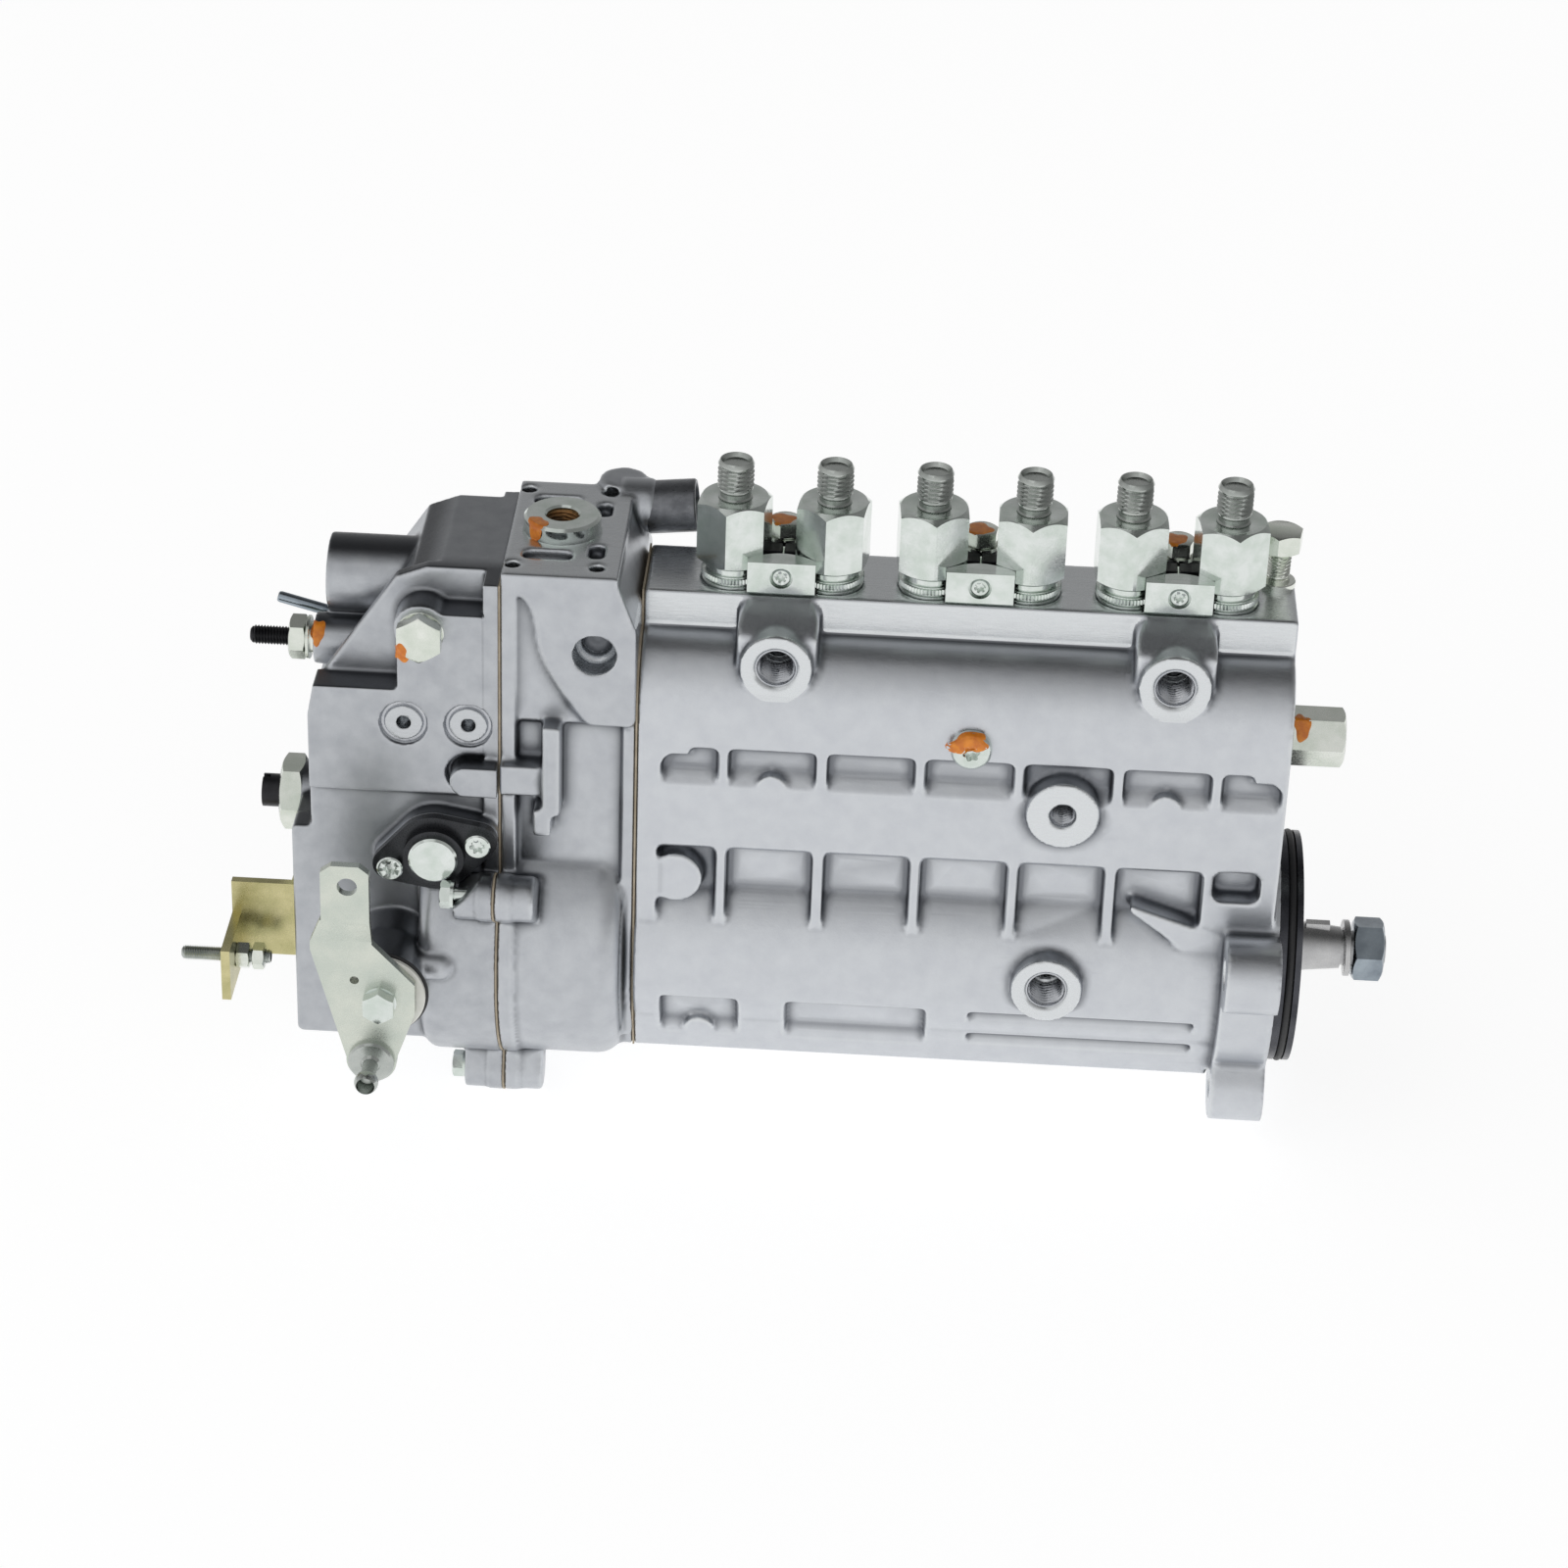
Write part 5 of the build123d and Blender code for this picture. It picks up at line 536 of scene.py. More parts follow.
# --------------------------------------------------------------------------- shapes
class Shape:
    """Gathers surface patches in millimetres and turns them into one piece."""

    def __init__(self) -> None:
        """Starts an empty shape."""
        self.points: list[np.ndarray] = []
        self.faces: list[list[int]] = []
        self.count = 0

    def add(self, points: np.ndarray, faces: Sequence[Sequence[int]],
            frame_: Optional[Matrix] = None) -> None:
        """Adds a patch.

        Args:
            points: Its points.
            faces: Its faces, as indices into those points.
            frame_: Frame that the points are in.
        """
        if frame_ is not None:
            matrix = np.array(frame_)
            points = points @ matrix[:3, :3].T + matrix[:3, 3]
        self.points.append(points)
        self.faces += [[index + self.count for index in face] for face in faces]
        self.count += len(points)

    def turned(self, frame_: Matrix, rings: Sequence[tuple[Profile, Profile]], segments: int = 64,
               closed: bool = False) -> "Shape":
        """Adds a surface through rings round the frame's Z axis.

        Args:
            frame_: Frame of the piece.
            rings: Radius and height of each ring.
            segments: Points on each ring.
            closed: Joins the last ring to the first instead of capping both.

        Returns:
            The shape itself.
        """
        angle = np.arange(segments) * TURN / segments
        rows = []
        for radius, height in rings:
            spread = values(radius, angle)
            rows.append(np.stack([spread * np.cos(angle), spread * np.sin(angle), values(height, angle)], 1))
        faces = []
        total = len(rows)
        for row in range(total if closed else total - 1):
            start, after = row * segments, (row + 1) % total * segments
            for i in range(segments):
                j = (i + 1) % segments
                faces.append([start + i, start + j, after + j, after + i])
        if not closed:
            faces.append(list(range(segments))[::-1])
            faces.append([(total - 1) * segments + i for i in range(segments)])
        self.add(np.concatenate(rows), faces, frame_)
        return self

    def thread(self, frame_: Matrix, radius: float, pitch: float, low: float, high: float,
               inside: float = 0.0, segments: int = 40) -> "Shape":
        """Adds a screw thread.

        Args:
            frame_: Frame of the piece.
            radius: Radius over the crests, or of the roots of an inside thread.
            pitch: Pitch.
            low: Height of its foot.
            high: Height of its top.
            inside: Radius of the sleeve that backs an inside thread, or 0.
            segments: Points round it.

        Returns:
            The shape itself.
        """
        depth = 0.6 * pitch
        steps = max(4, int((high - low) / pitch * 6))
        heights = np.linspace(low, high, steps + 1)

        def crest(height: float) -> Profile:
            """Outline of one ring.

            Args:
                height: Its height.

            Returns:
                Its radius at each angle.
            """
            fade = min(1.0, (height - low) / pitch, (high - height) / pitch)

            def at(angle: np.ndarray) -> np.ndarray:
                """Distance from the axis.

                Args:
                    angle: Angles round the axis.

                Returns:
                    The distance at each angle.
                """
                share = (height / pitch - angle / TURN) % 1.0
                groove = np.abs(2 * share - 1)
                if inside:
                    return radius - depth * groove * max(fade, 0.0)
                return radius - depth * (1 - groove * max(fade, 0.0))
            return at

        rings = [(crest(h), h) for h in heights]
        if inside:
            rings = [(inside, low)] + rings + [(inside, high)]
            return self.turned(frame_, rings, segments, closed=True)
        return self.turned(frame_, rings, segments)

    def nut(self, frame_: Matrix, flats: float, low: float, high: float, bore: float = 0.0,
            both: bool = True) -> "Shape":
        """Adds a hexagon whose corners are turned off.

        Args:
            frame_: Frame of the piece.
            flats: Width across flats.
            low: Height of its foot.
            high: Height of its top.
            bore: Radius of its hole, or 0.
            both: Turns the corners off at the foot too.

        Returns:
            The shape itself.
        """
        side = hexagon(flats)
        start = flats * 0.48
        steep = 0.55

        def foot(angle: np.ndarray) -> np.ndarray:
            """Height of the lower chamfer."""
            return low + (side(angle) - start) * steep
        rings: list[tuple[Profile, Profile]] = [(start, low)] if both else []
        rings.append((side, foot if both else low))
        rings.append((side, sloped(side, start, high, steep)))
        rings.append((start, high))
        if bore:
            rings += [(bore + 0.3, high), (bore, high - 0.3), (bore, low)]
        return self.turned(frame_, rings, 96, closed=bool(bore))

    def plate(self, frame_: Matrix, outline: Sequence[tuple[float, float]], low: float, high: float,
              holes: Sequence[Sequence[tuple[float, float]]] = ()) -> "Shape":
        """Adds a flat plate of any outline, with holes through it.

        Args:
            frame_: Frame of the plate.
            outline: Corners of its outline.
            low: Height of its foot.
            high: Height of its top.
            holes: Outlines of its holes.

        Returns:
            The shape itself.
        """
        loops = [[Vector((u, v, 0.0)) for u, v in loop] for loop in (outline, *holes)]
        flat = np.array([(point.x, point.y) for loop in loops for point in loop])
        count = len(flat)
        levels = [np.column_stack([flat, np.full(count, level)]) for level in (low, high)]
        faces: list[list[int]] = []
        for first, second, third in tessellate_polygon(loops):
            faces += [[third, second, first], [count + first, count + second, count + third]]
        start = 0
        for loop in loops:
            size = len(loop)
            for i in range(size):
                j = (i + 1) % size
                faces.append([start + i, start + j, count + start + j, count + start + i])
            start += size
        self.add(np.concatenate(levels), faces, frame_)
        return self

    def piece(self, name: str, finish: Finish, body: str = "root", nodes: Sequence[str] = (),
              sharp: float = 32.0, ease: float = 0.0) -> bpy.types.Object:
        """Makes the piece.

        Args:
            name: Name of the piece.
            finish: Its finish.
            body: The CAD body that it rides on.
            nodes: CAD nodes that it stands for.
            sharp: Edges that turn by more degrees than this stay sharp.
            ease: Width of its rounded edges in millimetres, or 0.

        Returns:
            The object.
        """
        mesh = bpy.data.meshes.new(name)
        mesh.from_pydata((np.concatenate(self.points) * MM).tolist(), [], self.faces)
        mesh.validate()
        thing = bpy.data.objects.new(name, mesh)
        bpy.context.scene.collection.objects.link(thing)
        edge_in(mesh, sharp)
        if ease:
            round_edges(thing, ease)
        dress(thing, finish, body, nodes)
        return thing


def round_edges(thing: bpy.types.Object, width: float) -> None:
    """Rounds the sharp edges of an object.

    Args:
        thing: The object.
        width: Width of the rounding in millimetres.
    """
    bevel = thing.modifiers.new("eased", "BEVEL")
    bevel.width = width * MM
    bevel.segments = 2
    bevel.limit_method = "ANGLE"
    bevel.angle_limit = math.radians(40)
    bevel.harden_normals = True


def ring_points(radius: float, count: int, u: float = 0.0, v: float = 0.0) -> list[tuple[float, float]]:
    """Points evenly round a circle."""
    angles = (TURN * i / count for i in range(count))
    return [(u + radius * math.cos(a), v + radius * math.sin(a)) for a in angles]


def socket_screw(place: Matrix, head_r: float, head_t: float, shank_r: float, length: float,
                 socket_r: float) -> Shape:
    """Cylinder-head screw with a six-lobed socket.

    Args:
        place: Frame whose origin lies under the head, +Z out of the head.
        head_r: Radius of the head.
        head_t: Thickness of the head.
        shank_r: Radius of the shank.
        length: Length of the shank.
        socket_r: Mean radius of the socket.

    Returns:
        The shape.
    """
    socket = lobed(socket_r, socket_r * 0.15, 6)
    rings = [(shank_r, -length), (shank_r, 0.0), (head_r, 0.0), (head_r, head_t - 0.45),
             (head_r - 0.45, head_t), (socket_r * 1.22, head_t), (socket, head_t - 0.25),
             (socket, head_t - 1.7)]
    return Shape().turned(place, rings, 72)


def edge_in(mesh: bpy.types.Mesh, sharp: float) -> None:
    """Smooths a mesh's shading except over its sharp edges.

    Args:
        mesh: The mesh.
        sharp: Edges that turn by more degrees than this stay sharp.
    """
    work = bmesh.new()
    work.from_mesh(mesh)
    bmesh.ops.recalc_face_normals(work, faces=work.faces)
    limit = math.radians(sharp)
    for edge in work.edges:
        edge.smooth = len(edge.link_faces) == 2 and edge.calc_face_angle(0.0) < limit
    for face in work.faces:
        face.smooth = True
    work.to_mesh(mesh)
    work.free()


def dress(thing: bpy.types.Object, finish: Union[Finish, CastFinish], body: str,
          nodes: Sequence[str] = ()) -> None:
    """Gives a piece its finish, its body and the CAD nodes that it stands for.

    Args:
        thing: The piece.
        finish: Its finish.
        body: The body that it rides on.
        nodes: The nodes that it stands for.
    """
    thing.data.materials.clear()
    thing.data.materials.append(finish.material())
    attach(thing, body)
    if nodes:
        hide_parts(*nodes)
    LOG.info("%s rides on %s", thing.name, body)


# ------------------------------------------------------------------------- castings
@dataclass(frozen=True)
class FlatCut:
    """A machined face across one axis."""

    axis: int
    place: float
    low: Point = (-1000.0, -1000.0, -1000.0)
    high: Point = (1000.0, 1000.0, 1000.0)

    def near(self, points: np.ndarray) -> np.ndarray:
        """How near each point is to the face, from 1 on it to 0 two millimetres off."""
        inside = np.all((points >= np.array(self.low)) & (points <= np.array(self.high)), axis=1)
        return np.clip(1.6 - np.abs(points[:, self.axis] - self.place) / 1.2, 0, 1) * inside

    def faced(self, points: np.ndarray, normals: np.ndarray) -> np.ndarray:
        """How much of each point's surface was cut."""
        return (self.near(points) > 0.8) * np.clip(np.abs(normals[:, self.axis]) * 4 - 3, 0, 1)


@dataclass(frozen=True)
class RoundCut:
    """A machined ring or bore round an axis."""

    axis: int
    centre: Point
    radius: float
    low: float
    high: float

    def reach(self, points: np.ndarray) -> np.ndarray:
        """Distance of each point from the axis."""
        others = [i for i in range(3) if i != self.axis]
        return np.linalg.norm((points - np.array(self.centre))[:, others], axis=1)

    def near(self, points: np.ndarray) -> np.ndarray:
        """How near each point is to the cut.

        Args:
            points: Points in millimetres.

        Returns:
            1 inside the cut, 0 a millimetre outside it.
        """
        along = points[:, self.axis]
        inside = (along > self.low) & (along < self.high)
        return np.clip(1.0 + self.radius + 0.8 - self.reach(points), 0, 1) * inside

    def faced(self, points: np.ndarray, normals: np.ndarray) -> np.ndarray:
        """Tells the cut surface from the cast one.

        Args:
            points: Points in millimetres.
            normals: Their normals.

        Returns:
            How much of each point's surface was cut.
        """
        along = points[:, self.axis]
        inside = (along > self.low) & (along < self.high)
        return np.clip(self.radius + 0.5 - self.reach(points), 0, 1) * inside


@dataclass
class Casting:
    """A cast piece: the CAD form with cast fillets, and its machined faces kept crisp."""

    node: str
    name: str
    cuts: list[Union[FlatCut, RoundCut]]
    finish: CastFinish = CAST
    voxel_mm: float = 0.85
    rounds: int = 8
    broad_rounds: int = 36
    crisp_rounds: int = 2
    weight: float = 0.55
    give_back: float = 0.5
    broad_weight: float = 0.9
    edge_gain: float = 1.4
    broad_gain: float = 0.35
    # How far and how steeply a face must turn up to take the painted shade on upward faces; on the roof
    # behind the front it keeps only the roof share.
    up_from: float = 0.62
    up_gain: float = 3.6
    front_y: float = -14.0
    front_fade: float = 10.0
    roof_z: float = 142.0
    roof_fade: float = 4.0
    roof_up_face_shade: float = 0.3
    faces: int = 198_000

    def skin(self) -> bpy.types.Mesh:
        """Lays an even mesh over the solid.

        Returns:
            The mesh.
        """
        mesh = frame["nodes"][self.node].data.copy()
        thing = bpy.data.objects.new(self.name + "_core", mesh)
        bpy.context.scene.collection.objects.link(thing)
        remesh = thing.modifiers.new("skin", "REMESH")
        remesh.mode = "VOXEL"
        remesh.voxel_size = self.voxel_mm * MM
        graph = bpy.context.evaluated_depsgraph_get()
        made = bpy.data.meshes.new_from_object(thing.evaluated_get(graph), depsgraph=graph)
        bpy.data.objects.remove(thing)
        return made

    def soften(self, mesh: bpy.types.Mesh) -> None:
        """Rounds the corners as a casting's are, least near the machined faces.

        Args:
            mesh: The mesh.
        """
        count = len(mesh.vertices)
        points = np.zeros(count * 3)
        mesh.vertices.foreach_get("co", points)
        points = points.reshape(-1, 3) / MM
        ends = np.zeros(len(mesh.edges) * 2, np.int64)
        mesh.edges.foreach_get("vertices", ends)
        first, second = ends.reshape(-1, 2).T
        degree = np.bincount(ends, minlength=count)[:, None]
        crisp = np.zeros(count)
        for cut in self.cuts:
            crisp = np.maximum(crisp, cut.near(points))
        before = points.copy()

        def relaxed(now: np.ndarray, share: np.ndarray) -> np.ndarray:
            """Moves points towards the mean of their neighbours.

            Args:
                now: The points.
                share: How far each one goes.

            Returns:
                The moved points.
            """
            total = np.empty_like(now)
            for axis in range(3):
                total[:, axis] = np.bincount(first, now[second, axis], count)
                total[:, axis] += np.bincount(second, now[first, axis], count)
            return now + share * (total / degree - now)
        for step in range(self.rounds):
            share = self.weight * (1 - crisp) if step >= self.crisp_rounds else np.full(count, self.weight)
            points = relaxed(points, share[:, None])
            points = relaxed(points, -share[:, None] * self.give_back)
        mesh.vertices.foreach_set("co", (points * MM).ravel())
        mesh.update()
        after = points
        for _ in range(self.broad_rounds):
            after = relaxed(after, np.full((count, 1), self.broad_weight))
        self.mark(mesh, points, before, after)

    def mark(self, mesh: bpy.types.Mesh, points: np.ndarray, before: np.ndarray, after: np.ndarray) -> None:
        """Stores where the surface was machined, is concave, is an edge or faces up, for the material's
        painted shade and painted highlights.

        Args:
            mesh: The mesh.
            points: Its points in millimetres.
            before: The same points before the corners were rounded.
            after: The same points smoothed much further.
        """
        normals = np.zeros(len(points) * 3)
        mesh.vertices.foreach_get("normal", normals)
        normals = normals.reshape(-1, 3)
        cut = np.zeros(len(points))
        for place in self.cuts:
            cut = np.maximum(cut, place.faced(points, normals))
        # How far the rounding and the broad smoothing moved each point; the material turns this into painted
        # shade in hollows and painted highlights on edges.
        curve = np.clip(0.5 + np.sum((before - points) * normals, axis=1) * self.edge_gain, 0, 1)
        broad = np.clip(0.5 + np.sum((after - points) * normals, axis=1) * self.broad_gain, 0, 1)
        # Mask of the painted shade on upward faces: full in front and below the roof, weaker on the top faces
        # behind the front.
        upward = np.clip((normals[:, 2] - self.up_from) * self.up_gain, 0, 1)
        near_front = np.clip((self.front_y - points[:, 1]) / self.front_fade, 0.0, 1.0)
        below_roof = (self.roof_z - points[:, 2]) / self.roof_fade
        upward *= np.clip(np.maximum(near_front, below_roof), self.roof_up_face_shade, 1.0)
        for title, numbers in (("machined", cut), ("curve", curve), ("broad", broad), ("upward", upward)):
            layer = mesh.attributes.new(title, "FLOAT", "POINT")
            layer.data.foreach_set("value", numbers.astype(np.float32))

    def build(self) -> bpy.types.Object:
        """Makes the casting.

        Returns:
            The object.
        """
        mesh = self.skin()
        self.soften(mesh)
        thing = bpy.data.objects.new(self.name, mesh)
        bpy.context.scene.collection.objects.link(thing)
        if len(mesh.polygons) * 2 > self.faces:
            thin = thing.modifiers.new("thin", "DECIMATE")
            thin.ratio = self.faces / (len(mesh.polygons) * 2)
            graph = bpy.context.evaluated_depsgraph_get()
            thing.data = bpy.data.meshes.new_from_object(thing.evaluated_get(graph), depsgraph=graph)
            thing.modifiers.clear()
        thing.data.polygons.foreach_set("use_smooth", [True] * len(thing.data.polygons))
        dress(thing, self.finish, "root", [self.node])
        return thing


@dataclass
class PumpHousing:
    """The main casting with its machined head, ports, flange and bosses."""

    top_z: float = 130.0
    strip_y: float = -13.0
    strip_foot_z: float = 117.0
    port_centres: tuple[float, ...] = (-41.0, -169.0)
    port_z: float = 113.0
    port_face_y: float = -31.5
    ring_r: float = 11.75
    oil_centre: Point = (-75.6, 0.0, 2.8)
    oil_face_y: float = -42.0
    boss_centre: Point = (-74.2, 0.0, 67.7)
    boss_face_y: float = -38.0
    ears: tuple[tuple[float, float], ...] = ((45.0, 15.0), (-45.0, 15.0), (26.0, -40.0), (-26.0, -40.0))

    def cuts(self) -> list[Union[FlatCut, RoundCut]]:
        """Lists the faces and bores that were machined.

        Returns:
            The cuts.
        """
        box = Extent.of("pump_housing")
        cuts: list[Union[FlatCut, RoundCut]] = [
            FlatCut(2, self.top_z),
            FlatCut(0, box.low.x),
            FlatCut(0, box.high.x),
            FlatCut(1, self.strip_y, (-300.0, -20.0, self.strip_foot_z - 1.0)),
            FlatCut(1, 32.0, (-300.0, 20.0, 40.0)),
        ]
        for x in self.port_centres:
            centre = (x, 0.0, self.port_z)
            cuts.append(RoundCut(1, centre, self.ring_r, self.port_face_y - 1, self.port_face_y + 2))
            cuts.append(RoundCut(1, centre, 7.5, self.port_face_y - 1, -10.0))
        cuts.append(RoundCut(1, self.oil_centre, self.ring_r, self.oil_face_y - 1, self.oil_face_y + 2))
        cuts.append(RoundCut(1, self.oil_centre, 7.5, self.oil_face_y - 1, -20.0))
        cuts.append(RoundCut(1, self.boss_centre, 12.2, self.boss_face_y - 1, self.boss_face_y + 1))
        cuts.append(RoundCut(1, self.boss_centre, 5.0, self.boss_face_y - 1, -18.0))
        for y, z in self.ears:
            cuts.append(RoundCut(0, (0.0, y, z), 6.0, -20.0, 2.0))
        return cuts

    def build(self) -> bpy.types.Object:
        """Makes the casting."""
        return Casting("pump_housing", "pump_body", self.cuts()).build()


@dataclass
class GovernorHousing:
    """The middle casting, between the pump body and the governor cover."""

    top_z: float = 145.0
    ring_x: float = -240.6
    ring_y: float = -1.0
    hole_x: float = -227.0
    hole_z: float = 117.0
    corner: tuple[float, float] = (13.5, 27.0)
    spout: Point = (-207.0, 30.0, 139.0)
    spout_half: float = 8.2
    spout_r: float = 8.8
    spout_rise: float = 6.0

    def sleeve(self) -> None:
        """Makes the dull tube over the breather spout, tipped up towards its mouth."""
        tip = Matrix.Rotation(-math.radians(self.spout_rise), 4, "Y")
        place = Matrix.Translation(Vector(self.spout)) @ tip @ Axis.RIGHT.frame().to_4x4()
        half, radius = self.spout_half, self.spout_r
        rings = [(6.4, -half), (radius - 0.4, -half), (radius, -half + 0.4), (radius, half - 0.5),
                 (radius - 0.4, half), (radius - 1.2, half), (radius - 1.6, half - 0.6), (6.4, half - 4.0)]
        Shape().turned(place, rings, 72, closed=True).piece("spout_sleeve", SLEEVE)

    def cuts(self) -> list[Union[FlatCut, RoundCut]]:
        """Lists the faces and bores that were machined.

        Returns:
            The cuts.
        """
        box = Extent.of("governor_housing")
        cuts: list[Union[FlatCut, RoundCut]] = [
            FlatCut(2, self.top_z, (-300.0, -50.0, self.top_z - 2)),
            FlatCut(0, box.low.x),
            FlatCut(0, Extent.of("pump_housing").low.x - 0.6),
            RoundCut(1, (self.hole_x, 0.0, self.hole_z), 7.4, -38.0, -24.0),
        ]
        for dx in (-self.corner[0], self.corner[0]):
            for dy in (-self.corner[1], self.corner[1]):
                centre = (self.ring_x + dx, self.ring_y + dy, 0.0)
                cuts.append(RoundCut(2, centre, 3.0, self.top_z - 14, self.top_z + 1))
        return cuts

    def build(self) -> bpy.types.Object:
        """Makes the casting and the tube on its spout."""
        self.sleeve()
        return Casting("governor_housing", "governor_middle", self.cuts(), DARKER_CAST).build()


@dataclass
class GovernorCover:
    """The end casting that carries the control lever and the stops."""

    lever_x: float = -293.5
    lever_z: float = 2.2
    lever_face_y: float = -62.0
    lever_boss_r: float = 12.0
    plate_y: float = -40.0
    bosses: tuple[tuple[float, float], ...] = ((-288.7, 88.7), (-267.7, 88.8))
    boss_face_y: float = -36.0

    def cuts(self) -> list[Union[FlatCut, RoundCut]]:
        """Lists the faces and bores that were machined.

        Returns:
            The cuts.
        """
        box = Extent.of("governor_cover")
        centre = (self.lever_x, 0.0, self.lever_z)
        cuts: list[Union[FlatCut, RoundCut]] = [
            FlatCut(0, box.high.x),
            FlatCut(1, self.plate_y, (-300.0, -44.0, 25.0), (-256.0, -36.0, 62.0)),
            RoundCut(1, centre, self.lever_boss_r, self.lever_face_y - 1, self.lever_face_y + 2),
        ]
        for x, z in self.bosses:
            cuts.append(RoundCut(1, (x, 0.0, z), 6.6, -38.0, -34.0))
            cuts.append(RoundCut(1, (x, 0.0, z), 3.0, -38.0, -24.0))
        return cuts

    def build(self) -> bpy.types.Object:
        """Makes the casting, with the cast floors round its two bosses.

        Returns:
            The casting.
        """
        for index, (x, z) in enumerate(self.bosses):
            place = placed(Axis.FRONT, (x, self.boss_face_y, z))
            rings = [(6.0, -4.4), (7.9, -4.4), (7.9, -1.0), (7.3, -1.7), (6.5, -1.7), (6.0, -1.3)]
            Shape().turned(place, rings, 60, closed=True).piece(f"boss_floor_{index + 1}", BORED)
        return Casting("governor_cover", "governor_end", self.cuts(), DARKEST_CAST, voxel_mm=0.6).build()


# ----------------------------------------------------------------------- carried over
def coat_node(node: str, finish: Finish, bevel_mm: float = 0.0) -> None:
    """Gives a CAD node its finish and, where asked, a small rounded edge.

    Args:
        node: Name of the node.
        finish: Its finish.
        bevel_mm: Width of the rounded edges, or 0.
    """
    thing = frame["nodes"][node]
    if not thing.material_slots:
        thing.data.materials.append(finish.material())
    for slot in thing.material_slots:
        slot.material = finish.material()
    if bevel_mm:
        round_edges(thing, bevel_mm)
    LOG.info("%s keeps its solid, in %s", node, finish.name)


# ---------------------------------------------------------------------- delivery side
@dataclass
class DeliveryRow:
    """Six delivery valve holders: serrated collar, hexagon and threaded union stud."""

    pitch: float = 32.0
    first_x: float = -25.0
    foot_z: float = 116.0
    top_z: float = 130.0
    hex_z: float = 137.0
    shoulder_z: float = 159.0
    end_z: float = 172.0
    flats: float = 22.0
    shank_r: float = 10.0
    band_r: float = 10.5
    band_teeth: int = 60
    neck_r: float = 9.4
    stud_r: float = 5.95
    bore_r: float = 1.5
    valve_r: float = 6.6
    mouth_r: float = 4.9
    turns: tuple[float, ...] = (38.0, 34.0, 29.0, 35.0, 20.0, 20.0)

    def collar(self, place: Matrix) -> list[Shape]:
        """Shank, serrated band and hexagon of one holder.

        Args:
            place: Frame of the holder, its foot at height 0 of the pump.

        Returns:
            The plain body and the serrated band.
        """
        top, hex_z, shoulder = self.top_z, self.hex_z, self.shoulder_z
        side = hexagon(self.flats)
        start = self.flats * 0.484
        foot = sloped(side, start, hex_z + 0.1, -0.6)
        rings = [
            (self.valve_r, self.foot_z), (self.shank_r - 0.8, self.foot_z), (self.shank_r, self.foot_z + 0.8),
            (self.shank_r, top), (10.3, top + 0.02), (10.3, top + 0.8), (9.7, top + 1.1), (9.7, top + 3.9),
            (8.9, top + 4.1), (8.9, top + 4.5), (self.neck_r, top + 4.8), (self.neck_r, top + 6.2),
            (8.9, top + 6.5), (8.9, hex_z - 0.1), (start, hex_z + 0.1), (side, foot),
            (side, sloped(side, start, shoulder, 0.85)), (start, shoulder), (6.6, shoulder + 0.05),
            (5.2, shoulder - 0.4), (self.bore_r, shoulder - 0.4), (self.bore_r, hex_z + 4),
            (self.valve_r, hex_z + 2),
        ]
        body = Shape().turned(place, rings, 96, closed=True)
        tooth = splined(self.band_r, 0.45, self.band_teeth)
        band = [(9.5, top + 1.4), (tooth, top + 1.7), (tooth, top + 3.4), (9.5, top + 3.7)]
        return [body, Shape().turned(place, band, self.band_teeth * 4)]

    def stud(self, place: Matrix) -> Shape:
        """Union stud of one holder with its thread and conical mouth.

        Args:
            place: Frame of the holder.

        Returns:
            The stud.
        """
        low, high = self.shoulder_z, self.end_z
        rings = [
            (self.bore_r, low - 0.4), (5.2, low - 0.4), (5.5, low), (5.0, low + 0.5), (5.0, low + 2.0),
            (5.05, high - 1.5), (5.9, high - 1.4), (5.3, high - 0.15), (5.15, high), (self.mouth_r, high),
            (self.bore_r, high - 5.0),
        ]
        shape = Shape().turned(place, rings, 64, closed=True)
        return shape.thread(place, self.stud_r, 1.5, low + 1.9, high - 1.3)

    def build(self) -> None:
        """Makes the six holders."""
        for index, turn in enumerate(self.turns):
            place = placed(Axis.UP, (self.first_x - index * self.pitch, 0.0, 0.0), turn)
            body, band = self.collar(place)
            name = f"valve_holder_{index + 1}"
            body.piece(name, BRIGHT_ZINC, nodes=["delivery_valve_holders"], sharp=28.0)
            band.piece(name + "_band", BRIGHT_ZINC, sharp=20.0)
            self.stud(place).piece(name + "_stud", STUD_ZINC, sharp=40.0)


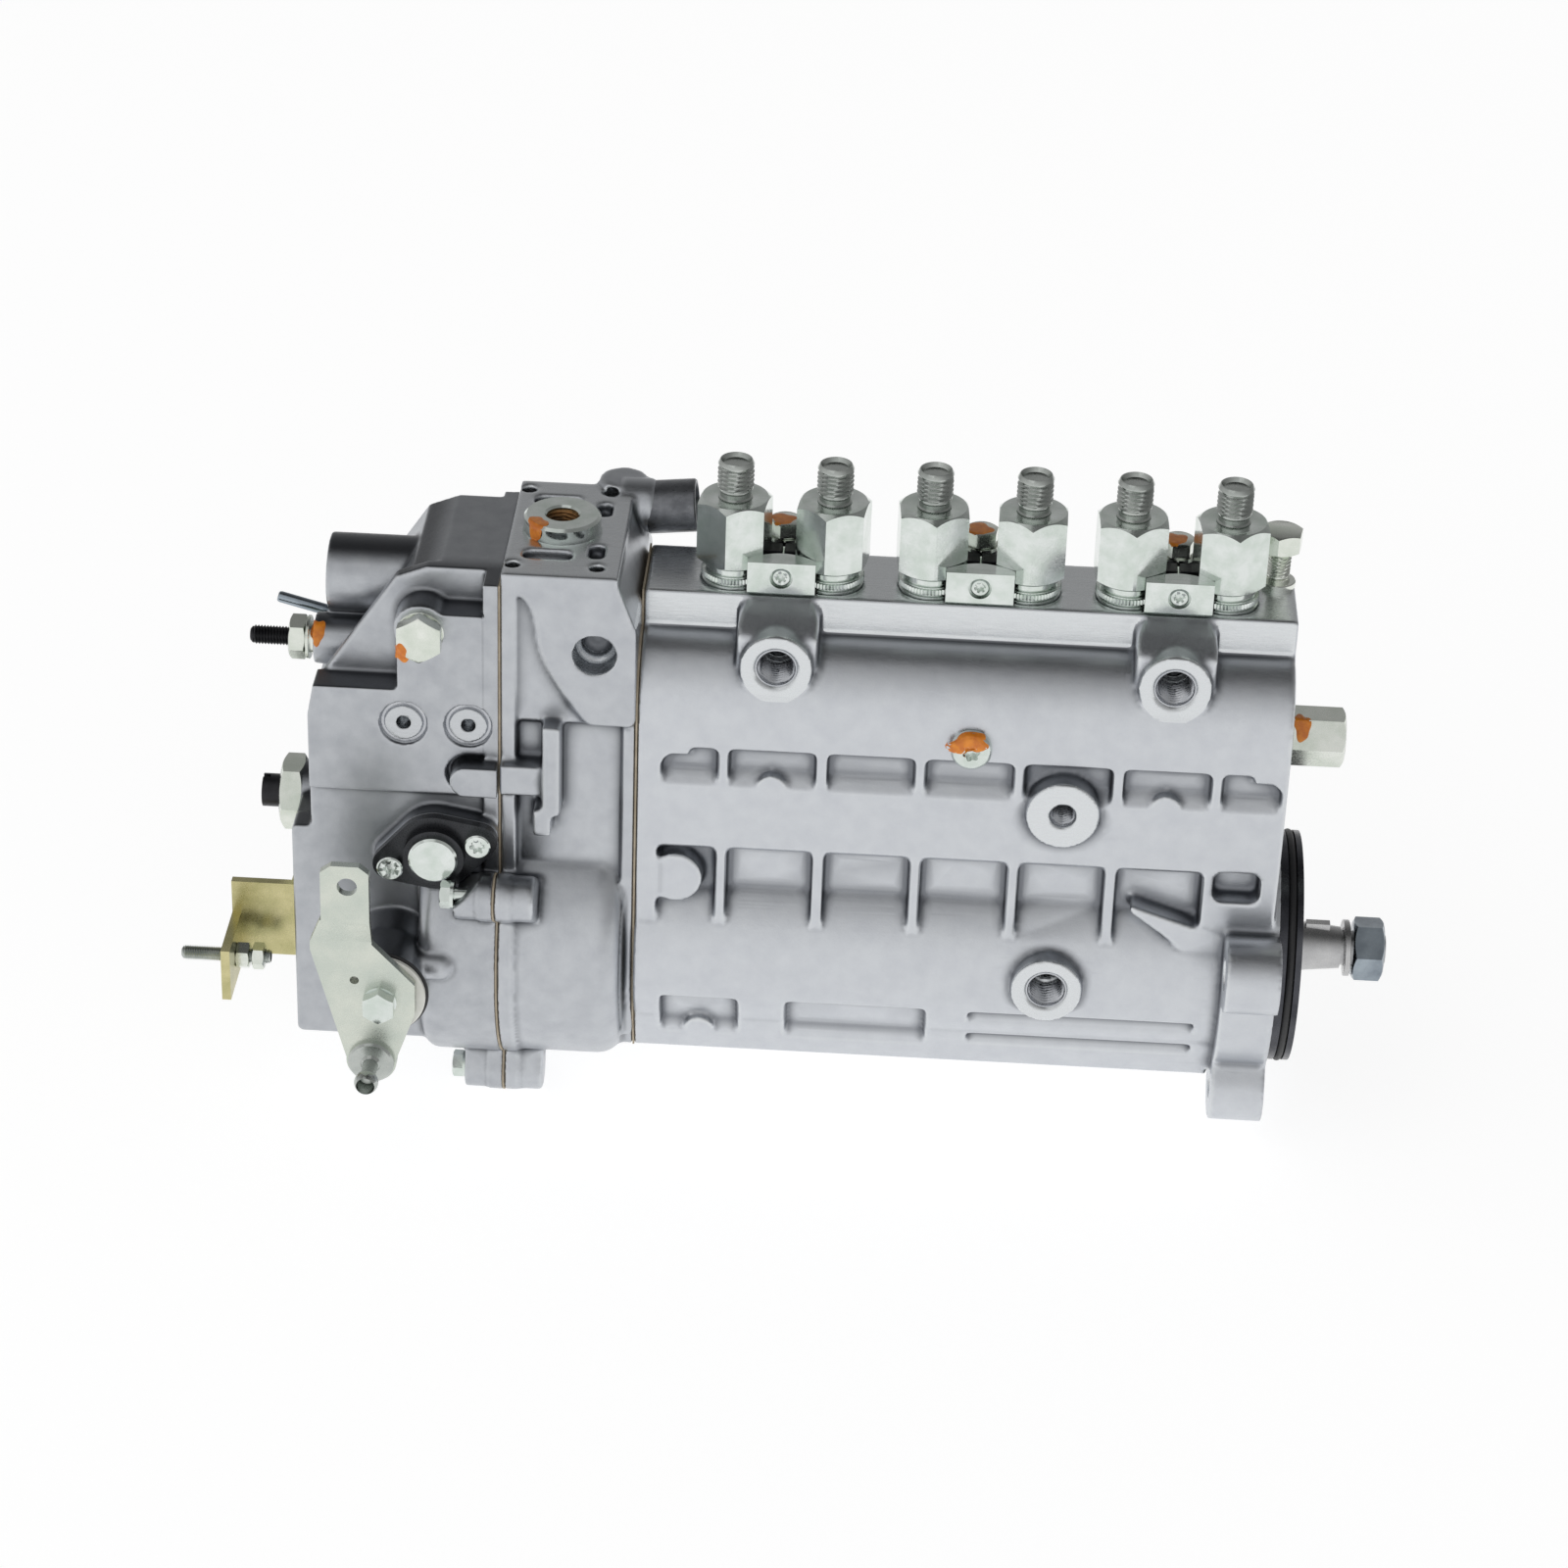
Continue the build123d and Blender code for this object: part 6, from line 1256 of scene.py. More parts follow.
@dataclass
class ClampRow:
    """Jaws between the holders, each a front and a rear one drawn together by a screw."""

    centres: tuple[float, ...] = (-41.0, -105.0, -169.0)
    half: float = 11.0
    low_z: float = 130.1
    high_z: float = 141.8
    front_y: float = -13.0
    waist_y: float = -5.6
    screw_z: float = 136.3
    seat_r: float = 3.6
    head_r: float = 3.1
    seat: float = 2.9

    def front(self, x: float) -> Shape:
        """The front jaw: flat face with the screw's seat, rounded off at the back.

        Args:
            x: Its middle.

        Returns:
            The shape.
        """
        face = [(x - self.half, self.low_z + 0.9), (x + self.half, self.low_z + 0.9)]
        face += [(x + self.half, self.high_z), (x - self.half, self.high_z)]
        hole = ring_points(self.seat_r, 28, x, self.screw_z)
        shape = Shape().plate(Matrix(FACE_ON), face, -self.front_y, -self.front_y - self.seat, [hole])
        depth = self.front_y + self.seat
        plan = [(x - self.half, depth), (x + self.half, depth)]
        rise = self.waist_y - depth
        for step in range(1, 12):
            share = 1 - step / 6
            plan.append((x + self.half * share * 0.94, depth + 0.4 + (rise - 0.4) * (1 - share * share)))
        return shape.plate(Matrix.Identity(4), plan, self.low_z, self.high_z)

    def screw(self, x: float) -> Shape:
        """Screw with a star socket in the seat of a front jaw.

        Args:
            x: Middle of the jaw.

        Returns:
            The screw.
        """
        under = self.front_y + self.seat
        place = placed(Axis.FRONT, (x, under + 0.2, self.screw_z), 15.0)
        return socket_screw(place, self.head_r, 2.4, 2.0, 16.0, 1.5)

    def rear(self, x: float) -> Shape:
        """The rear jaw, narrower and lower, with its slot.

        Args:
            x: Its middle.

        Returns:
            The two halves.
        """
        shape = Shape()
        for side in (-1, 1):
            corners = ((0.35, 0.6), (4.8, 0.6), (6.4, 4.0), (7.4, 6.4), (0.35, 6.4))
            plan = [(x + side * reach, depth) for reach, depth in corners]
            shape.plate(Matrix.Identity(4), plan, self.low_z, self.high_z - 2.4)
        return shape

    def build(self) -> None:
        """Makes the three pairs."""
        for index, x in enumerate(self.centres):
            self.front(x).piece(f"front_jaw_{index + 1}", BRIGHT_ZINC, nodes=["clamp_jaws"], ease=0.35)
            self.rear(x).piece(f"rear_jaw_{index + 1}", BLACK_STEEL, ease=0.3)
            self.screw(x).piece(f"jaw_screw_{index + 1}", BRIGHT_ZINC, nodes=["socket_screws"])


@dataclass
class HeadPlugs:
    """Hex plugs on black washers behind the holders, and the overflow valve."""

    centres: tuple[float, ...] = (-41.0, -105.0, -169.0)
    y: float = 13.5
    top_z: float = 130.0
    sleeve_t: float = 8.4
    shank_r: float = 4.0
    shank_t: float = 8.0
    flats: float = 10.0
    head_t: float = 15.0
    valve_flats: float = 13.0
    valve_head: tuple[float, float] = (13.0, 20.0)
    valve_x: float = -8.0
    turns: tuple[float, ...] = (8.0, 22.0, 15.0)

    def build(self) -> None:
        """Makes the plugs and the valve."""
        for index, (x, turn) in enumerate(zip(self.centres, self.turns)):
            place = placed(Axis.UP, (x, self.y, self.top_z), turn)
            low = self.sleeve_t
            sleeve = [(4.2, 0.0), (6.0, 0.0), (6.0, 1.3), (5.7, 1.5), (5.7, low - 0.3), (5.4, low),
                      (4.2, low)]
            Shape().turned(place, sleeve, 48, closed=True).piece(f"plug_sleeve_{index + 1}", BLACK_STEEL)
            plug = Shape().nut(place, self.flats, low + 1.2, self.head_t)
            shank = [(self.shank_r, -self.shank_t), (self.shank_r, low), (5.9, low), (5.9, low + 1.2)]
            plug.turned(place, shank, 40)
            plug.piece(f"head_plug_{index + 1}", ZINC, nodes=["screw_plugs"])
        place = placed(Axis.UP, (self.valve_x, self.y, self.top_z), 20.0)
        shank, head = self.shank_r, self.valve_head[0]
        valve = Shape().nut(place, self.valve_flats, *self.valve_head)
        collar = [(shank, -self.shank_t), (shank, 0.0), (6.0, 0.0), (6.0, 1.7), (5.7, 2.0), (shank, 2.0),
                  (shank, 3.0)]
        valve.turned(place, collar)
        valve.thread(place, shank, 1.25, 2.9, head + 0.1)
        valve.piece("overflow_valve", ZINC)


# --------------------------------------------------------------------------- openings
@dataclass
class Openings:
    """Threads inside the fuel ports, the oil port and the bracket hole."""

    port_centres: tuple[float, ...] = (-41.0, -169.0)
    port_z: float = 113.0
    port_face_y: float = -31.5
    port_depth: float = 17.5
    oil_centre: Point = (-75.6, -42.0, 2.8)
    oil_depth: float = 15.0
    boss_centre: Point = (-74.2, -38.0, 67.7)
    port_r: float = 6.3
    boss_r: float = 4.25
    pitch: float = 1.5

    def build(self) -> None:
        """Makes the threads."""
        places = [(x, self.port_face_y, self.port_z, self.port_r, self.port_depth) for x in self.port_centres]
        places.append((*self.oil_centre, self.port_r, self.oil_depth))
        places.append((*self.boss_centre, self.boss_r, 15.0))
        for index, (x, y, z, radius, depth) in enumerate(places):
            place = placed(Axis.BACK, (x, y, z))
            thread = Shape().thread(place, radius, self.pitch, 1.2, depth - 1.0, inside=radius + 0.6)
            thread.piece(f"inside_thread_{index + 1}", BORED, nodes=["pump_housing"])


# -------------------------------------------------------------------------- drive end
@dataclass
class DriveEnd:
    """O-ring and lip seal of the pilot, split washer and nut on the shaft end, and the rack cap."""

    pilot_r: float = 39.0
    groove_x: float = 3.0
    o_ring_r: float = 1.5
    nut_flats: float = 19.0
    nut_x: tuple[float, float] = (28.2, 38.4)
    washer_x: tuple[float, float] = (24.6, 28.0)
    washer_r: tuple[float, float] = (6.4, 9.6)
    washer_half: float = 1.0
    washer_rise: float = 1.4
    washer_gap: float = 20.0
    washer_steps: int = 60
    cap_centre: tuple[float, float] = (-14.5, 89.5)
    cap_x: tuple[float, float] = (-2.0, 16.0)
    cap_flats: float = 17.0

    def build(self) -> None:
        """Makes the pieces of the drive end."""
        along = placed(Axis.RIGHT, (0.0, 0.0, 0.0), 17.0)
        x0, x1 = self.nut_x
        Shape().nut(along, self.nut_flats, x0, x1, bore=6.05).piece("shaft_nut_piece", DARK_STEEL, "camshaft",
                                                                  ["shaft_nut"])
        coil = Shape()
        steps = self.washer_steps
        middle = sum(self.washer_x) / 2
        inner, outer = self.washer_r
        rows = []
        for step in range(steps + 1):
            turn = math.radians(self.washer_gap + (360.0 - self.washer_gap) * step / steps)
            shift = middle + self.washer_rise * (step / steps - 0.5)
            for radius, side in ((inner, -1), (outer, -1), (outer, 1), (inner, 1)):
                along_x = shift + side * self.washer_half
                rows.append((along_x, radius * math.cos(turn), radius * math.sin(turn)))
        faces = [[4 * s + i, 4 * s + (i + 1) % 4, 4 * s + 4 + (i + 1) % 4, 4 * s + 4 + i]
                 for s in range(steps) for i in range(4)]
        faces += [[0, 1, 2, 3], [4 * steps + i for i in (3, 2, 1, 0)]]
        coil.add(np.array(rows), faces)
        coil.piece("spring_washer", TURNED, "camshaft", ["lock_washer"], ease=0.25)
        y, z = self.cap_centre
        place = placed(Axis.RIGHT, (0.0, y, z), 30.0)
        cap = Shape().nut(place, self.cap_flats, self.cap_x[0], self.cap_x[1])
        bore = [(5.3, -9.0), (7.0, -8.0), (7.0, self.cap_x[0]), (5.3, self.cap_x[0])]
        cap.turned(place, bore, 48, closed=True)
        cap.piece("rack_cap_piece", ZINC, nodes=["rack_cap"])
        ring = [(self.pilot_r - self.o_ring_r + self.o_ring_r * 1.25 * math.cos(TURN * i / 16),
                 self.groove_x + self.o_ring_r * (1 + math.sin(TURN * i / 16))) for i in range(16)]
        seal = Shape().turned(along, ring, 120, closed=True)
        lip = [(8.6, 1.5), (13.9, 1.5), (13.9, 6.6), (13.5, 7.0), (12.2, 7.0), (11.8, 4.4), (9.6, 4.0),
               (8.6, 5.2)]
        seal.turned(along, lip, 80, closed=True)
        seal.piece("pilot_seals", RUBBER, nodes=["oil_seals"])


# -------------------------------------------------------------------------- governor
@dataclass
class TopRing:
    """Threaded ring in the governor's top plate."""

    centre: tuple[float, float] = (-240.6, -1.0)
    top_z: float = 145.0
    radius: float = 12.5
    stand: float = 5.0
    bore_r: float = 4.9

    def build(self) -> None:
        """Makes the ring."""
        place = placed(Axis.UP, (*self.centre, self.top_z))
        high = self.stand
        rings = [(self.bore_r + 0.7, -10.0), (8.9, -10.0), (8.9, -1.0), (self.radius, -1.0),
                 (self.radius, high - 0.9), (self.radius - 0.9, high), (self.bore_r + 1.0, high),
                 (self.bore_r + 0.3, high - 0.7), (self.bore_r + 0.7, high - 1.6)]
        ring = Shape().turned(place, rings, 96, closed=True)
        ring.piece("top_plate_ring", BRIGHT_ZINC, nodes=["top_ring_insert"])
        bore = Shape().thread(place, self.bore_r + 0.4, 1.25, -8.0, high - 1.7, inside=self.bore_r + 0.9)
        floor = [(1.2, -9.0), (self.bore_r + 0.6, -9.0), (self.bore_r + 0.6, -8.4), (1.6, -8.4)]
        bore.turned(place, floor, 40, closed=True).piece("top_plate_bore", STAINED)


@dataclass
class StopPlate:
    """Zinc plug and star-socket screws of the oval black plate."""

    centre: Point = (-278.2, -46.0, 44.5)
    plug_r: float = 8.1
    plug_t: float = 2.0
    screws: tuple[tuple[float, float], ...] = ((-292.6, 39.5), (-263.8, 49.5))
    plate_y: float = -43.0

    def build(self) -> None:
        """Makes the plug and the screws; the plate keeps its solid."""
        place = placed(Axis.FRONT, self.centre)
        rings = [(5.9, -6.0), (5.9, 0.0), (self.plug_r, 0.0), (self.plug_r, self.plug_t - 0.7),
                 (self.plug_r - 0.7, self.plug_t)]
        Shape().turned(place, rings, 72).piece("plate_plug", BRIGHT_ZINC, nodes=["stop_plate_plug"])
        for index, (x, z) in enumerate(self.screws):
            screw = socket_screw(placed(Axis.FRONT, (x, self.plate_y, z), 8.0), 4.3, 3.2, 2.4, 11.0, 2.0)
            screw.piece(f"plate_screw_{index + 1}", BRIGHT_ZINC)
        coat_node("stop_plate", BLACK_SATIN, 0.5)


@dataclass
class OuterScrews:
    """Cover plug, screws of the back cover and the end plate, and the joint bolts."""

    plug: Point = (-282.6, -37.5, 123.0)
    plug_flats: float = 14.0
    plug_head: tuple[float, float] = (0.6, 6.0)
    bolt_flats: float = 8.0
    bolt_head: tuple[float, float] = (1.1, 4.6)
    back_y: float = 35.0
    back_x: tuple[float, ...] = (-202.0, -105.0, -8.0)
    back_z: tuple[float, ...] = (49.5, 102.5)
    ring: float = 33.0
    pilot_x: float = 8.0
    bolts: tuple[tuple[float, float], ...] = ((-51.0, 34.0), (-20.0, -53.0), (20.0, -53.0), (51.0, 34.0))
    top_bolt: tuple[float, float] = (38.0, 110.0)
    bolt_x: float = -270.8
    top_bolt_x: float = -262.8

    def build(self) -> None:
        """Makes the screws."""
        place = placed(Axis.FRONT, self.plug, 30.0)
        plug = Shape().nut(place, self.plug_flats, *self.plug_head)
        plug.turned(place, [(5.0, -12.0), (5.0, -1.5), (7.6, -1.5), (7.6, 0.3), (7.3, 0.6)], 48)
        plug.piece("cover_plug", ZINC, nodes=["screw_plugs"])
        for index, (x, z) in enumerate((x, z) for x in self.back_x for z in self.back_z):
            place = placed(Axis.BACK, (x, self.back_y, z), 20.0 * index)
            screw = socket_screw(place, 4.3, 3.2, 2.4, 9.0, 2.0)
            screw.piece(f"back_screw_{index + 1}", ZINC)
        for index in range(4):
            turn = math.radians(45 + 90 * index)
            spot = (self.pilot_x - 0.1, self.ring * math.cos(turn), self.ring * math.sin(turn))
            place = placed(Axis.RIGHT, spot, 15.0)
            slot = lobed(1.25, 0.2, 6)
            rings = [(2.0, -16.0), (2.0, -1.9), (3.7, -0.2), (3.7, 0.0), (slot, 0.0), (slot, -1.4)]
            Shape().turned(place, rings, 48).piece(f"pilot_screw_{index + 1}", BRIGHT_ZINC)
        places = [(self.bolt_x, y, z) for y, z in self.bolts] + [(self.top_bolt_x, *self.top_bolt)]
        for index, spot in enumerate(places):
            place = placed(Axis.LEFT, spot, 30.0 + 11.0 * index)
            bolt = Shape().nut(place, self.bolt_flats, *self.bolt_head, both=False)
            bolt.turned(place, [(2.5, -24.0), (2.5, 0.0), (4.6, 0.0), (4.6, self.bolt_head[0])], 40)
            bolt.piece(f"joint_bolt_{index + 1}", BRIGHT_ZINC, nodes=["joint_bolts"])


@dataclass
class GuideScrew:
    """Round-headed star-socket screw that keeps the rack from turning."""

    centre: Point = (-105.0, -34.0, 89.5)
    head_r: float = 6.7
    head_t: float = 4.0

    def build(self) -> None:
        """Makes the screw."""
        place = placed(Axis.FRONT, self.centre, 12.0)
        socket = lobed(2.55, 0.38, 6)
        high = self.head_t
        rings = [(2.9, -14.0), (2.9, 0.0), (self.head_r, 0.0), (self.head_r, high - 1.9),
                 (self.head_r - 0.5, high - 0.9), (self.head_r - 1.6, high - 0.2), (self.head_r - 2.6, high),
                 (socket, high), (socket, high - 2.4)]
        Shape().turned(place, rings, 96).piece("guide_screw", BRIGHT_ZINC, nodes=["rack_guide_screw"])


@dataclass
class LeverGroup:
    """Control lever on its nylon disc and rubber ring, with its bolt and ball stud."""

    pivot: tuple[float, float] = (-293.5, 2.2)
    boss_y: float = -62.0
    ring_r: float = 15.4
    disc_r: float = 14.5
    bore_r: float = 5.3
    lever_y: float = -65.3
    lever_t: float = 3.0
    ball_x: float = -296.6
    ball_z: float = -21.0
    ball_r: float = 4.0
    ball_y: float = -81.3

    def build(self) -> None:
        """Makes the group; the lever keeps its solid with eased edges."""
        x, z = self.pivot
        place = placed(Axis.FRONT, (x, self.boss_y, z))
        ring = [(self.bore_r, 0.0), (self.ring_r - 0.5, 0.0), (self.ring_r, 0.5), (self.ring_r, 0.8),
                (self.ring_r - 0.4, 1.2), (self.bore_r, 1.2)]
        Shape().turned(place, ring, 96, closed=True).piece("rubber_ring", RUBBER, nodes=["lever_spacer"])
        disc = [(self.bore_r, 1.2), (self.disc_r - 0.2, 1.2), (self.disc_r, 1.4), (self.disc_r, 2.7),
                (self.disc_r - 0.4, 3.0), (self.bore_r, 3.0)]
        Shape().turned(place, disc, 96, closed=True).piece("nylon_disc", NYLON, nodes=["lever_spacer"])
        coat_node("control_lever", CREAM_ZINC, 0.3)
        front = self.lever_y - self.lever_t
        place = placed(Axis.FRONT, (x, front, z), 30.0)
        bolt = Shape().nut(place, 10.0, 0.0, 5.2, both=False)
        bolt.turned(place, [(5.6, 0.0), (5.6, 0.6), (5.0, 0.7)], 48)
        bolt.piece("lever_bolt", BRIGHT_ZINC, "control_lever", ["lever_fittings"])
        place = placed(Axis.FRONT, (self.ball_x, front, self.ball_z))
        reach = front - self.ball_y
        ball = [(4.0, -4.6), (4.0, -3.0), (3.0, -3.0), (3.0, 0.0), (7.6, 0.0), (7.6, 1.4), (6.9, 2.1),
                (3.4, 2.3), (2.6, 3.2), (2.4, reach - 4.4), (2.6, reach - 3.3)]
        for step in range(1, 14):
            angle = math.radians(140 - 10 * step)
            ball.append((self.ball_r * math.sin(angle), reach - self.ball_r * math.cos(angle)))
        Shape().turned(place, ball, 64).piece("ball_stud", STUD_ZINC, "control_lever", ["lever_fittings"])


# ----------------------------------------------------------------------- left-hand end
@dataclass
class LeftStops:
    """Stop stud with its lock nut, the slant pin and the slotted screw."""

    stud: Point = (-321.0, -6.0, 102.5)
    stud_r: float = 3.2
    stud_reach: float = 21.5
    nut_flats: float = 13.0
    nut_x: tuple[float, float] = (2.8, 8.4)
    pin_foot: Point = (-307.0, 8.0, 102.0)
    pin_lean: float = 75.0
    pin_r: float = 1.9
    pin_length: float = 29.5
    slotted: Point = (-334.0, 0.0, 40.0)
    slotted_r: float = 5.6
    lock_flats: float = 22.3

    def build(self) -> None:
        """Makes the stops."""
        place = placed(Axis.LEFT, self.stud, 20.0)
        reach = self.stud_reach
        stud = Shape().turned(place, [(2.5, -20.0), (2.5, reach - 0.6), (2.0, reach)], 40)
        stud.thread(place, self.stud_r, 1.0, -1.0, reach - 0.5)
        stud.piece("stop_stud", BLACK_STEEL, nodes=["full_load_stop_screw"])
        low, high = self.nut_x
        nut = Shape().nut(place, self.nut_flats, low, high, bore=3.25)
        washer = [(3.25, low - 1.2), (7.0, low - 1.2), (7.2, low - 1.0), (7.2, low - 0.2), (7.0, low),
                  (3.25, low)]
        nut.turned(place, washer, 64, closed=True)
        nut.turned(place, [(3.25, -0.6), (5.2, -0.6), (5.2, low - 1.2), (3.25, low - 1.2)], 48, closed=True)
        nut.piece("stop_nut", ZINC)
        lean = math.radians(self.pin_lean)
        way = Vector((-math.sin(lean), 0.0, math.cos(lean)))
        pin = Matrix.Translation(Vector(self.pin_foot)) @ way.to_track_quat("Z", "Y").to_matrix().to_4x4()
        radius, long = self.pin_r, self.pin_length
        rings = [(radius, 0.0), (radius, long - 1.1), (radius - 0.2, long - 0.3), (radius - 0.6, long)]
        Shape().turned(pin, rings, 32).piece("slant_pin", DARK_STEEL)
        place = placed(Axis.LEFT, self.slotted, 0.0)
        screw = Shape()
        for side in (-1, 1):
            arc = [(self.slotted_r * math.cos(a), side * self.slotted_r * math.sin(a))
                   for a in np.linspace(math.asin(0.16), math.pi - math.asin(0.16), 24)]
            screw.plate(place, arc, 4.5, 7.0)
        screw.turned(place, [(4.0, -14.0), (4.0, 0.0), (self.slotted_r, 0.0), (self.slotted_r, 4.5)], 56)
        screw.piece("slotted_screw", BLACK_STEEL, nodes=["idle_stop_screw"], ease=0.3)
        nut = Shape().nut(placed(Axis.LEFT, self.slotted, 30.0), self.lock_flats, -7.4, 0.4, bore=4.2)
        nut.piece("slotted_screw_nut", ZINC)


@dataclass
class CableStop:
    """Screw and nuts in the tab of the yellow bracket."""

    place: Point = (-335.0, -32.0, -6.0)
    radius: float = 2.5
    reach: float = 30.0
    nut_flats: float = 8.0
    nuts: tuple[tuple[float, float, float], ...] = ((7.0, 11.5, 10.0), (2.0, 6.0, 25.0))

    def build(self) -> None:
        """Makes the screw and nuts; the bracket keeps its solid with eased edges."""
        frame_ = placed(Axis.LEFT, self.place, 0.0)
        screw = Shape().turned(frame_, [(1.8, 0.0), (1.9, self.reach - 0.6), (1.5, self.reach)], 32)
        screw.thread(frame_, self.radius, 0.8, 0.0, self.reach - 0.4)
        screw.piece("cable_screw", STUD_ZINC, nodes=["bracket_screw"])
        for index, (low, high, turn) in enumerate(self.nuts):
            place = placed(Axis.LEFT, self.place, turn)
            nut = Shape().nut(place, self.nut_flats, low, high, bore=self.radius + 0.05)
            nut.piece(f"cable_nut_{index + 1}", ZINC)
        coat_node("cable_bracket", YELLOW_ZINC, 0.35)


# ------------------------------------------------------------------------ paint marks
@dataclass(frozen=True)
class Dab:
    """One dab of marking paint: where it lies, the side it was put on from, and its size."""

    name: str
    centre: Point
    side: Point
    width: float
    height: float
    turn: float = 0.0
    seed: float = 0.0
    body: str = "root"


@dataclass
class PaintMarks:
    """Dabs of orange marking paint over the settings that were fixed at the test bench."""

    dabs: tuple[Dab, ...] = (
        Dab("guide", (-106.2, -38.0, 93.0), (0.0, -1.0, 0.35), 13.5, 7.0, 0.25, 1.0),
        Dab("cover_plug", (-288.0, -40.0, 119.0), (-0.25, -1.0, 0.0), 5.6, 6.0, 0.2, 2.0),
        Dab("cover_plug_foot", (-289.0, -36.0, 114.6), (0.0, -1.0, 0.2), 5.4, 6.6, 0.5, 9.0),
        Dab("stop_nut", (-319.6, -9.5, 105.8), (0.0, -0.8, 0.7), 5.4, 8.5, 0.0, 3.0),
        Dab("rack_cap", (1.6, -21.0, 96.5), (0.0, -0.8, 0.7), 5.5, 9.5, 0.1, 4.0),
        Dab("top_ring", (-248.4, -9.4, 150.0), (-0.3, -0.6, 1.0), 6.5, 9.0, 0.6, 5.0),
        Dab("plug_1", (-42.2, 12.6, 145.0), (0.0, 0.1, 1.0), 8.5, 8.0, 0.3, 6.0),
        Dab("plug_2", (-105.8, 12.8, 145.0), (0.0, 0.1, 1.0), 9.0, 8.5, 0.0, 7.0),
        Dab("plug_3", (-169.9, 12.9, 145.0), (0.0, 0.1, 1.0), 8.5, 8.0, 0.9, 8.0),
    )
    rings: int = 14
    spokes: int = 40
    thick: float = 0.22
    step: float = 2.6
    bridge: float = 0.35
    broad_wave: float = 0.13
    fine_wave: float = 0.08
    above: float = 30.0
    below: float = 15.0
    sink: float = 0.03

    def drape(self, depth: np.ndarray) -> np.ndarray:
        """Lets paint bridge narrow gaps, as thick paint does.

        Args:
            depth: How far down each point of the dab meets a surface, by ring and spoke.

        Returns:
            The depth of the paint's foot at each point.
        """
        padded = np.pad(np.nan_to_num(depth, nan=1e3), ((1, 1), (0, 0)), mode="edge")
        near = [np.roll(padded, turn, axis=1)[1 + shift:len(depth) + 1 + shift]
                for turn in (-1, 0, 1) for shift in (-1, 0, 1)]
        least = np.min(near, axis=0)
        filled = np.minimum(np.where(np.isnan(depth), 1e3, depth), least + self.bridge)
        return np.where(filled > self.above + self.below + 1.0, np.nan, filled)

    def surface(self) -> BVHTree:
        """Gathers what paint can lie on.

        Returns:
            Tree of every visible piece's faces, in millimetres.
        """
        points: list[Vector] = []
        faces: list[list[int]] = []
        graph = bpy.context.evaluated_depsgraph_get()
        for thing in bpy.context.scene.objects:
            if thing.type != "MESH" or thing.hide_render:
                continue
            mesh = thing.evaluated_get(graph).to_mesh()
            shift = len(points)
            points += [thing.matrix_world @ vertex.co / MM for vertex in mesh.vertices]
            faces += [[shift + index for index in polygon.vertices] for polygon in mesh.polygons]
        return BVHTree.FromPolygons(points, faces)

    def lay(self, dab: Dab, tree: BVHTree) -> None:
        """Lays one dab over what lies under it.

        Args:
            dab: The dab.
            tree: Faces of the pump.
        """
        side = Vector(dab.side).normalized()
        across = side.cross(Vector((0.0, 0.0, 1.0)))
        across = (across if across.length > 0.1 else side.cross(Vector((1.0, 0.0, 0.0)))).normalized()
        over = side.cross(across)
        depth = np.full((self.rings + 1, self.spokes), np.nan)
        spots = []
        for ring in range(self.rings + 1):
            for spoke in range(self.spokes):
                angle = TURN * spoke / self.spokes
                broad = math.sin(3 * angle + dab.seed)
                fine = math.sin(5 * angle + 2.3 * dab.seed)
                wave = 1 + self.broad_wave * broad + self.fine_wave * fine
                reach = wave * ring / self.rings / 2
                u, v = dab.width * reach * math.cos(angle), dab.height * reach * math.sin(angle)
                cos_t, sin_t = math.cos(dab.turn), math.sin(dab.turn)
                spot = Vector(dab.centre) + across * (u * cos_t - v * sin_t) + over * (u * sin_t + v * cos_t)
                start = spot + side * self.above
                hit, _, _, far = tree.ray_cast(start, -side, self.above + self.below)
                spots.append(start)
                if hit is not None:
                    depth[ring, spoke] = far
        draped = self.drape(depth)
        for index, far in enumerate(np.nan_to_num(draped.ravel(), nan=self.above)):
            share = (index // self.spokes) / self.rings
            spots[index] = spots[index] - side * (far - self.thick * (1 - share ** 4) + self.sink)
        faces = []
        for ring in range(self.rings):
            for spoke in range(self.spokes):
                after = (spoke + 1) % self.spokes
                corners = [ring * self.spokes + spoke, ring * self.spokes + after,
                           (ring + 1) * self.spokes + after, (ring + 1) * self.spokes + spoke]
                reach = draped.ravel()[corners]
                if not np.isnan(reach).any() and np.ptp(reach) < self.step:
                    faces.append(corners)
        shape = Shape()
        shape.add(np.array([tuple(spot) for spot in spots]), faces)
        shape.piece(f"paint_{dab.name}", PAINT, dab.body, sharp=70.0)

    def build(self) -> None:
        """Lays every dab."""
        tree = self.surface()
        for dab in self.dabs:
            self.lay(dab, tree)


# -------------------------------------------------------------------- inside the pump
@dataclass
class HiddenWorks:
    """Everything inside the castings, which the solids already shape."""

    elements: int = 6

    def build(self) -> None:
        """Gives each inner piece its finish."""
        for node, finish in NODE_FINISH.items():
            if not frame["nodes"][node].hide_render:
                coat_node(node, finish)
        for element in range(1, self.elements + 1):
            coat_node(f"tappet_{element}", HARD)
            coat_node(f"plunger_{element}", HARD)
            coat_node(f"control_sleeve_{element}", TURNED)


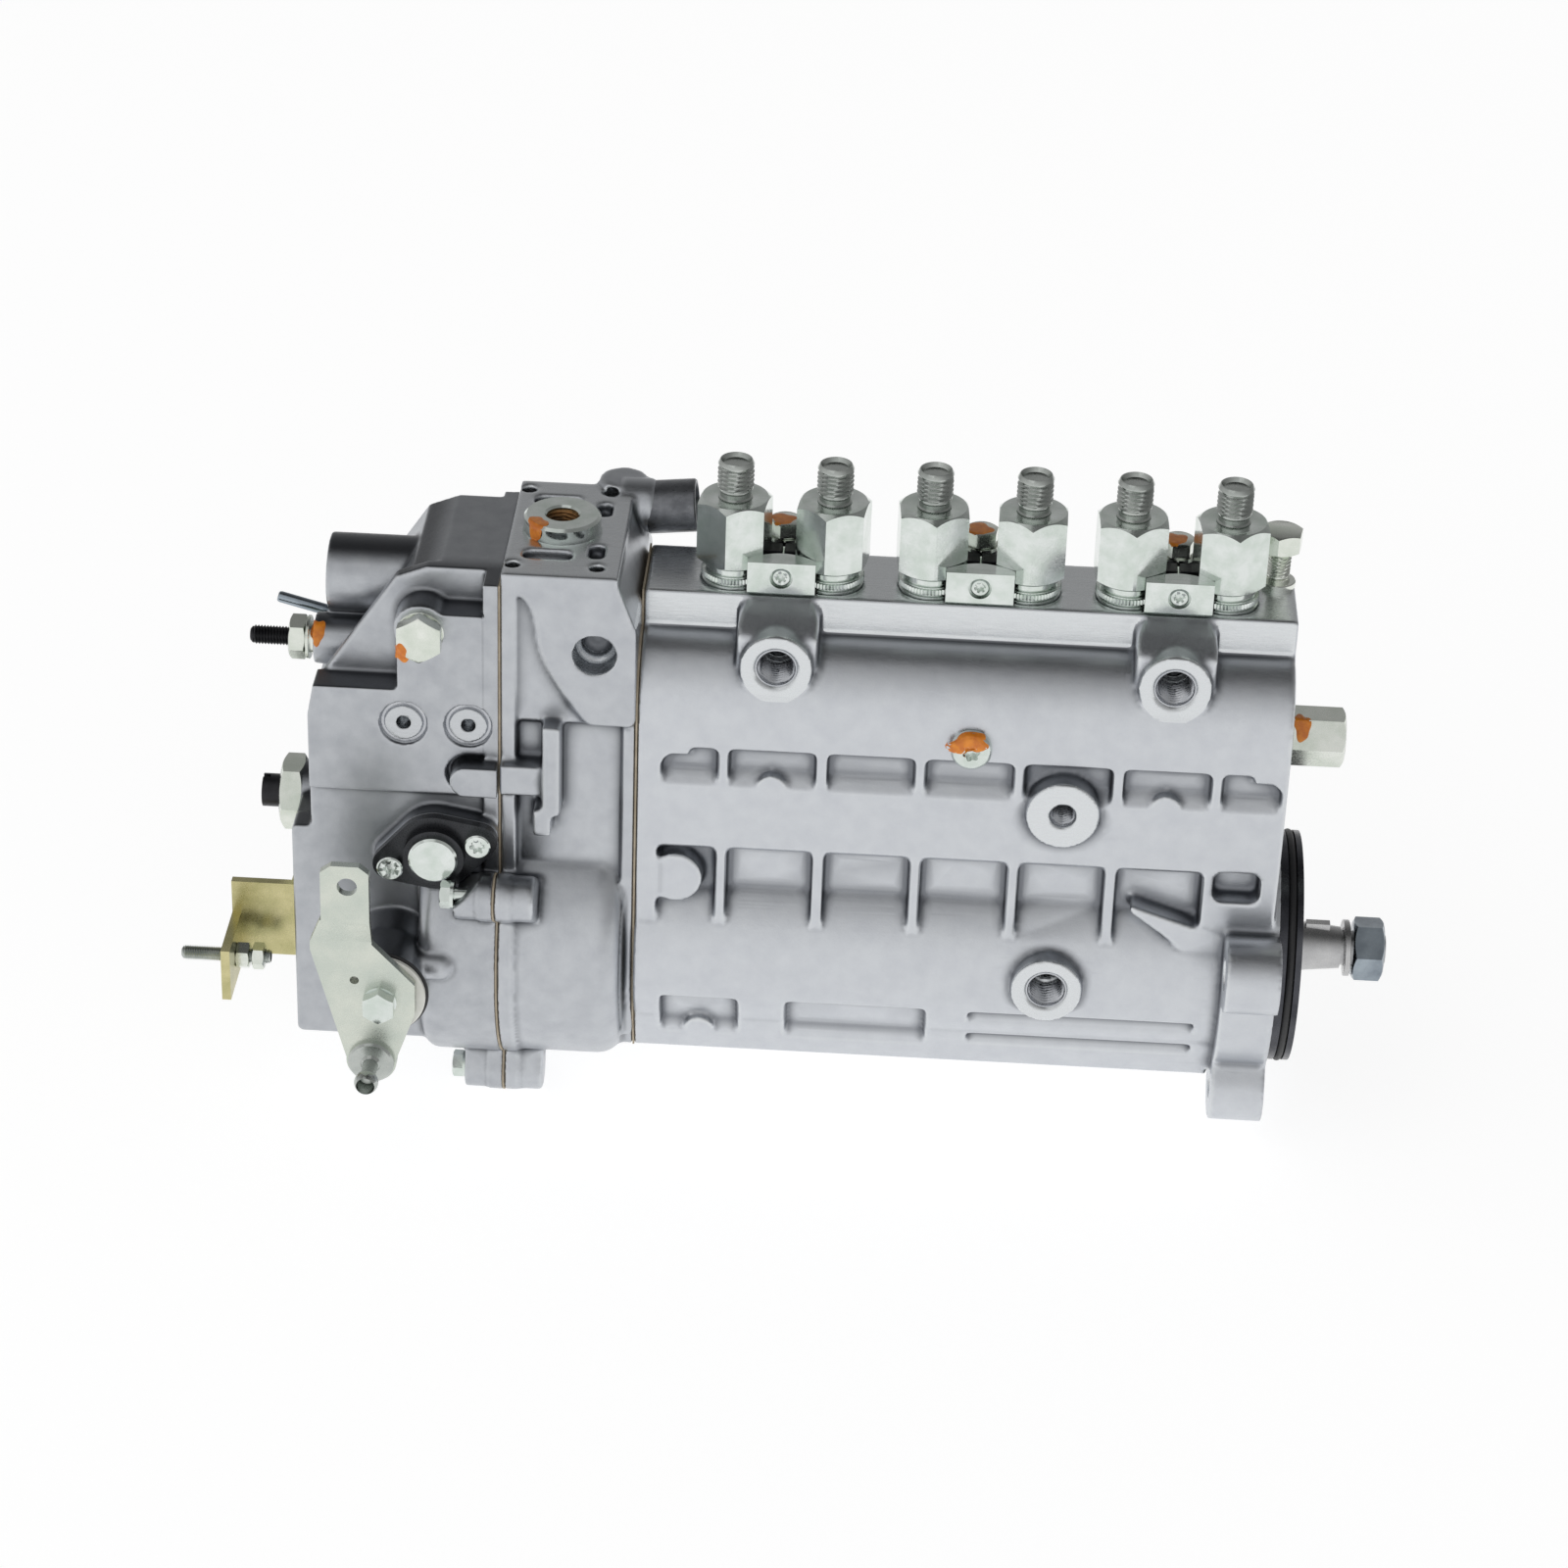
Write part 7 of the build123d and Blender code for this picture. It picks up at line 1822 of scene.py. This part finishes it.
# ---------------------------------------------------------------------------- studio
@dataclass
class Studio:
    """Pale floor, soft light round the object, and the camera."""

    target: Point = (-166.1, 0.0, 52.6)
    distance: float = 1432.0
    elevation: float = 30.24
    yaw: float = 1.85
    roll: float = 2.06
    lens: float = 98.46
    floor_span: float = 9000.0
    floor_colour: float = 0.5
    floor_glow: float = 0.8
    horizon: float = 0.92
    zenith: float = 0.07
    front_share: float = 1.1
    back_share: float = 0.5
    right_share: float = 0.5

    def floor(self) -> None:
        """Lays the floor under the lowest point."""
        half = self.floor_span / 2 * MM
        low = CAD_BOX[0][2]
        middle = Vector(self.target) * MM
        mesh = bpy.data.meshes.new("floor")
        corners = [(-half, -half), (half, -half), (half, half), (-half, half)]
        mesh.from_pydata([(middle.x + x, y, low) for x, y in corners], [], [(0, 1, 2, 3)])
        thing = bpy.data.objects.new("floor", mesh)
        bpy.context.scene.collection.objects.link(thing)
        material = bpy.data.materials.new("pale floor")
        material.use_nodes = True
        nodes, links = material.node_tree.nodes, material.node_tree.links
        nodes.remove(nodes["Principled BSDF"])
        diffuse = nodes.new("ShaderNodeBsdfDiffuse")
        diffuse.inputs["Color"].default_value = (self.floor_colour,) * 3 + (1.0,)
        glow = nodes.new("ShaderNodeEmission")
        glow.inputs["Strength"].default_value = self.floor_glow
        both = nodes.new("ShaderNodeAddShader")
        links.new(diffuse.outputs[0], both.inputs[0])
        links.new(glow.outputs[0], both.inputs[1])
        links.new(both.outputs[0], nodes["Material Output"].inputs["Surface"])
        mesh.materials.append(material)

    def world(self) -> None:
        """Sets the room: white to the camera, bright low down and dimmer overhead to the object."""
        world = bpy.data.worlds.new("room")
        bpy.context.scene.world = world
        world.use_nodes = True
        nodes, links = world.node_tree.nodes, world.node_tree.links

        def link(kind: str, inputs: dict, **settings: object) -> bpy.types.Node:
            """Adds a node.

            Args:
                kind: Type of the node.
                inputs: Value or source socket of each named input.
                settings: Properties of the node.

            Returns:
                The node.
            """
            node = nodes.new(kind)
            for key, value in settings.items():
                setattr(node, key, value)
            for key, value in inputs.items():
                if isinstance(value, bpy.types.NodeSocket):
                    links.new(value, node.inputs[key])
                else:
                    node.inputs[key].default_value = value
            return node

        place = nodes.new("ShaderNodeTexCoord").outputs["Generated"]
        parts = link("ShaderNodeSeparateXYZ", {0: place}).outputs
        square = link("ShaderNodeMath", {0: parts["Z"], 1: parts["Z"]}, operation="MULTIPLY").outputs[0]
        up = link("ShaderNodeMapRange", {"Value": square, "From Min": 0.0, "From Max": 1.0,
                                         "To Min": self.horizon, "To Max": self.zenith}).outputs[0]
        side = link("ShaderNodeMapRange", {"Value": parts["X"], "From Min": 0.15, "From Max": 0.9,
                                           "To Min": 1.0, "To Max": self.right_share}).outputs[0]
        depth = link("ShaderNodeMapRange", {"Value": parts["Y"], "From Min": -0.7, "From Max": 0.6,
                                            "To Min": self.front_share, "To Max": self.back_share}).outputs[0]
        light = link("ShaderNodeMath", {0: up, 1: side}, operation="MULTIPLY").outputs[0]
        light = link("ShaderNodeMath", {0: light, 1: depth}, operation="MULTIPLY").outputs[0]
        ray = nodes.new("ShaderNodeLightPath").outputs["Is Camera Ray"]
        strength = link("ShaderNodeMix", {0: ray, 2: light, 3: 1.0}, data_type="FLOAT").outputs[0]
        links.new(strength, nodes["Background"].inputs["Strength"])
        nodes["Background"].inputs["Color"].default_value = (1.0, 1.0, 1.0, 1.0)

    def lamp(self, name: str, place: Point, size: float, power: float, aim: Point) -> None:
        """Hangs one soft lamp.

        Args:
            name: Name of the lamp.
            place: Where it hangs, in millimetres.
            size: Its side, in millimetres.
            power: Its power in watts.
            aim: Where it points, in millimetres.
        """
        data = bpy.data.lights.new(name, "AREA")
        data.shape = "SQUARE"
        data.size = size * MM
        data.energy = power
        thing = bpy.data.objects.new(name, data)
        bpy.context.scene.collection.objects.link(thing)
        thing.location = Vector(place) * MM
        thing.rotation_euler = (Vector(aim) - Vector(place)).to_track_quat("-Z", "Y").to_euler()

    def camera(self) -> None:
        """Sets the camera."""
        data = bpy.data.cameras.new("camera")
        data.lens = self.lens
        data.sensor_width = 36.0
        data.clip_end = 100.0
        yaw, rise, roll = (math.radians(value) for value in (self.yaw, self.elevation, self.roll))
        back = Vector((math.sin(yaw) * math.cos(rise), -math.cos(yaw) * math.cos(rise), math.sin(rise)))
        right = (-back).cross(Vector((0, 0, 1))).normalized()
        up = right.cross(-back)
        across = right * math.cos(roll) + up * math.sin(roll)
        over = up * math.cos(roll) - right * math.sin(roll)
        matrix = Matrix((across, over, back)).transposed().to_4x4()
        matrix.translation = (Vector(self.target) + back * self.distance) * MM
        thing = bpy.data.objects.new("camera", data)
        bpy.context.scene.collection.objects.link(thing)
        thing.matrix_world = matrix
        bpy.context.scene.camera = thing

    def build(self) -> None:
        """Sets the whole studio."""
        bpy.context.scene.view_settings.view_transform = "Standard"
        self.floor()
        self.world()
        self.lamp("key lamp", (-700.0, -700.0, 1500.0), 1100.0, 1.5, self.target)
        self.camera()


def main() -> None:
    """Builds the pump, sub-assembly by sub-assembly."""
    logging.basicConfig(level=logging.INFO, format="%(name)s: %(message)s")
    assemblies = (PumpHousing(), GovernorHousing(), GovernorCover(), DeliveryRow(), ClampRow(), HeadPlugs(),
                  Openings(), DriveEnd(), TopRing(), StopPlate(), OuterScrews(), GuideScrew(), LeverGroup(),
                  LeftStops(), CableStop(), HiddenWorks(), PaintMarks())
    for assembly in assemblies:
        assembly.build()
    Studio().build()


if __name__ == "__main__":
    main()
